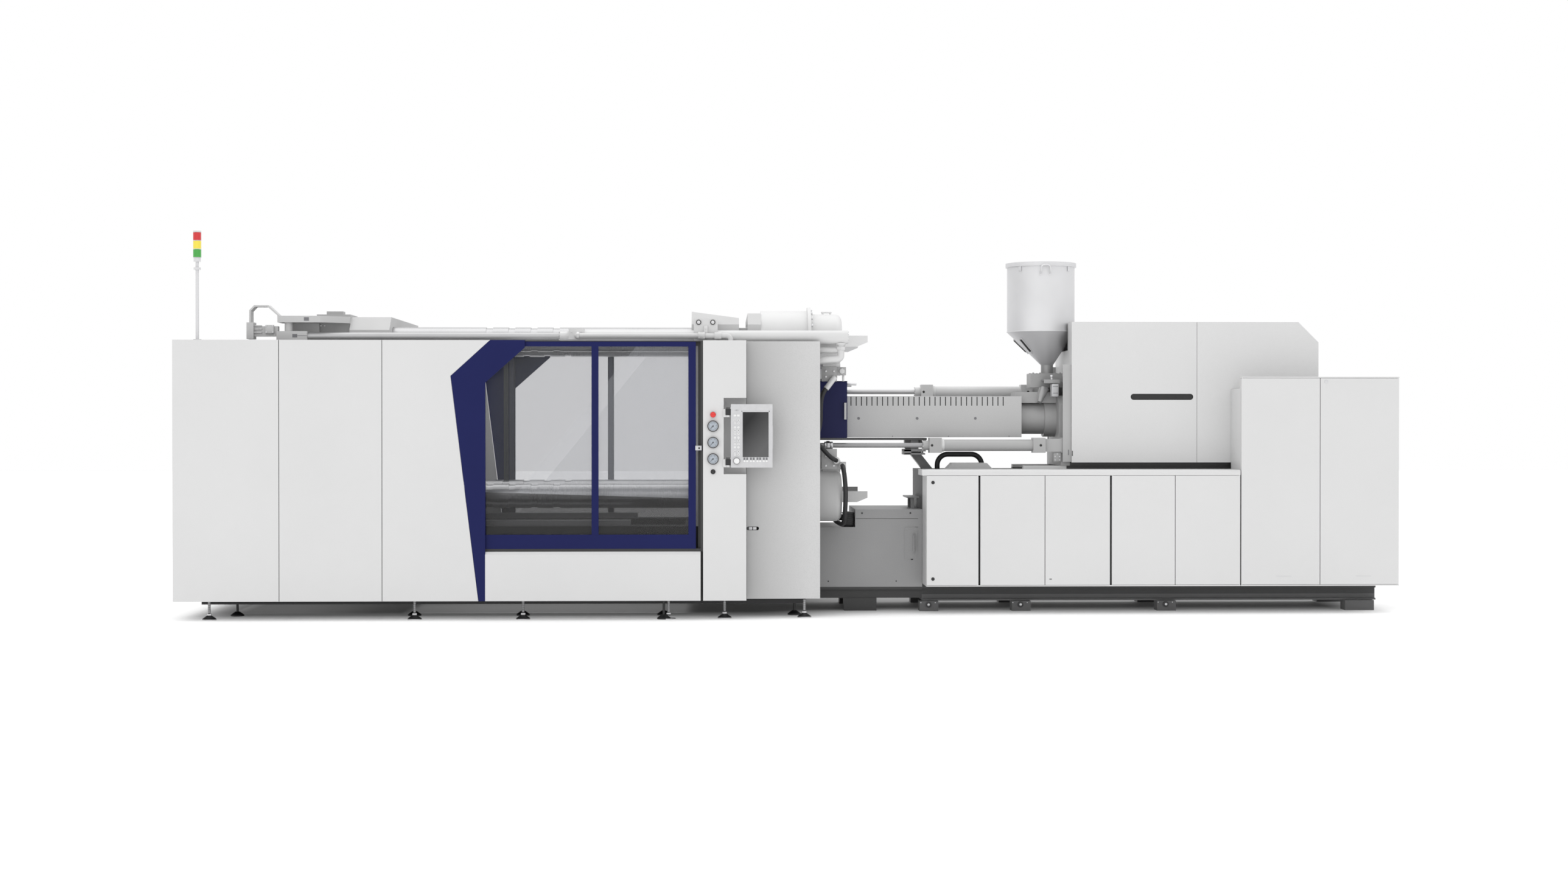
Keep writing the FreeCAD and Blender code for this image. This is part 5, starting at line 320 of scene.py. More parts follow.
# %% [markdown]
# ## Clear sheet, plastics and rubber
# The gate's windows are clear polycarbonate sheet with a faint grey tint. Real refraction would darken
# the whole clamp behind it, so the pane mixes a transparent shader with a glossy one, and Fresnel decides
# how much gloss a slanted look gets. Two edges of a reflection cross the window in the studio. This scene
# has no room to reflect, so they are painted in: a diagonal with a lighter side, and a nearly level line
# that is darker below. Plastics get a moulded grain, and the hoses a matt rubber with fine rubbed marks.

# %% Clear polycarbonate
SHEET_SHEEN, SHADED_SHEEN = (0.62, 0.64, 0.67), grey(0.03)
DIAGONAL_SLOPE, DIAGONAL_HEIGHT, DIAGONAL_SHARE = 1.230, 4.152, 0.070
LEVEL_SLOPE, LEVEL_HEIGHT, LEVEL_SHARE = 0.031, 1.032, 0.30


def clear_sheet(name, tint, veil, reflecting=False):
    pane = Finish(name, Roughness=0.06, IOR=1.5)
    clear = pane.node("ShaderNodeBsdfTransparent", None, {"Color": tint})
    smear = pane.noise(1.6, 3.0, 0.6, pane.stretched((1.0, 1.0, 0.4)))
    gloss = pane.node("ShaderNodeFresnel", None, {"IOR": 1.5})
    share = veil + gloss * 0.45 + smear * 0.02
    sheen = SHEET_SHEEN
    if reflecting:
        lighter = pane.along("Z") - pane.along("X") * DIAGONAL_SLOPE < DIAGONAL_HEIGHT
        shaded = pane.along("Z") + pane.along("X") * LEVEL_SLOPE < LEVEL_HEIGHT
        share = share + lighter * DIAGONAL_SHARE + shaded * LEVEL_SHARE
        sheen = pane.mixed(shaded, SHEET_SHEEN, SHADED_SHEEN)
    pane.feed("Base Color", sheen)
    layers = {0: share.clamped(), 1: clear, 2: Wire(pane, pane.shader.outputs[0])}
    mixed = pane.node("ShaderNodeMixShader", None, layers)
    pane.tree.links.new(mixed.socket, pane.tree.nodes["Material Output"].inputs["Surface"])
    return pane.material


window_sheet = clear_sheet("clear_polycarbonate", grey(0.868, 0.005), 0.006, reflecting=True)
lens_sheet = clear_sheet("clear_dial_lens", grey(0.97, 0.01), 0.01)
print("clear sheets ready")

# %% Moulded plastic and rubber
def moulded(name, colour, rough=0.42, grain=900.0, lift=0.2, coat=0.0, zones=()):
    plastic = Finish(name, Roughness=rough, Coat_Weight=coat)
    fine = plastic.noise(grain, 2.0, 0.6)
    rubbed = plastic.noise(23.0, 3.0, 0.6)
    worn = tuple(channel * 1.12 + 0.003 for channel in colour)
    tone = plastic.mixed((rubbed * 1.5 - 0.4).clamped(), colour, worn)
    plastic.feed("Base Color", zoned(plastic, tone, zones))
    plastic.feed("Roughness", rough - 0.06 + fine * 0.12)
    plastic.relief(fine, lift, 0.00015)
    return plastic.material


black_plastic = moulded("moulded_black_plastic", grey(0.012, 0.001))
keypad_grey = moulded("moulded_grey_housing", grey(0.52, 0.01), 0.38)
panel_grey = moulded("moulded_panel_housing", grey(0.52, 0.01), 0.38,
                     zones=[("<X", HOUSING_LEFT, grey(0.07))])
key_white = moulded("moulded_white_key", grey(0.72), 0.35)
key_dark = moulded("moulded_dark_key", grey(0.16, 0.01), 0.4)
red_plastic = moulded("moulded_red_plastic", (0.62, 0.012, 0.008), 0.24, coat=0.5)
dial_white = moulded("printed_dial_white", (0.60, 0.66, 0.70), 0.4, lift=0.03)
dial_black = moulded("printed_dial_black", grey(0.01), 0.5, lift=0.03)
hose_rubber = moulded("black_hose_rubber", RUBBER_BLACK, 0.55, 500.0, 0.4)
print("plastics ready")

# %% [markdown]
# ## A signal light in one piece
# The lamps, the collar and the pole of the signal light are one turned solid, so one material colours
# them by height. Each lamp is a ribbed coloured cup: a wave along Z gives the ribs. The lamps are unlit
# plastic, so they get a coat and no emission, which keeps their red, yellow and green calm in daylight.

# %% Lamp stack
LAMPS_LOW, LAMP_STEP = 3.165, 0.074
LAMP_COLOURS = [(0.035, 0.33, 0.035), (0.80, 0.66, 0.05), (0.56, 0.006, 0.010)]


def lamp_stack():
    stack = Finish("signal_light_lamps", Roughness=0.25, Coat_Weight=0.6)
    height = stack.along("Z")
    tone = grey(0.60, 0.01)
    for number, colour in enumerate(LAMP_COLOURS):
        low = LAMPS_LOW + number * LAMP_STEP
        inside = (height > low + 0.003) * (height < low + LAMP_STEP - 0.003)
        tone = stack.mixed(inside, tone, colour)
    top = LAMPS_LOW + 3 * LAMP_STEP
    tone = stack.mixed(height > top + 0.0005, tone, grey(0.62))
    ribs = stack.node("ShaderNodeTexWave", {"bands_direction": "Z"}, {"Vector": stack.spot(), "Scale": 40.0})
    lens = (height > LAMPS_LOW) * (height < top)
    stack.feed("Base Color", tone)
    stack.feed("Roughness", 0.42 - lens * 0.2)
    stack.relief(ribs * lens, 0.5, 0.0008)
    return stack.material


signal_lamps = lamp_stack()
print("lamp heights:", [round(LAMPS_LOW + step * LAMP_STEP, 3) for step in range(3)])

# %% [markdown]
# ## Finishes for the fixed solids
# Every CAD node keeps its mesh and gets a finish through its material slots. The list below is the paint
# plan of the machine: pale covers, a deep blue chevron and gate, dark beds, grey castings, bright rods.

# %% Paint plan
PAINT_PLAN = {
    sill_coat: ["gate_sills"],
    rear_gate_coat: ["rear_gate_frame"],
    panel_coat: ["clamp_covers", "control_column", "low_cabinet", "tall_cabinet", "hood"]
                + [f"low_door_{number}" for number in range(1, 6)] + ["tall_door_1", "tall_door_2"],
    service_coat: ["service_covers"],
    guard_coat: ["barrel_guard"],
    base_coat: ["middle_base"],
    blue_coat: ["chevron_panels", "front_gate_frame"],
    guard_blue_coat: ["purge_shell"],
    purge_door_coat: ["purge_door"],
    dark_coat: ["cover_frame", "gate_tracks"],
    injection_base_coat: ["injection_base"],
    machine_bed_paint: ["clamp_bed"],
    casting_grey: ["lock_housings", "feed_casting", "injection_plate"],
    carriage_paint: ["carriage"],
    yoke_paint: ["moving_platen", "fixed_platen", "rod_yokes"],
    cylinder_grey: ["travel_cylinders"],
    clamp_cylinder_paint: ["clamp_cylinders"],
    carriage_cylinder_paint: ["carriage_cylinders"],
    chrome: ["tie_bars"],
    ground_steel: ["bed_rails", "barrel", "screw", "ejector"],
    rod_steel: ["carriage_rods", "travel_rods"],
    pipe_paint: ["hydraulic_lines"],
    turned_steel: ["lock_nuts_front", "lock_nuts_rear"],
    brushed_stainless: ["hopper", "hopper_lid", "slide_gate", "heater_bands"],
    window_sheet: ["front_gate_glass", "rear_gate_glass"],
    panel_grey: ["hmi_panel"],
    black_plastic: ["hmi_wheel", "push_button", "levelling_feet"],
    dial_black: ["gauge_needle_1", "gauge_needle_2", "gauge_needle_3"],
    red_plastic: ["estop_button"],
    signal_lamps: ["stack_light"],
}
painted = set()
for finish, names in PAINT_PLAN.items():
    for name in names:
        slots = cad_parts[name].data.materials
        slots.clear()
        slots.append(finish)
        painted.add(name)
print("nodes without a finish:", sorted(set(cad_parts) - painted))

# %% [markdown]
# ## Camera, floor and studio light
# The photograph is a catalogue picture: a camera far away, nearly level, on a white ground with a soft
# shadow under the machine. A 50 mm lens on a 36 mm sensor stands 19 m in front of the covers. A wide soft
# light stands high in front, a stronger one hangs overhead, and a bright world closes the shadows. Part
# of the shadow under the machine is painted on the floor. Its mask is a product of soft steps: one in
# front of the machine, which lies further forward on the clamp's side, one behind it, and one past each
# end.

# %% Camera
camera = bpy.data.objects.new("camera", bpy.data.cameras.new("camera"))
bpy.context.collection.objects.link(camera)
camera.data.lens = 50.0
camera.data.sensor_width = 36.0
camera.data.clip_end = 200.0
camera.location = (-0.6685, -20.450, 1.706)
camera.rotation_euler = (math.radians(90.0 - 0.424), 0.0, math.radians(-1.6))
bpy.context.scene.camera = camera
print("camera at", tuple(camera.location))

# %% Floor
SHADOW_FRONT, SHADOW_BACK, SHADOW_END = 1.0, 1.8, 5.5


def soft_step(place, edge, steepness):
    """Goes from 0 to 1 where a coordinate rises past minus the edge."""
    return ((place + edge) * steepness).clamped()


def pale_floor():
    floor_finish = Finish("studio_floor", Roughness=0.7, Emission_Strength=0.22)
    tone = floor_finish.mixed(floor_finish.noise(0.6), grey(0.93), grey(0.95))
    across, along = floor_finish.along("Y"), floor_finish.along("X").maths("ABSOLUTE")
    clamp_side = (floor_finish.along("X") * -0.8 + 0.7).clamped() * 0.45
    under = soft_step(across + clamp_side, SHADOW_FRONT, 1.1) * soft_step(across * -1.0, SHADOW_BACK, 2.0)
    under = under * soft_step(along * -1.0, SHADOW_END, 2.0)
    floor_finish.feed("Base Color", floor_finish.mixed(under, tone, grey(0.30)))
    floor_finish.feed("Emission Color", floor_finish.mixed(under, grey(1.0), grey(0.10)))
    sheet = bmesh.new()
    bmesh.ops.create_grid(sheet, x_segments=2, y_segments=2, size=60.0)
    data = bpy.data.meshes.new("studio_floor")
    sheet.to_mesh(data)
    sheet.free()
    data.materials.append(floor_finish.material)
    ground = bpy.data.objects.new("studio_floor", data)
    bpy.context.collection.objects.link(ground)
    return ground


floor = pale_floor()
print("floor:", floor.dimensions)

# %% Lights and world
def soft_light(name, place, target, size, power):
    lamp = bpy.data.lights.new(name, "AREA")
    lamp.shape = "RECTANGLE"
    lamp.size, lamp.size_y = size
    lamp.energy = power
    holder = bpy.data.objects.new(name, lamp)
    bpy.context.collection.objects.link(holder)
    holder.location = place
    holder.rotation_euler = (Vector(target) - Vector(place)).to_track_quat("-Z", "Y").to_euler()


soft_light("front_softbox", (-3.0, -13.0, 9.0), (0.0, 0.0, 1.0), (16.0, 6.0), 170.0)
soft_light("top_softbox", (0.0, 1.0, 10.0), (0.0, 0.0, 0.0), (16.0, 8.0), 420.0)
world = bpy.data.worlds.new("studio")
world.use_nodes = True
world.node_tree.nodes["Background"].inputs[0].default_value = (1.0, 1.0, 1.0, 1.0)
world.node_tree.nodes["Background"].inputs[1].default_value = 1.0
bpy.context.scene.world = world
bpy.context.scene.view_settings.view_transform = "Standard"
print("lights ready")

# %% [markdown]
# ## A small workshop of shapes
# Details such as bolt heads, bezels and keys come from a few bmesh operators. One `Workpiece` gathers
# many small shapes in a single mesh, because five hundred screws as five hundred objects would be slow to
# handle. A block is a cube with bevelled edges, a bar is a cone with two equal ends unless it tapers, and
# a turned part is a spun outline.

# %% Workpiece: many small shapes in one mesh
AXIS_TURN = {
    "X": Matrix.Rotation(math.radians(90.0), 4, "Y"),
    "Y": Matrix.Rotation(math.radians(90.0), 4, "X"),
    "Z": Matrix.Identity(4),
}


class Workpiece:
    def __init__(self, name, finish, body, slot, smooth=35.0):
        self.name, self.finish, self.body, self.slot = name, finish, body, slot
        self.smooth = smooth
        self.mesh = bmesh.new()

    def rounded(self, edges, amount, segments):
        if amount > 0.0:
            bmesh.ops.bevel(self.mesh, geom=list(edges), offset=amount, segments=segments, profile=0.5,
                            affect="EDGES", material=-1, clamp_overlap=True)

    def block(self, low, high, bevel=0.0, segments=2, turn=None):
        low, high = Vector(low), Vector(high)
        size = Matrix.Diagonal((*(high - low), 1.0))
        place = Matrix.Translation((low + high) / 2) @ (turn or Matrix.Identity(4)) @ size
        made = bmesh.ops.create_cube(self.mesh, size=1.0, matrix=place)
        edges = {edge for vertex in made["verts"] for edge in vertex.link_edges}
        self.rounded(edges, bevel, segments)

    def bar(self, start, end, radius, sides=24, bevel=0.0, end_radius=None):
        start, end = Vector(start), Vector(end)
        along = end - start
        turn = along.to_track_quat("Z", "Y").to_matrix().to_4x4()
        place = Matrix.Translation((start + end) / 2) @ turn
        made = bmesh.ops.create_cone(self.mesh, cap_ends=True, segments=sides, radius1=radius,
                                     radius2=radius if end_radius is None else end_radius,
                                     depth=along.length, matrix=place)
        rims = {edge for vertex in made["verts"] for edge in vertex.link_edges
                if any(len(face.verts) > 4 for face in edge.link_faces)}
        self.rounded(rims, bevel, 2)

    def turned(self, outline, centre, axis="Z", sides=32):
        """Spins an outline of (radius, height) points about an axis through centre."""
        points = [self.mesh.verts.new((radius, 0.0, height)) for radius, height in outline]
        edges = [self.mesh.edges.new(pair) for pair in zip(points, points[1:])]
        start = set(self.mesh.verts) - set(points)
        bmesh.ops.spin(self.mesh, geom=points + edges, cent=(0, 0, 0), axis=(0, 0, 1), angle=math.tau,
                       steps=sides, use_merge=True)
        fresh = [vertex for vertex in self.mesh.verts if vertex not in start]
        bmesh.ops.remove_doubles(self.mesh, verts=fresh, dist=1e-6)
        fresh = [vertex for vertex in self.mesh.verts if vertex not in start]
        bmesh.ops.transform(self.mesh, verts=fresh, matrix=Matrix.Translation(centre) @ AXIS_TURN[axis])

    def screw(self, centre, outward, radius, height, socket=False):
        """A hexagon head on a face, or a round head with a small hexagon on it that stands for its socket."""
        centre, outward = Vector(centre), Vector(outward).normalized()
        top = centre + outward * height
        self.bar(centre - outward * 0.001, top, radius, 16 if socket else 6, radius * 0.12)
        if socket:
            self.bar(top, centre + outward * (height + 0.0006), radius * 0.5, 6)

    def hoop(self, centre, axis, radius, wire, sides=40, wire_sides=10):
        angles = [math.tau * step / wire_sides for step in range(wire_sides + 1)]
        outline = [(radius + wire * math.cos(angle), wire * math.sin(angle)) for angle in angles]
        self.turned(outline, centre, axis, sides)

    def done(self, clean=True):
        if clean:
            bmesh.ops.recalc_face_normals(self.mesh, faces=self.mesh.faces)
        for face in self.mesh.faces:
            face.smooth = True
        for edge in self.mesh.edges:
            if len(edge.link_faces) == 2 and edge.calc_face_angle(0.0) > math.radians(self.smooth):
                edge.smooth = False
        data = bpy.data.meshes.new(self.name)
        self.mesh.to_mesh(data)
        count = len(self.mesh.faces)
        self.mesh.free()
        data.materials.append(self.finish)
        made = bpy.data.objects.new(self.name, data)
        bpy.context.collection.objects.link(made)
        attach(made, self.body)
        print(f"{self.name}: {count} faces on {self.body}")


def mirrored(side, near, far):
    """Two distances from the middle as Y values on one side of the machine, the lower value first."""
    return sorted((near * side, far * side))


print("workshop ready")

# %% [markdown]
# ## Instruments on the column
# Three pressure gauges, a red stop button and a small black button stand in a column beside the window. A
# gauge is a turned steel bezel, a pale blue-grey dial with its scale, a needle that the CAD source
# already has, and a lens. The scale's ticks are thin blocks laid round a circle, and its plain numbers
# are text turned into a mesh.

# %% Where the instruments stand
COLUMN_X, COLUMN_FACE = -0.757, -1.400
GAUGE_Z = [1.695, 1.5515, 1.408]
STOP_Z, BUTTON_Z = 1.795, 1.296
SCALE_START, SCALE_SWEEP = 225.0, 270.0  # degrees, counted from three o'clock and then clockwise
needle = [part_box(f"gauge_needle_{number}") for number in (1, 2, 3)]
print("needle faces:", [round(low.y, 4) for low, high in needle], [round(high.y, 4) for low, high in needle])

# %% Bezels, dials and lenses
bezels = Workpiece("gauge_bezels", black_plastic, "machine_frame", "black_plastic")
rims = Workpiece("gauge_rims", zinc, "machine_frame", "steel")
dials = Workpiece("gauge_dials", dial_white, "machine_frame", "panel_white")
lenses = Workpiece("gauge_lenses", lens_sheet, "machine_frame", "glass")
for z in GAUGE_Z:
    centre = (COLUMN_X, COLUMN_FACE, z)
    bezels.turned([(0.0475, 0.0), (0.0495, 0.0), (0.0495, 0.021), (0.0478, 0.0238), (0.0440, 0.0240),
                   (0.0408, 0.0215), (0.0408, 0.0190)], centre, "Y", 48)
    rims.hoop((COLUMN_X, COLUMN_FACE - 0.0228, z), "Y", 0.0418, 0.0010, 48)
    dials.turned([(0.0, 0.0050), (0.0418, 0.0050), (0.0418, 0.0043), (0.0, 0.0043)], centre, "Y", 48)
    lenses.turned([(0.0, 0.0212), (0.030, 0.0208), (0.0410, 0.0198), (0.0410, 0.0188), (0.0, 0.0188)],
                  centre, "Y", 48)
for piece in (bezels, rims, dials, lenses):
    piece.done()

# %% Scales with plain numbers
scales = Workpiece("gauge_scales", dial_black, "machine_frame", "black_plastic", 20.0)
for z in GAUGE_Z:
    for step in range(26):
        angle = math.radians(SCALE_START - step * SCALE_SWEEP / 25)
        long = step % 5 == 0
        inner, outer = (0.0305 if long else 0.0335), 0.0365
        middle = (inner + outer) / 2
        spot = Vector((COLUMN_X + middle * math.cos(angle), COLUMN_FACE - 0.0051,
                       z + middle * math.sin(angle)))
        half = Vector(((outer - inner) / 2, 0.0003, 0.0007 if long else 0.0004))
        scales.block(spot - half, spot + half, turn=Matrix.Rotation(-angle, 4, "Y"))
scales.done()


def lettering(words, place, height):
    """A few plain characters as a flat mesh, with their place in the mesh."""
    curve = bpy.data.curves.new("dial_number", "FONT")
    curve.body, curve.size, curve.extrude = words, height, 0.0002
    curve.align_x, curve.align_y = "CENTER", "CENTER"
    curve.resolution_u = 3
    holder = bpy.data.objects.new("dial_number", curve)
    data = bpy.data.meshes.new_from_object(holder)
    bpy.data.objects.remove(holder)
    data.transform(Matrix.Translation(place) @ Matrix.Rotation(math.radians(90.0), 4, "X"))
    return data


NUMBER_RADIUS = 0.0245
dial_numbers = Workpiece("gauge_numbers", dial_black, "machine_frame", "black_plastic")
for z in GAUGE_Z:
    for step in range(6):
        angle = math.radians(SCALE_START - step * SCALE_SWEEP / 5)
        place = (COLUMN_X + NUMBER_RADIUS * math.cos(angle), COLUMN_FACE - 0.0052,
                 z + NUMBER_RADIUS * math.sin(angle))
        dial_numbers.mesh.from_mesh(lettering(str(step * 5), place, 0.0075))
dial_numbers.done(clean=False)

# %% [markdown]
# ## The operator's panel
# The panel is a grey moulded housing on two swivels. Its screen is dark glass that lies a little deeper,
# with a painted reflection that lightens it towards its lower right corner. A keypad of small round keys
# runs down its left side in two columns, with eight softkeys and their labels under the screen. The keys
# are one mesh of bevelled discs. The white knob is a turned cap over the wheel that the CAD source turns.

# %% Screen of the panel
PANEL_FACE = -1.430


def screen_glass():
    glass = Finish("panel_screen_glass", Roughness=0.12, Specular_IOR_Level=0.2)
    across = (glass.along("X") + 0.498) / 0.226
    upward = (glass.along("Z") - 1.424) / 0.394
    # The screen's base colour carries a painted reflection: it grows lighter towards the lower right corner.
    painted_reflection = (across * 0.75 - upward + 0.62).clamped()
    glass.feed("Base Color", glass.mixed(painted_reflection, grey(0.022, 0.001), grey(0.105, 0.002)))
    glass.feed("Roughness", 0.12 + glass.noise(60.0) * 0.05)
    return glass.material


screen = Workpiece("panel_screen", screen_glass(), "hmi_panel", "glass")
screen.block((-0.497, PANEL_FACE + 0.0008, 1.425), (-0.273, PANEL_FACE + 0.004, 1.817), 0.0006)
screen.done()

# %% Keys and labels
KEY_COLUMNS = (-0.5656, -0.5352)
KEY_ROWS = [1.7478, 1.7212, 1.6840, 1.6574, 1.6293, 1.5951, 1.5663, 1.5382, 1.5109, 1.4752, 1.4471]
SOFTKEYS = [-0.4829, -0.4586, -0.4267, -0.4024, -0.3690, -0.3454, -0.3135, -0.2892]
keys = Workpiece("panel_keys", key_white, "hmi_panel", "panel_white")
marks = Workpiece("panel_key_marks", key_dark, "hmi_panel", "black_plastic", 20.0)
for x in KEY_COLUMNS:
    keys.block((x - 0.012, PANEL_FACE - 0.005, 1.779), (x + 0.012, PANEL_FACE + 0.0005, 1.797), 0.002)
    for row, z in enumerate(KEY_ROWS):
        keys.bar((x, PANEL_FACE + 0.0005, z), (x, PANEL_FACE - 0.0032, z), 0.0098, 20, 0.0014)
        marks.bar((x, PANEL_FACE - 0.0030, z), (x, PANEL_FACE - 0.0034, z), 0.0046 - 0.0012 * (row % 3), 10)
for x in SOFTKEYS:
    marks.block((x - 0.0085, PANEL_FACE - 0.0008, 1.396), (x + 0.0085, PANEL_FACE + 0.0004, 1.421), 0.0004, 1)
    keys.bar((x, PANEL_FACE + 0.0004, 1.390), (x, PANEL_FACE - 0.0030, 1.390), 0.0098, 20, 0.0014)
marks.hoop((-0.5511, PANEL_FACE - 0.0004, 1.8335), "Y", 0.0042, 0.0008, 20, 6)
marks.block((-0.5641, PANEL_FACE - 0.0008, 1.8285), (-0.5621, PANEL_FACE + 0.0004, 1.8385))
marks.block((-0.5401, PANEL_FACE - 0.0008, 1.8285), (-0.5381, PANEL_FACE + 0.0004, 1.8385))
keys.done()
marks.done()

# %% Raised frame round the screen, side strip and the knob's cap
housing = Workpiece("panel_trim", panel_grey, "hmi_panel", "panel_grey")
for low, high in (((-0.509, 1.820), (-0.262, 1.828)), ((-0.509, 1.4235), (-0.500, 1.828)),
                  ((-0.271, 1.4235), (-0.262, 1.828))):
    housing.block((low[0], PANEL_FACE - 0.0025, low[1]), (high[0], PANEL_FACE + 0.001, high[1]), 0.001)
housing.block((-0.2365, PANEL_FACE + 0.004, 1.500), (-0.2325, PANEL_FACE + 0.070, 1.700), 0.0015)
housing.done()
knob = Workpiece("panel_knob", key_white, "hmi_wheel", "panel_white")
knob.turned([(0.0, 0.0205), (0.018, 0.0200), (0.0245, 0.0175), (0.0255, 0.0140), (0.0255, 0.0100)],
            (-0.551, PANEL_FACE, 1.391), "Y", 48)
knob.done()
covers = Workpiece("panel_swivel_covers", black_plastic, "hmi_panel", "black_plastic")
for low, high in ((1.7905, 1.8455), (1.3530, 1.4060)):
    covers.block((-0.648, -1.4265, low), (-0.6015, -1.4200, high), 0.003)
covers.done()

# %% [markdown]
# ## Stop button and push button
# The red mushroom sits in a zinc ring, and the CAD head gets a softer, domed cap so that it catches the
# light as a moulded one does. A collar goes round the black button.

# %% Caps and rings
stop_ring = Workpiece("stop_button_ring", zinc, "machine_frame", "steel")
stop_ring.turned([(0.0225, 0.0060), (0.0305, 0.0066), (0.0312, 0.0030), (0.0312, 0.0)],
                 (COLUMN_X, COLUMN_FACE, STOP_Z), "Y", 40)
stop_ring.done()
stop_cap = Workpiece("stop_button_cap", red_plastic, "estop_button", "red_plastic")
stop_cap.turned([(0.0, 0.0345), (0.012, 0.0335), (0.0205, 0.0300), (0.0243, 0.0245), (0.0245, 0.0180)],
                (COLUMN_X, COLUMN_FACE, STOP_Z), "Y", 40)
stop_cap.done()
button_collar = Workpiece("push_button_collar", black_plastic, "machine_frame", "black_plastic")
button_collar.turned([(0.0165, 0.0045), (0.0200, 0.0052), (0.0215, 0.0030), (0.0215, 0.0)],
                     (COLUMN_X, COLUMN_FACE, BUTTON_Z), "Y", 32)
button_collar.done()

# %% [markdown]
# ## Bolts of the clamp cylinders
# Each of the four clamp cylinders is closed by a flange with a circle of hexagon bolts, and two valve
# blocks sit between the cylinders on each side. A bolt circle is one loop round an axis, so the same
# small function serves flanges, glands and cylinder ends. On the real machine these bolts carry the
# clamping force, so they are large and stand close together.

# %% Bolt circles
def bolt_circle(piece, centre, outward, radius, count, size, height, start=0.0, socket=False):
    outward = Vector(outward)
    up = Vector((1.0, 0.0, 0.0)) if abs(outward.z) > 0.5 else Vector((0.0, 0.0, 1.0))
    across = outward.cross(up)
    for step in range(count):
        angle = start + math.tau * step / count
        spot = Vector(centre) + radius * (math.cos(angle) * up + math.sin(angle) * across)
        piece.screw(spot, outward, size, height, socket=socket)


CLAMP_Y, CLAMP_Z = 0.725, (2.475, 1.065)
clamp_bolts = Workpiece("clamp_flange_bolts", zinc, "machine_frame", "steel")
for y in (-CLAMP_Y, CLAMP_Y):
    for z in CLAMP_Z:
        bolt_circle(clamp_bolts, (0.120, y, z), (1, 0, 0), 0.266, 20, 0.0135, 0.016, math.pi / 20)
clamp_bolts.done()

# %% Valve blocks and lifting bars
VALVE_FACE = 0.801
valve_plates = Workpiece("valve_plates", casting_grey, "machine_frame", "cast_grey")
valve_bolts = Workpiece("valve_bolts", zinc, "machine_frame", "steel")
for side in (-1, 1):
    plate_faces, block_faces = mirrored(side, 0.785, VALVE_FACE), mirrored(side, 0.725, VALVE_FACE)
    for low, high, block_low, block_high, bolt_step in ((2.098, 2.231, 2.155, 2.228, -0.050),
                                                        (1.303, 1.489, 1.303, 1.372, 0.090)):
        valve_plates.block((0.221, plate_faces[0], low), (0.359, plate_faces[1], high), 0.002)
        valve_plates.block((0.359, block_faces[0], block_low), (0.441, block_faces[1], block_high), 0.002)
        middle = (block_low + block_high) / 2
        for x, z in ((0.258, middle), (0.258, middle + bolt_step), (0.330, middle)):
            valve_bolts.screw((x, VALVE_FACE * side, z), (0, side, 0), 0.010, 0.008)
        valve_bolts.screw((0.403, VALVE_FACE * side, middle), (0, side, 0), 0.021, 0.012)
valve_plates.done()
valve_bolts.done()
lugs = Workpiece("cylinder_lifting_bars", cylinder_grey, "machine_frame", "cast_grey")
for y in (-CLAMP_Y, CLAMP_Y):
    for x in (0.232, 0.300):
        lugs.bar((x, y, 2.700), (x, y, 2.722), 0.008, 16)
    lugs.bar((0.218, y, 2.724), (0.314, y, 2.724), 0.007, 16, 0.002)
lugs.done()

# %% [markdown]
# ## Travel cylinders and their pipes
# The long cylinder over the covers drives the moving platen. A saddle with two counterbored bolts holds
# it at the fixed platen, its rod end has a gland with a ring of screws, and a pipe in front feeds it
# through hexagon fittings. A fitting is a short hexagonal bar between two thin collars; at this distance
# a thread would never be seen.

# %% Saddle bolts, gland screws and hexagon fittings
TRAVEL_Y, TRAVEL_Z = 1.080, (2.487, 1.053)
SADDLE_FACE, PIPE_Y, PIPE_Z = 1.150, -1.190, 2.492
steel_parts = Workpiece("travel_cylinder_screws", zinc, "machine_frame", "steel")
# Black discs round the counterbored bolts are painted shade in their counterbores.
bore_shade = Workpiece("travel_cylinder_bore_shade", dial_black, "machine_frame", "black_plastic")
for side, z in ((-1, TRAVEL_Z[0]), (1, TRAVEL_Z[1])):
    y = TRAVEL_Y * side
    bolt_circle(steel_parts, (-2.115, y, z), (-1, 0, 0), 0.050, 8, 0.0055, 0.006, 0.2, socket=True)
    bolt_circle(steel_parts, (0.442, y, z), (1, 0, 0), 0.046, 6, 0.006, 0.007, 0.0, socket=True)
    for x in (-0.885, -0.760):
        rim = (x, SADDLE_FACE * side, z + 0.1275)
        bore_shade.turned([(0.0, 0.0006), (0.0225, 0.0006), (0.0225, -0.0005)], rim, "Y", 28)
        steel_parts.bar(rim, (x, (SADDLE_FACE + 0.0035) * side, z + 0.1275), 0.0155, 20, 0.002)
    for x in (-2.010, -1.923):
        spot = (x, (SADDLE_FACE + 0.0005) * side, z + 0.040)
        steel_parts.screw(spot, (0, side, 0), 0.006, 0.006, socket=True)
steel_parts.done()
bore_shade.done()
fittings = Workpiece("pipe_fittings", cylinder_grey, "machine_frame", "steel")
for low, high, radius in ((-0.889, -0.872, 0.036), (-0.872, -0.846, 0.031), (-0.846, -0.830, 0.036),
                          (-0.745, -0.728, 0.034), (-0.728, -0.702, 0.030), (-0.702, -0.685, 0.036),
                          (-1.960, -1.938, 0.034)):
    fittings.bar((low, PIPE_Y, PIPE_Z), (high, PIPE_Y, PIPE_Z), radius, 6 if radius > 0.0335 else 24, 0.002)
fittings.block((-0.838, -1.166, 2.4625), (-0.806, -1.1400, 2.584), 0.002)
for z in (2.464, 2.557):
    fittings.screw((-0.822, -1.166, z), (0, -1, 0), 0.007, 0.005, socket=True)
fittings.done()

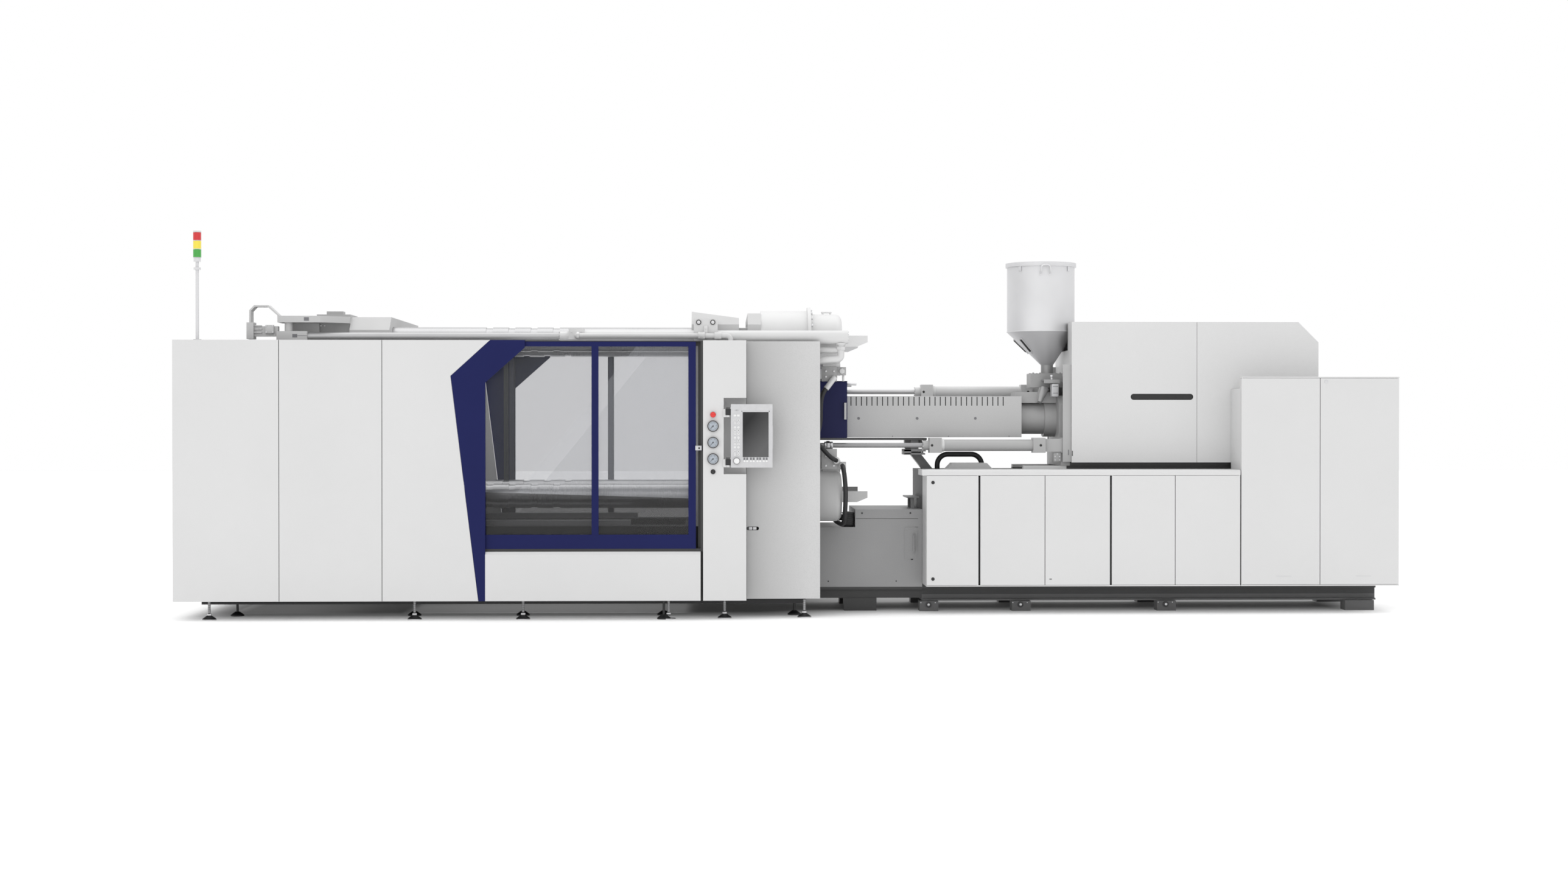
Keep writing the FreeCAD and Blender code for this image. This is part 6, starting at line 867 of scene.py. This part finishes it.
# %% [markdown]
# ## Elbow, drain pipe and hoses by the nozzle
# A thick pipe drops from the travel cylinder, turns with a soft elbow and runs back to the clamp
# cylinder. Black hoses with grey ferrules leave the valve blocks. A hose is a curve through a few points
# with a round cross section; its ferrules are short bars that sit where the curve ends.

# %% Curved pipes
def pipe(name, points, radius, finish, body, turns=8):
    curve = bpy.data.curves.new(name, "CURVE")
    curve.dimensions, curve.bevel_depth, curve.bevel_resolution = "3D", radius, turns
    curve.use_fill_caps = True
    line = curve.splines.new("NURBS")
    line.points.add(len(points) - 1)
    for point, place in zip(line.points, points):
        point.co = (*place, 1.0)
    line.order_u, line.use_endpoint_u, line.resolution_u = 3, True, 8
    holder = bpy.data.objects.new(name + "_curve", curve)
    bpy.context.collection.objects.link(holder)
    bpy.context.view_layer.update()
    data = bpy.data.meshes.new_from_object(holder)
    data.name = name
    bpy.data.objects.remove(holder)
    data.materials.clear()
    data.materials.append(finish)
    made = bpy.data.objects.new(name, data)
    bpy.context.collection.objects.link(made)
    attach(made, body)
    print(f"{name}: {len(data.polygons)} faces")


pipe("drain_pipe", [(0.379, -1.080, 2.440), (0.379, -1.080, 2.360), (0.379, -1.080, 2.300),
                    (0.330, -1.080, 2.290), (0.200, -1.080, 2.285), (0.100, -1.075, 2.264),
                    (-0.020, -1.050, 2.262), (-0.090, -0.980, 2.280), (-0.100, -0.900, 2.315)],
     0.031, cylinder_grey, "machine_frame")
elbow_nuts = Workpiece("drain_pipe_nuts", cylinder_grey, "machine_frame", "steel")
elbow_nuts.bar((0.379, -1.080, 2.418), (0.379, -1.080, 2.436), 0.046, 24, 0.003)
elbow_nuts.bar((0.379, -1.080, 2.372), (0.379, -1.080, 2.402), 0.041, 6, 0.003)
elbow_nuts.done()

# %% Hoses and ferrules at the valve blocks
pipe("upper_nozzle_hose", [(0.262, -0.840, 2.040), (0.226, -0.850, 1.992), (0.208, -0.852, 1.900),
                           (0.208, -0.852, 1.690), (0.150, -0.840, 1.560), (0.020, -0.820, 1.540),
                           (-0.200, -0.810, 1.540), (-0.325, -0.810, 1.540)],
     0.021, hose_rubber, "machine_frame")
pipe("lower_nozzle_hose", [(0.352, -0.828, 1.385), (0.335, -0.860, 1.392), (0.290, -0.860, 1.420),
                           (0.215, -0.855, 1.505), (0.120, -0.850, 1.600), (0.000, -0.820, 1.640),
                           (-0.200, -0.810, 1.640), (-0.325, -0.810, 1.640)],
     0.020, hose_rubber, "machine_frame")
pipe("lower_cap_hose", [(0.407, -0.836, 1.338), (0.407, -0.930, 1.330), (0.418, -0.985, 1.250),
                        (0.428, -0.985, 1.120), (0.428, -0.930, 0.970), (0.425, -0.800, 0.810),
                        (0.400, -0.600, 0.800), (0.350, -0.430, 0.835), (0.362, -0.345, 0.850),
                        (0.405, -0.345, 0.850)],
     0.021, hose_rubber, "machine_frame")
ferrules = Workpiece("hose_ferrules", cylinder_grey, "machine_frame", "steel")
ferrules.bar((0.340, -0.815, 2.139), (0.258, -0.842, 2.030), 0.025, 20, 0.003)
ferrules.bar((0.352, -0.790, 1.385), (0.352, -0.835, 1.385), 0.032, 24, 0.004)
ferrules.bar((0.407, -0.780, 1.338), (0.407, -0.840, 1.338), 0.030, 6, 0.004)
ferrules.bar((0.403, -0.780, 2.190), (0.403, -0.836, 2.190), 0.026, 6, 0.004)
ferrules.bar((0.418, -0.760, 2.100), (0.418, -0.760, 2.160), 0.010, 20)
for z in (1.540, 1.640):
    ferrules.bar((-0.335, -0.810, z), (-0.290, -0.810, z), 0.030, 6, 0.003)
ferrules.done()

# %% [markdown]
# ## Screws and dots on the guards and the middle base
# The barrel guard is held by three large screws, and by small ones near its lower edge. The middle base
# has a few small locks and plugs. Each is a low round head with a small hexagon on it, and all of them
# share one mesh per body, so the guard's screws travel with the carriage and the base's plugs stay where
# they are. The slots of the guard look dark: a black sheet behind them is painted shade for the guard's
# inside.

# %% Guard screws and base plugs
GUARD_FACE, MIDDLE_BASE_FACE = 0.260, -0.500
guard_screws = Workpiece("barrel_guard_screws", key_dark, "carriage", "steel")
for side in (-1, 1):
    for x in (0.589, 1.133, 1.675):
        guard_screws.screw((x, GUARD_FACE * side, 1.767), (0, side, 0), 0.0125, 0.003, socket=True)
    for x in (0.904, 1.425, 1.990):
        guard_screws.screw((x, GUARD_FACE * side, 1.601), (0, side, 0), 0.0045, 0.002, socket=True)
guard_screws.done()
plugs = Workpiece("middle_base_plugs", black_plastic, "machine_frame", "black_plastic")
for x, z, radius in ((0.605, 0.896, 0.008), (1.049, 0.897, 0.008), (0.295, 0.271, 0.006),
                     (0.919, 0.272, 0.006), (1.064, 0.476, 0.012)):
    plugs.screw((x, MIDDLE_BASE_FACE, z), (0, -1, 0), radius, 0.003, socket=True)
plugs.done()
seams = Workpiece("middle_base_seam", dark_coat, "machine_frame", "steel")
for left, right, low, high in ((0.545, 1.120, 0.8455, 0.8485), (1.0825, 1.0855, 0.486, 0.760),
                               (1.0900, 1.120, 0.7655, 0.7685)):
    seams.block((left, MIDDLE_BASE_FACE - 0.0012, low), (right, MIDDLE_BASE_FACE + 0.0005, high))
seams.done()

# %% [markdown]
# ## Small parts between the base and the barrel
# A black ribbed connector stands in the step of the middle base, and a bracket of folded sheet carries
# the drip tray. Ribs and sheets are blocks in one mesh, because none of them moves alone.

# %% Ribbed connector block in the base's step
connector = Workpiece("ribbed_connector", black_plastic, "machine_frame", "black_plastic")
connector.block((0.440, -0.440, 0.770), (0.536, -0.250, 0.905), 0.012, 3)
for rib in range(7):
    z = 0.786 + rib * 0.017
    connector.block((0.428, -0.446, z), (0.538, -0.244, z + 0.008), 0.003)
connector.bar((0.400, -0.345, 0.850), (0.440, -0.345, 0.850), 0.028, 24, 0.004)
connector.done()

# %% Dark sheet behind the guard's slots, as painted shade
slot_shade_sheet = Workpiece("barrel_guard_slot_shade", hose_rubber, "carriage", "black_plastic")
for side in (-1, 1):
    faces = mirrored(side, 0.2525, 0.2545)
    slot_shade_sheet.block((0.490, faces[0], 1.835), (2.100, faces[1], 1.967))
slot_shade_sheet.done()

# %% Bracket under the drip tray and the bolt of the purge guard
bracket = Workpiece("tray_bracket", base_coat, "machine_frame", "steel")
for low, high in (((1.022, -0.140, 1.457), (1.225, 0.140, 1.480)),
                  ((1.022, -0.140, 1.427), (1.219, 0.140, 1.443)),
                  ((1.022, -0.140, 1.430), (1.089, 0.140, 1.478)),
                  ((1.085, -0.100, 1.475), (1.160, 0.100, 1.566))):
    bracket.block(low, high, 0.002)
for y in (-0.110, 0.110):
    bracket.bar((1.195, y, 1.436), (1.195, y, 1.464), 0.009, 16)
bracket.done()
guard_bolt = Workpiece("purge_guard_bolt", zinc, "machine_frame", "steel")
for side in (-1, 1):
    guard_bolt.bar((0.455, -0.385 * side, 2.086), (0.560, -0.385 * side, 2.082), 0.012, 20, 0.004)
guard_bolt.done()

# %% [markdown]
# ## Carriage cylinders
# Two long cylinders pull the injection carriage against the mould. Each has a port block with two ports,
# a gland, and a rod nut by the fixed platen. The ports are dark discs with a turned lip: the dark is painted
# shade for the inside of each port.

# %% Ports, glands and rod nuts
# The ports' dark discs are painted shade for the holes.
ports = Workpiece("carriage_cylinder_ports", dial_black, "carriage", "black_plastic")
glands = Workpiece("carriage_cylinder_glands", cylinder_grey, "carriage", "cast_grey")
rod_nuts = Workpiece("carriage_rod_nuts", zinc, "machine_frame", "steel")
for y, z, front in ((-0.420, 1.518, -0.489), (0.420, 2.022, 0.351)):
    for x in (1.250, 2.253):
        ports.turned([(0.0, 0.0008), (0.0105, 0.0008), (0.0120, 0.0), (0.0, -0.0005)], (x, front, z), "Y", 24)
    for low, high, radius in ((1.320, 1.350, 0.062), (1.350, 1.366, 0.058)):
        glands.bar((low, y, z), (high, y, z), radius, 40, 0.003)
    bolt_circle(glands, (1.171, y, z), (-1, 0, 0), 0.043, 6, 0.006, 0.006, 0.3, socket=True)
    for low, high, radius, sides in ((0.262, 0.280, 0.034, 32), (0.280, 0.312, 0.040, 6),
                                     (0.312, 0.340, 0.034, 32)):
        rod_nuts.bar((low, y, z), (high, y, z), radius, sides, 0.003)
for piece in (ports, glands, rod_nuts):
    piece.done()

# %% [markdown]
# ## Hopper: handle, sight slots, rim and clips
# The hopper is a rolled drum on a cone, of stainless sheet. A bent wire handle stands near its upper rim,
# a bead runs round each end of the drum, and two dark slots in the cone show how full it is. The handle
# is a pipe along eight points. A slot follows the cone: the places of its ends are worked out from the
# cone's two circles, and a thin capsule is laid between them, with a wider one behind it as a frame.

# %% Handle, beads and clips
DRUM_X, DRUM_RADIUS = 2.322, 0.316
THROAT_X, THROAT_RADIUS = 2.381, 0.057
HANDLE_X, GATE_Y = (2.275, 2.363), -0.306
pipe("hopper_handle", [(2.275, -0.316, 3.112), (2.275, -0.345, 3.116), (2.275, -0.352, 3.165),
                       (2.292, -0.352, 3.190), (2.346, -0.352, 3.190), (2.363, -0.352, 3.165),
                       (2.363, -0.345, 3.116), (2.363, -0.316, 3.112)],
     0.0065, brushed_stainless, "carriage")
fixings = Workpiece("hopper_fixings", brushed_stainless, "carriage", "stainless")
for x in HANDLE_X:
    fixings.block((x - 0.012, -0.3185, 3.096), (x + 0.012, -0.3115, 3.132), 0.002)
fixings.hoop((DRUM_X, 0.0, 2.579), "Z", 0.3165, 0.004, 72, 8)
fixings.hoop((DRUM_X, 0.0, 3.186), "Z", 0.3165, 0.005, 72, 8)
for step in range(4):
    angle = math.radians(45.0 + 90.0 * step)
    spot = Vector((DRUM_X + 0.322 * math.cos(angle), 0.322 * math.sin(angle), 3.165))
    turn = Matrix.Rotation(angle, 4, "Z")
    half = Vector((0.004, 0.014, 0.028))
    fixings.block(spot - half, spot + half, 0.002, 2, turn)
fixings.done()

# %% Sight slots on the cone
def cone_spot(turn, z, lift):
    """A place on the cone's sheet, at an angle round its axis and a height."""
    share = (z - CONE_LOW) / (CONE_HIGH - CONE_LOW)
    radius = THROAT_RADIUS + (DRUM_RADIUS - THROAT_RADIUS) * share + lift
    centre = THROAT_X + (DRUM_X - THROAT_X) * share
    return Vector((centre + radius * math.cos(turn), radius * math.sin(turn), z))


sight = Workpiece("hopper_sight_slots", dial_black, "carriage", "black_plastic")
frames = Workpiece("hopper_sight_frames", brushed_stainless, "carriage", "stainless")
for turn in (math.radians(212.0), math.radians(170.0)):
    sight.bar(cone_spot(turn, 2.398, 0.002), cone_spot(turn, 2.508, 0.002), 0.0130, 16, 0.003)
    frames.bar(cone_spot(turn, 2.385, -0.012), cone_spot(turn, 2.521, -0.012), 0.0180, 16, 0.003)
sight.done()
frames.done()

# %% Handle of the slide gate, sample chute and clamp screws
slide = Workpiece("slide_gate_grip", zinc, "slide_gate", "steel")
slide.bar((THROAT_X, GATE_Y, 2.110), (THROAT_X, GATE_Y, 2.150), 0.011, 20, 0.002)
bmesh.ops.create_uvsphere(slide.mesh, u_segments=20, v_segments=12, radius=0.017,
                          matrix=Matrix.Translation((THROAT_X, GATE_Y, 2.156)))
slide.done()
chute = Workpiece("sample_chute", brushed_stainless, "carriage", "stainless")
chute.bar((2.330, -0.205, 2.046), (2.272, -0.262, 1.916), 0.040, 28, 0.002, end_radius=0.021)
for x in (2.235, 2.300, 2.440, 2.490):
    for y in (-0.110, 0.110):
        chute.screw((x, y, 2.188), (0, 0, 1), 0.009, 0.008)
chute.done()

# %% [markdown]
# ## Boxes beside the feed casting
# A grey junction box with two slots, a small valve block with five screws and two cover plates on the
# hood's sides fill the corner between the feed casting and the hood. They are bevelled blocks: at this
# size the bevel is what the eye reads.

# %% Junction box, cover plates and valve block
junction = Workpiece("feed_junction_box", keypad_grey, "carriage", "panel_grey")
junction.block((2.380, -0.330, 1.968), (2.4445, -0.195, 2.086), 0.008, 3)
junction.done()
slots = Workpiece("junction_box_slots", key_dark, "carriage", "black_plastic")
for z in (2.000, 2.062):
    slots.block((2.388, -0.3312, z - 0.0025), (2.436, -0.3290, z + 0.0025), 0.0008)
slots.done()
side_plates = Workpiece("hood_side_plates", casting_grey, "carriage", "panel_grey")
plate_slots = Workpiece("hood_plate_slots", key_dark, "carriage", "black_plastic")
for side in (-1, 1):
    plate_faces, slot_faces = mirrored(side, 0.470, 0.474), mirrored(side, 0.4735, 0.4752)
    side_plates.block((2.458, plate_faces[0], 1.366), (2.536, plate_faces[1], 2.262))
    plate_slots.block((2.506, slot_faces[0], 1.428), (2.516, slot_faces[1], 1.478), 0.0005)
side_plates.done()
plate_slots.done()
small_valve = Workpiece("carriage_valve_block", casting_grey, "carriage", "cast_grey")
small_valve.block((2.378, -0.440, 1.366), (2.449, -0.330, 1.4475), 0.003)
small_valve.done()
valve_screws = Workpiece("carriage_valve_screws", zinc, "carriage", "steel")
for x, z in ((2.392, 1.382), (2.434, 1.382), (2.392, 1.414), (2.434, 1.414), (2.413, 1.438)):
    valve_screws.screw((x, -0.440, z), (0, -1, 0), 0.0065, 0.005, socket=True)
valve_screws.done()

# %% [markdown]
# ## Doors, locks and the slot in the hood
# The cabinets' doors hang on inner hinges, so only a seam shows. The first door has two round locks, the
# third a latch slot, and the tall cabinet a thin line on each door and one round lock. The hood's long
# slot opens on the shaded drive inside; a matt black sheet behind the slot is painted shade for it. The
# gaps between doors are closed by black seals, drawn as blocks that lie deeper than the doors' faces.

# %% Locks, lines and the shade sheet in the hood's slot
DOOR_FACE, LOCK_X = -0.900, 1.219
door_locks = Workpiece("door_1_locks", black_plastic, "low_door_1", "black_plastic")
for z in (1.187, 0.318):
    door_locks.turned([(0.0, 0.0030), (0.0070, 0.0032), (0.0120, 0.0045), (0.0150, 0.0035), (0.0158, 0.0)],
                      (LOCK_X, DOOR_FACE, z), "Y", 32)
    door_locks.block((LOCK_X - 0.0075, DOOR_FACE - 0.0038, z - 0.0012),
                     (LOCK_X + 0.0075, DOOR_FACE - 0.0030, z + 0.0012))
door_locks.done()
latch_slot = Workpiece("door_3_latch_slot", black_plastic, "low_door_3", "black_plastic")
latch_slot.block((2.271, DOOR_FACE - 0.0015, 0.3125), (2.293, DOOR_FACE + 0.0005, 0.3195), 0.001)
latch_slot.done()
for number, low in ((1, 4.331), (2, 5.057)):
    line = Workpiece(f"tall_door_{number}_line", keypad_grey, f"tall_door_{number}", "panel_grey")
    line.block((low, DOOR_FACE - 0.0010, 0.337), (low + 0.137, DOOR_FACE + 0.0005, 0.3405))
    line.done()
cabinet_lock = Workpiece("cabinet_locks", zinc, "tall_door_2", "steel")
cabinet_lock.turned([(0.0, 0.0028), (0.010, 0.0030), (0.0150, 0.0024), (0.0160, 0.0)],
                    (4.783, DOOR_FACE, 2.097), "Y", 32)
cabinet_lock.done()
# A matt black sheet behind the hood's slot is painted shade for the drive inside; a small second block near
# the hood's left edge is painted shade in the same way.
hood_shade_sheet = Workpiece("hood_slot_shade", dial_black, "carriage", "black_plastic")
hood_shade_sheet.block((3.050, -0.4860, 1.905), (3.692, -0.4790, 2.023))
hood_shade_sheet.block((2.539, -0.4985, 1.420), (2.547, -0.4965, 1.468), 0.001)
hood_shade_sheet.done()

# %% Finger pulls in the service covers
pulls = Workpiece("service_finger_pulls", keypad_grey, "machine_frame", "panel_grey")
for side in (-1, 1):
    faces = mirrored(side, 1.1830, 1.1905)
    for left, right in ((-0.442, -0.4105), (-0.4055, -0.374)):
        pulls.block((left, faces[0], 0.7780), (right, faces[1], 0.8020), 0.004, 3)
pulls.done()

# %% Seals behind the door gaps and in the seams of the covers
seals = Workpiece("door_seals", hose_rubber, "machine_frame", "black_plastic")
for x, half, high in ((1.6385, 0.016, 1.257), (2.8285, 0.016, 1.257), (4.007, 0.010, 1.257),
                      (2.232, 0.010, 1.257), (3.412, 0.010, 1.257), (4.729, 0.010, 2.138)):
    seals.block((x - half, -0.8714, 0.253), (x + half, -0.8560, high), 0.002)
for x in (-4.532, -3.639):
    for side in (-1, 1):
        faces = mirrored(side, 1.3950, 1.4004)
        seals.block((x - 0.0022, faces[0], 0.170), (x + 0.0022, faces[1], 2.444))
seals.done()

# %% [markdown]
# ## Feet and base pads
# The machine stands on levelling feet: a threaded rod with a nut in a black foot with a bright rim. Along
# the injection base's lower edge there are pads, each with a round boss, a hexagon on it and two screws.
# A thread is a stack of thin rings here, which looks the same as a helix at this size and needs far fewer
# faces.

# %% Threads, rims and lock nuts of the feet
FRONT_LINE, SERVICE_LINE = -1.296, -1.164
THREAD_FOOT, THREAD_PITCH = 0.064, 0.0075
feet = [(x, line) for line in (FRONT_LINE, -FRONT_LINE) for x in (-5.158, -3.371, -2.423, -1.148)]
feet += [(0.050, SERVICE_LINE), (0.050, -SERVICE_LINE), (-0.656, -1.230), (-0.656, 1.360)]
threads = Workpiece("foot_threads", zinc, "machine_frame", "steel")
foot_rims = Workpiece("foot_rims", zinc, "machine_frame", "steel")
for x, y in feet:
    for ring in range(13):
        z = THREAD_FOOT + ring * THREAD_PITCH
        threads.turned([(0.0108, 0.0), (0.0124, 0.0022), (0.0124, 0.0036), (0.0108, 0.0058)],
                       (x, y, z), "Z", 12)
    threads.bar((x, y, 0.040), (x, y, 0.056), 0.021, 6, 0.002)
    foot_rims.turned([(0.0602, 0.0002), (0.0622, 0.0008), (0.0622, 0.0060), (0.0602, 0.0085)],
                     (x, y, 0.0), "Z", 40)
threads.done()
foot_rims.done()

# %% Bosses and screws of the base pads
pads = Workpiece("base_pad_bosses", dark_coat, "machine_frame", "steel")
pad_screws = Workpiece("base_pad_screws", zinc, "machine_frame", "steel")
for side in (-1, 1):
    for x in (1.211, 2.056, 3.395):
        pads.bar((x, 0.558 * side, 0.060), (x, 0.572 * side, 0.060), 0.026, 28, 0.003)
        pad_screws.bar((x, 0.570 * side, 0.060), (x, 0.578 * side, 0.060), 0.0125, 6, 0.0015)
        for corner in (-0.070, 0.062):
            pad_screws.screw((x + corner, 0.560 * side, 0.078), (0, side, 0), 0.005, 0.003)
pads.done()
pad_screws.done()

# %% [markdown]
# ## Lock housings and link plates
# Over the left covers the lock housings of the tie bars show, with two cable slots, a thin line and two
# screws in each face. The slots are dark insets. The housing on the far side is the same one turned
# upside down, so heights are turned over the machine's axis there. The link plates, their screws and
# three vents show on the operator's side only. Everything here rides on the moving platen, so it travels
# with it when the mould opens.

# %% Insets and screws on the lock housings
MACHINE_AXIS = 1.770
housing_marks = Workpiece("lock_housing_slots", key_dark, "moving_platen", "black_plastic")
housing_screws = Workpiece("lock_housing_screws", zinc, "moving_platen", "steel")
link_plates = Workpiece("link_plates", yoke_paint, "moving_platen", "cast_grey")


def turned_over(side, height):
    """A height as it is on the operator's side, or its twin under the machine's axis on the far side."""
    return MACHINE_AXIS - side * (height - MACHINE_AXIS)


def inset(side, left, right, low, high, face):
    """A thin dark block that stands a little out of a housing's face."""
    heights = sorted(turned_over(side, height) for height in (low, high))
    depths = mirrored(side, face - 0.003, face + 0.0008)
    housing_marks.block((left, depths[0], heights[0]), (right, depths[1], heights[1]), 0.0006, 1)


def pin(side, left, height, face, radius=0.0065):
    """A screw on a housing or a link plate."""
    housing_screws.screw((left, face * side, turned_over(side, height)), (0, side, 0), radius, 0.005,
                         socket=True)


for side in (-1, 1):
    inset(side, -4.362, -4.318, 2.624, 2.655, 1.139)
    inset(side, -4.465, -4.422, 2.477, 2.507, 1.132)
    inset(side, -4.422, -4.338, 2.490, 2.494, 1.132)
    for left in (-4.255, -4.221):
        pin(side, left, 2.591, 0.915)
link_plates.block((-4.702, -1.136, 2.512), (-4.628, -1.108, 2.587), 0.003)
for left in (-4.693, -4.637):
    for height in (2.522, 2.577):
        pin(-1, left, height, 1.136, 0.006)
for height in (2.515, 2.545, 2.575):
    link_plates.block((-4.805, -1.125, height), (-4.735, -1.106, height + 0.010), 0.002)
link_plates.block((-4.545, -0.940, 2.500), (-4.262, -0.925, 2.612), 0.003)
housing_marks.done()
housing_screws.done()
link_plates.done()

# %% [markdown]
# ## Heater clamps and their leads
# Each heater band on the barrel closes with two clamp screws on top, and three of them show a lead that
# runs back to the hood. They sit under the barrel guard and only show when the guard is cut away, so they
# are kept simple.

# %% Clamps on the bands and the leads
BAND_START, BAND_STEP = 0.500, 0.315
clamps = Workpiece("heater_band_clamps", zinc, "carriage", "steel")
for number in range(5):
    left = BAND_START + BAND_STEP * number
    for x in (left + 0.045, left + 0.205):
        for y in (-0.016, 0.006):
            clamps.block((x - 0.012, y, 1.912), (x + 0.012, y + 0.010, 1.938), 0.002)
        clamps.bar((x, -0.024, 1.928), (x, 0.026, 1.928), 0.004, 12)
    clamps.bar((left + 0.125, 0.0, 1.910), (left + 0.125, 0.0, 1.930), 0.010, 16, 0.002)
clamps.done()
for number in (0, 2, 4):
    left = BAND_START + 0.125 + BAND_STEP * number
    pipe(f"heater_lead_{number}", [(left, 0.0, 1.928), (left + 0.02, 0.050, 1.950),
                                   (left + 0.10, 0.110, 1.945), (left + 0.30, 0.130, 1.925),
                                   (2.030, 0.120, 1.880), (2.075, 0.115, 1.865)],
         0.006, hose_rubber, "carriage", turns=3)

# %% [markdown]
# ## Latch on the gate
# The gate's grey latch plate has a round key hole. Both ride on the gate, so they slide with it.

# %% Latch plate and its hole
latch = Workpiece("front_gate_latch", keypad_grey, "front_gate", "steel")
latch_hole = Workpiece("front_gate_latch_hole", dial_black, "front_gate", "black_plastic")
latch.block((-0.912, -1.3765, 1.4835), (-0.8565, -1.3725, 1.5240), 0.0016)
latch_hole.turned([(0.0, 0.0006), (0.0080, 0.0006), (0.0085, -0.0002), (0.0, -0.0004)],
                  (-0.879, -1.3765, 1.5025), "Y", 28)
latch.done()
latch_hole.done()
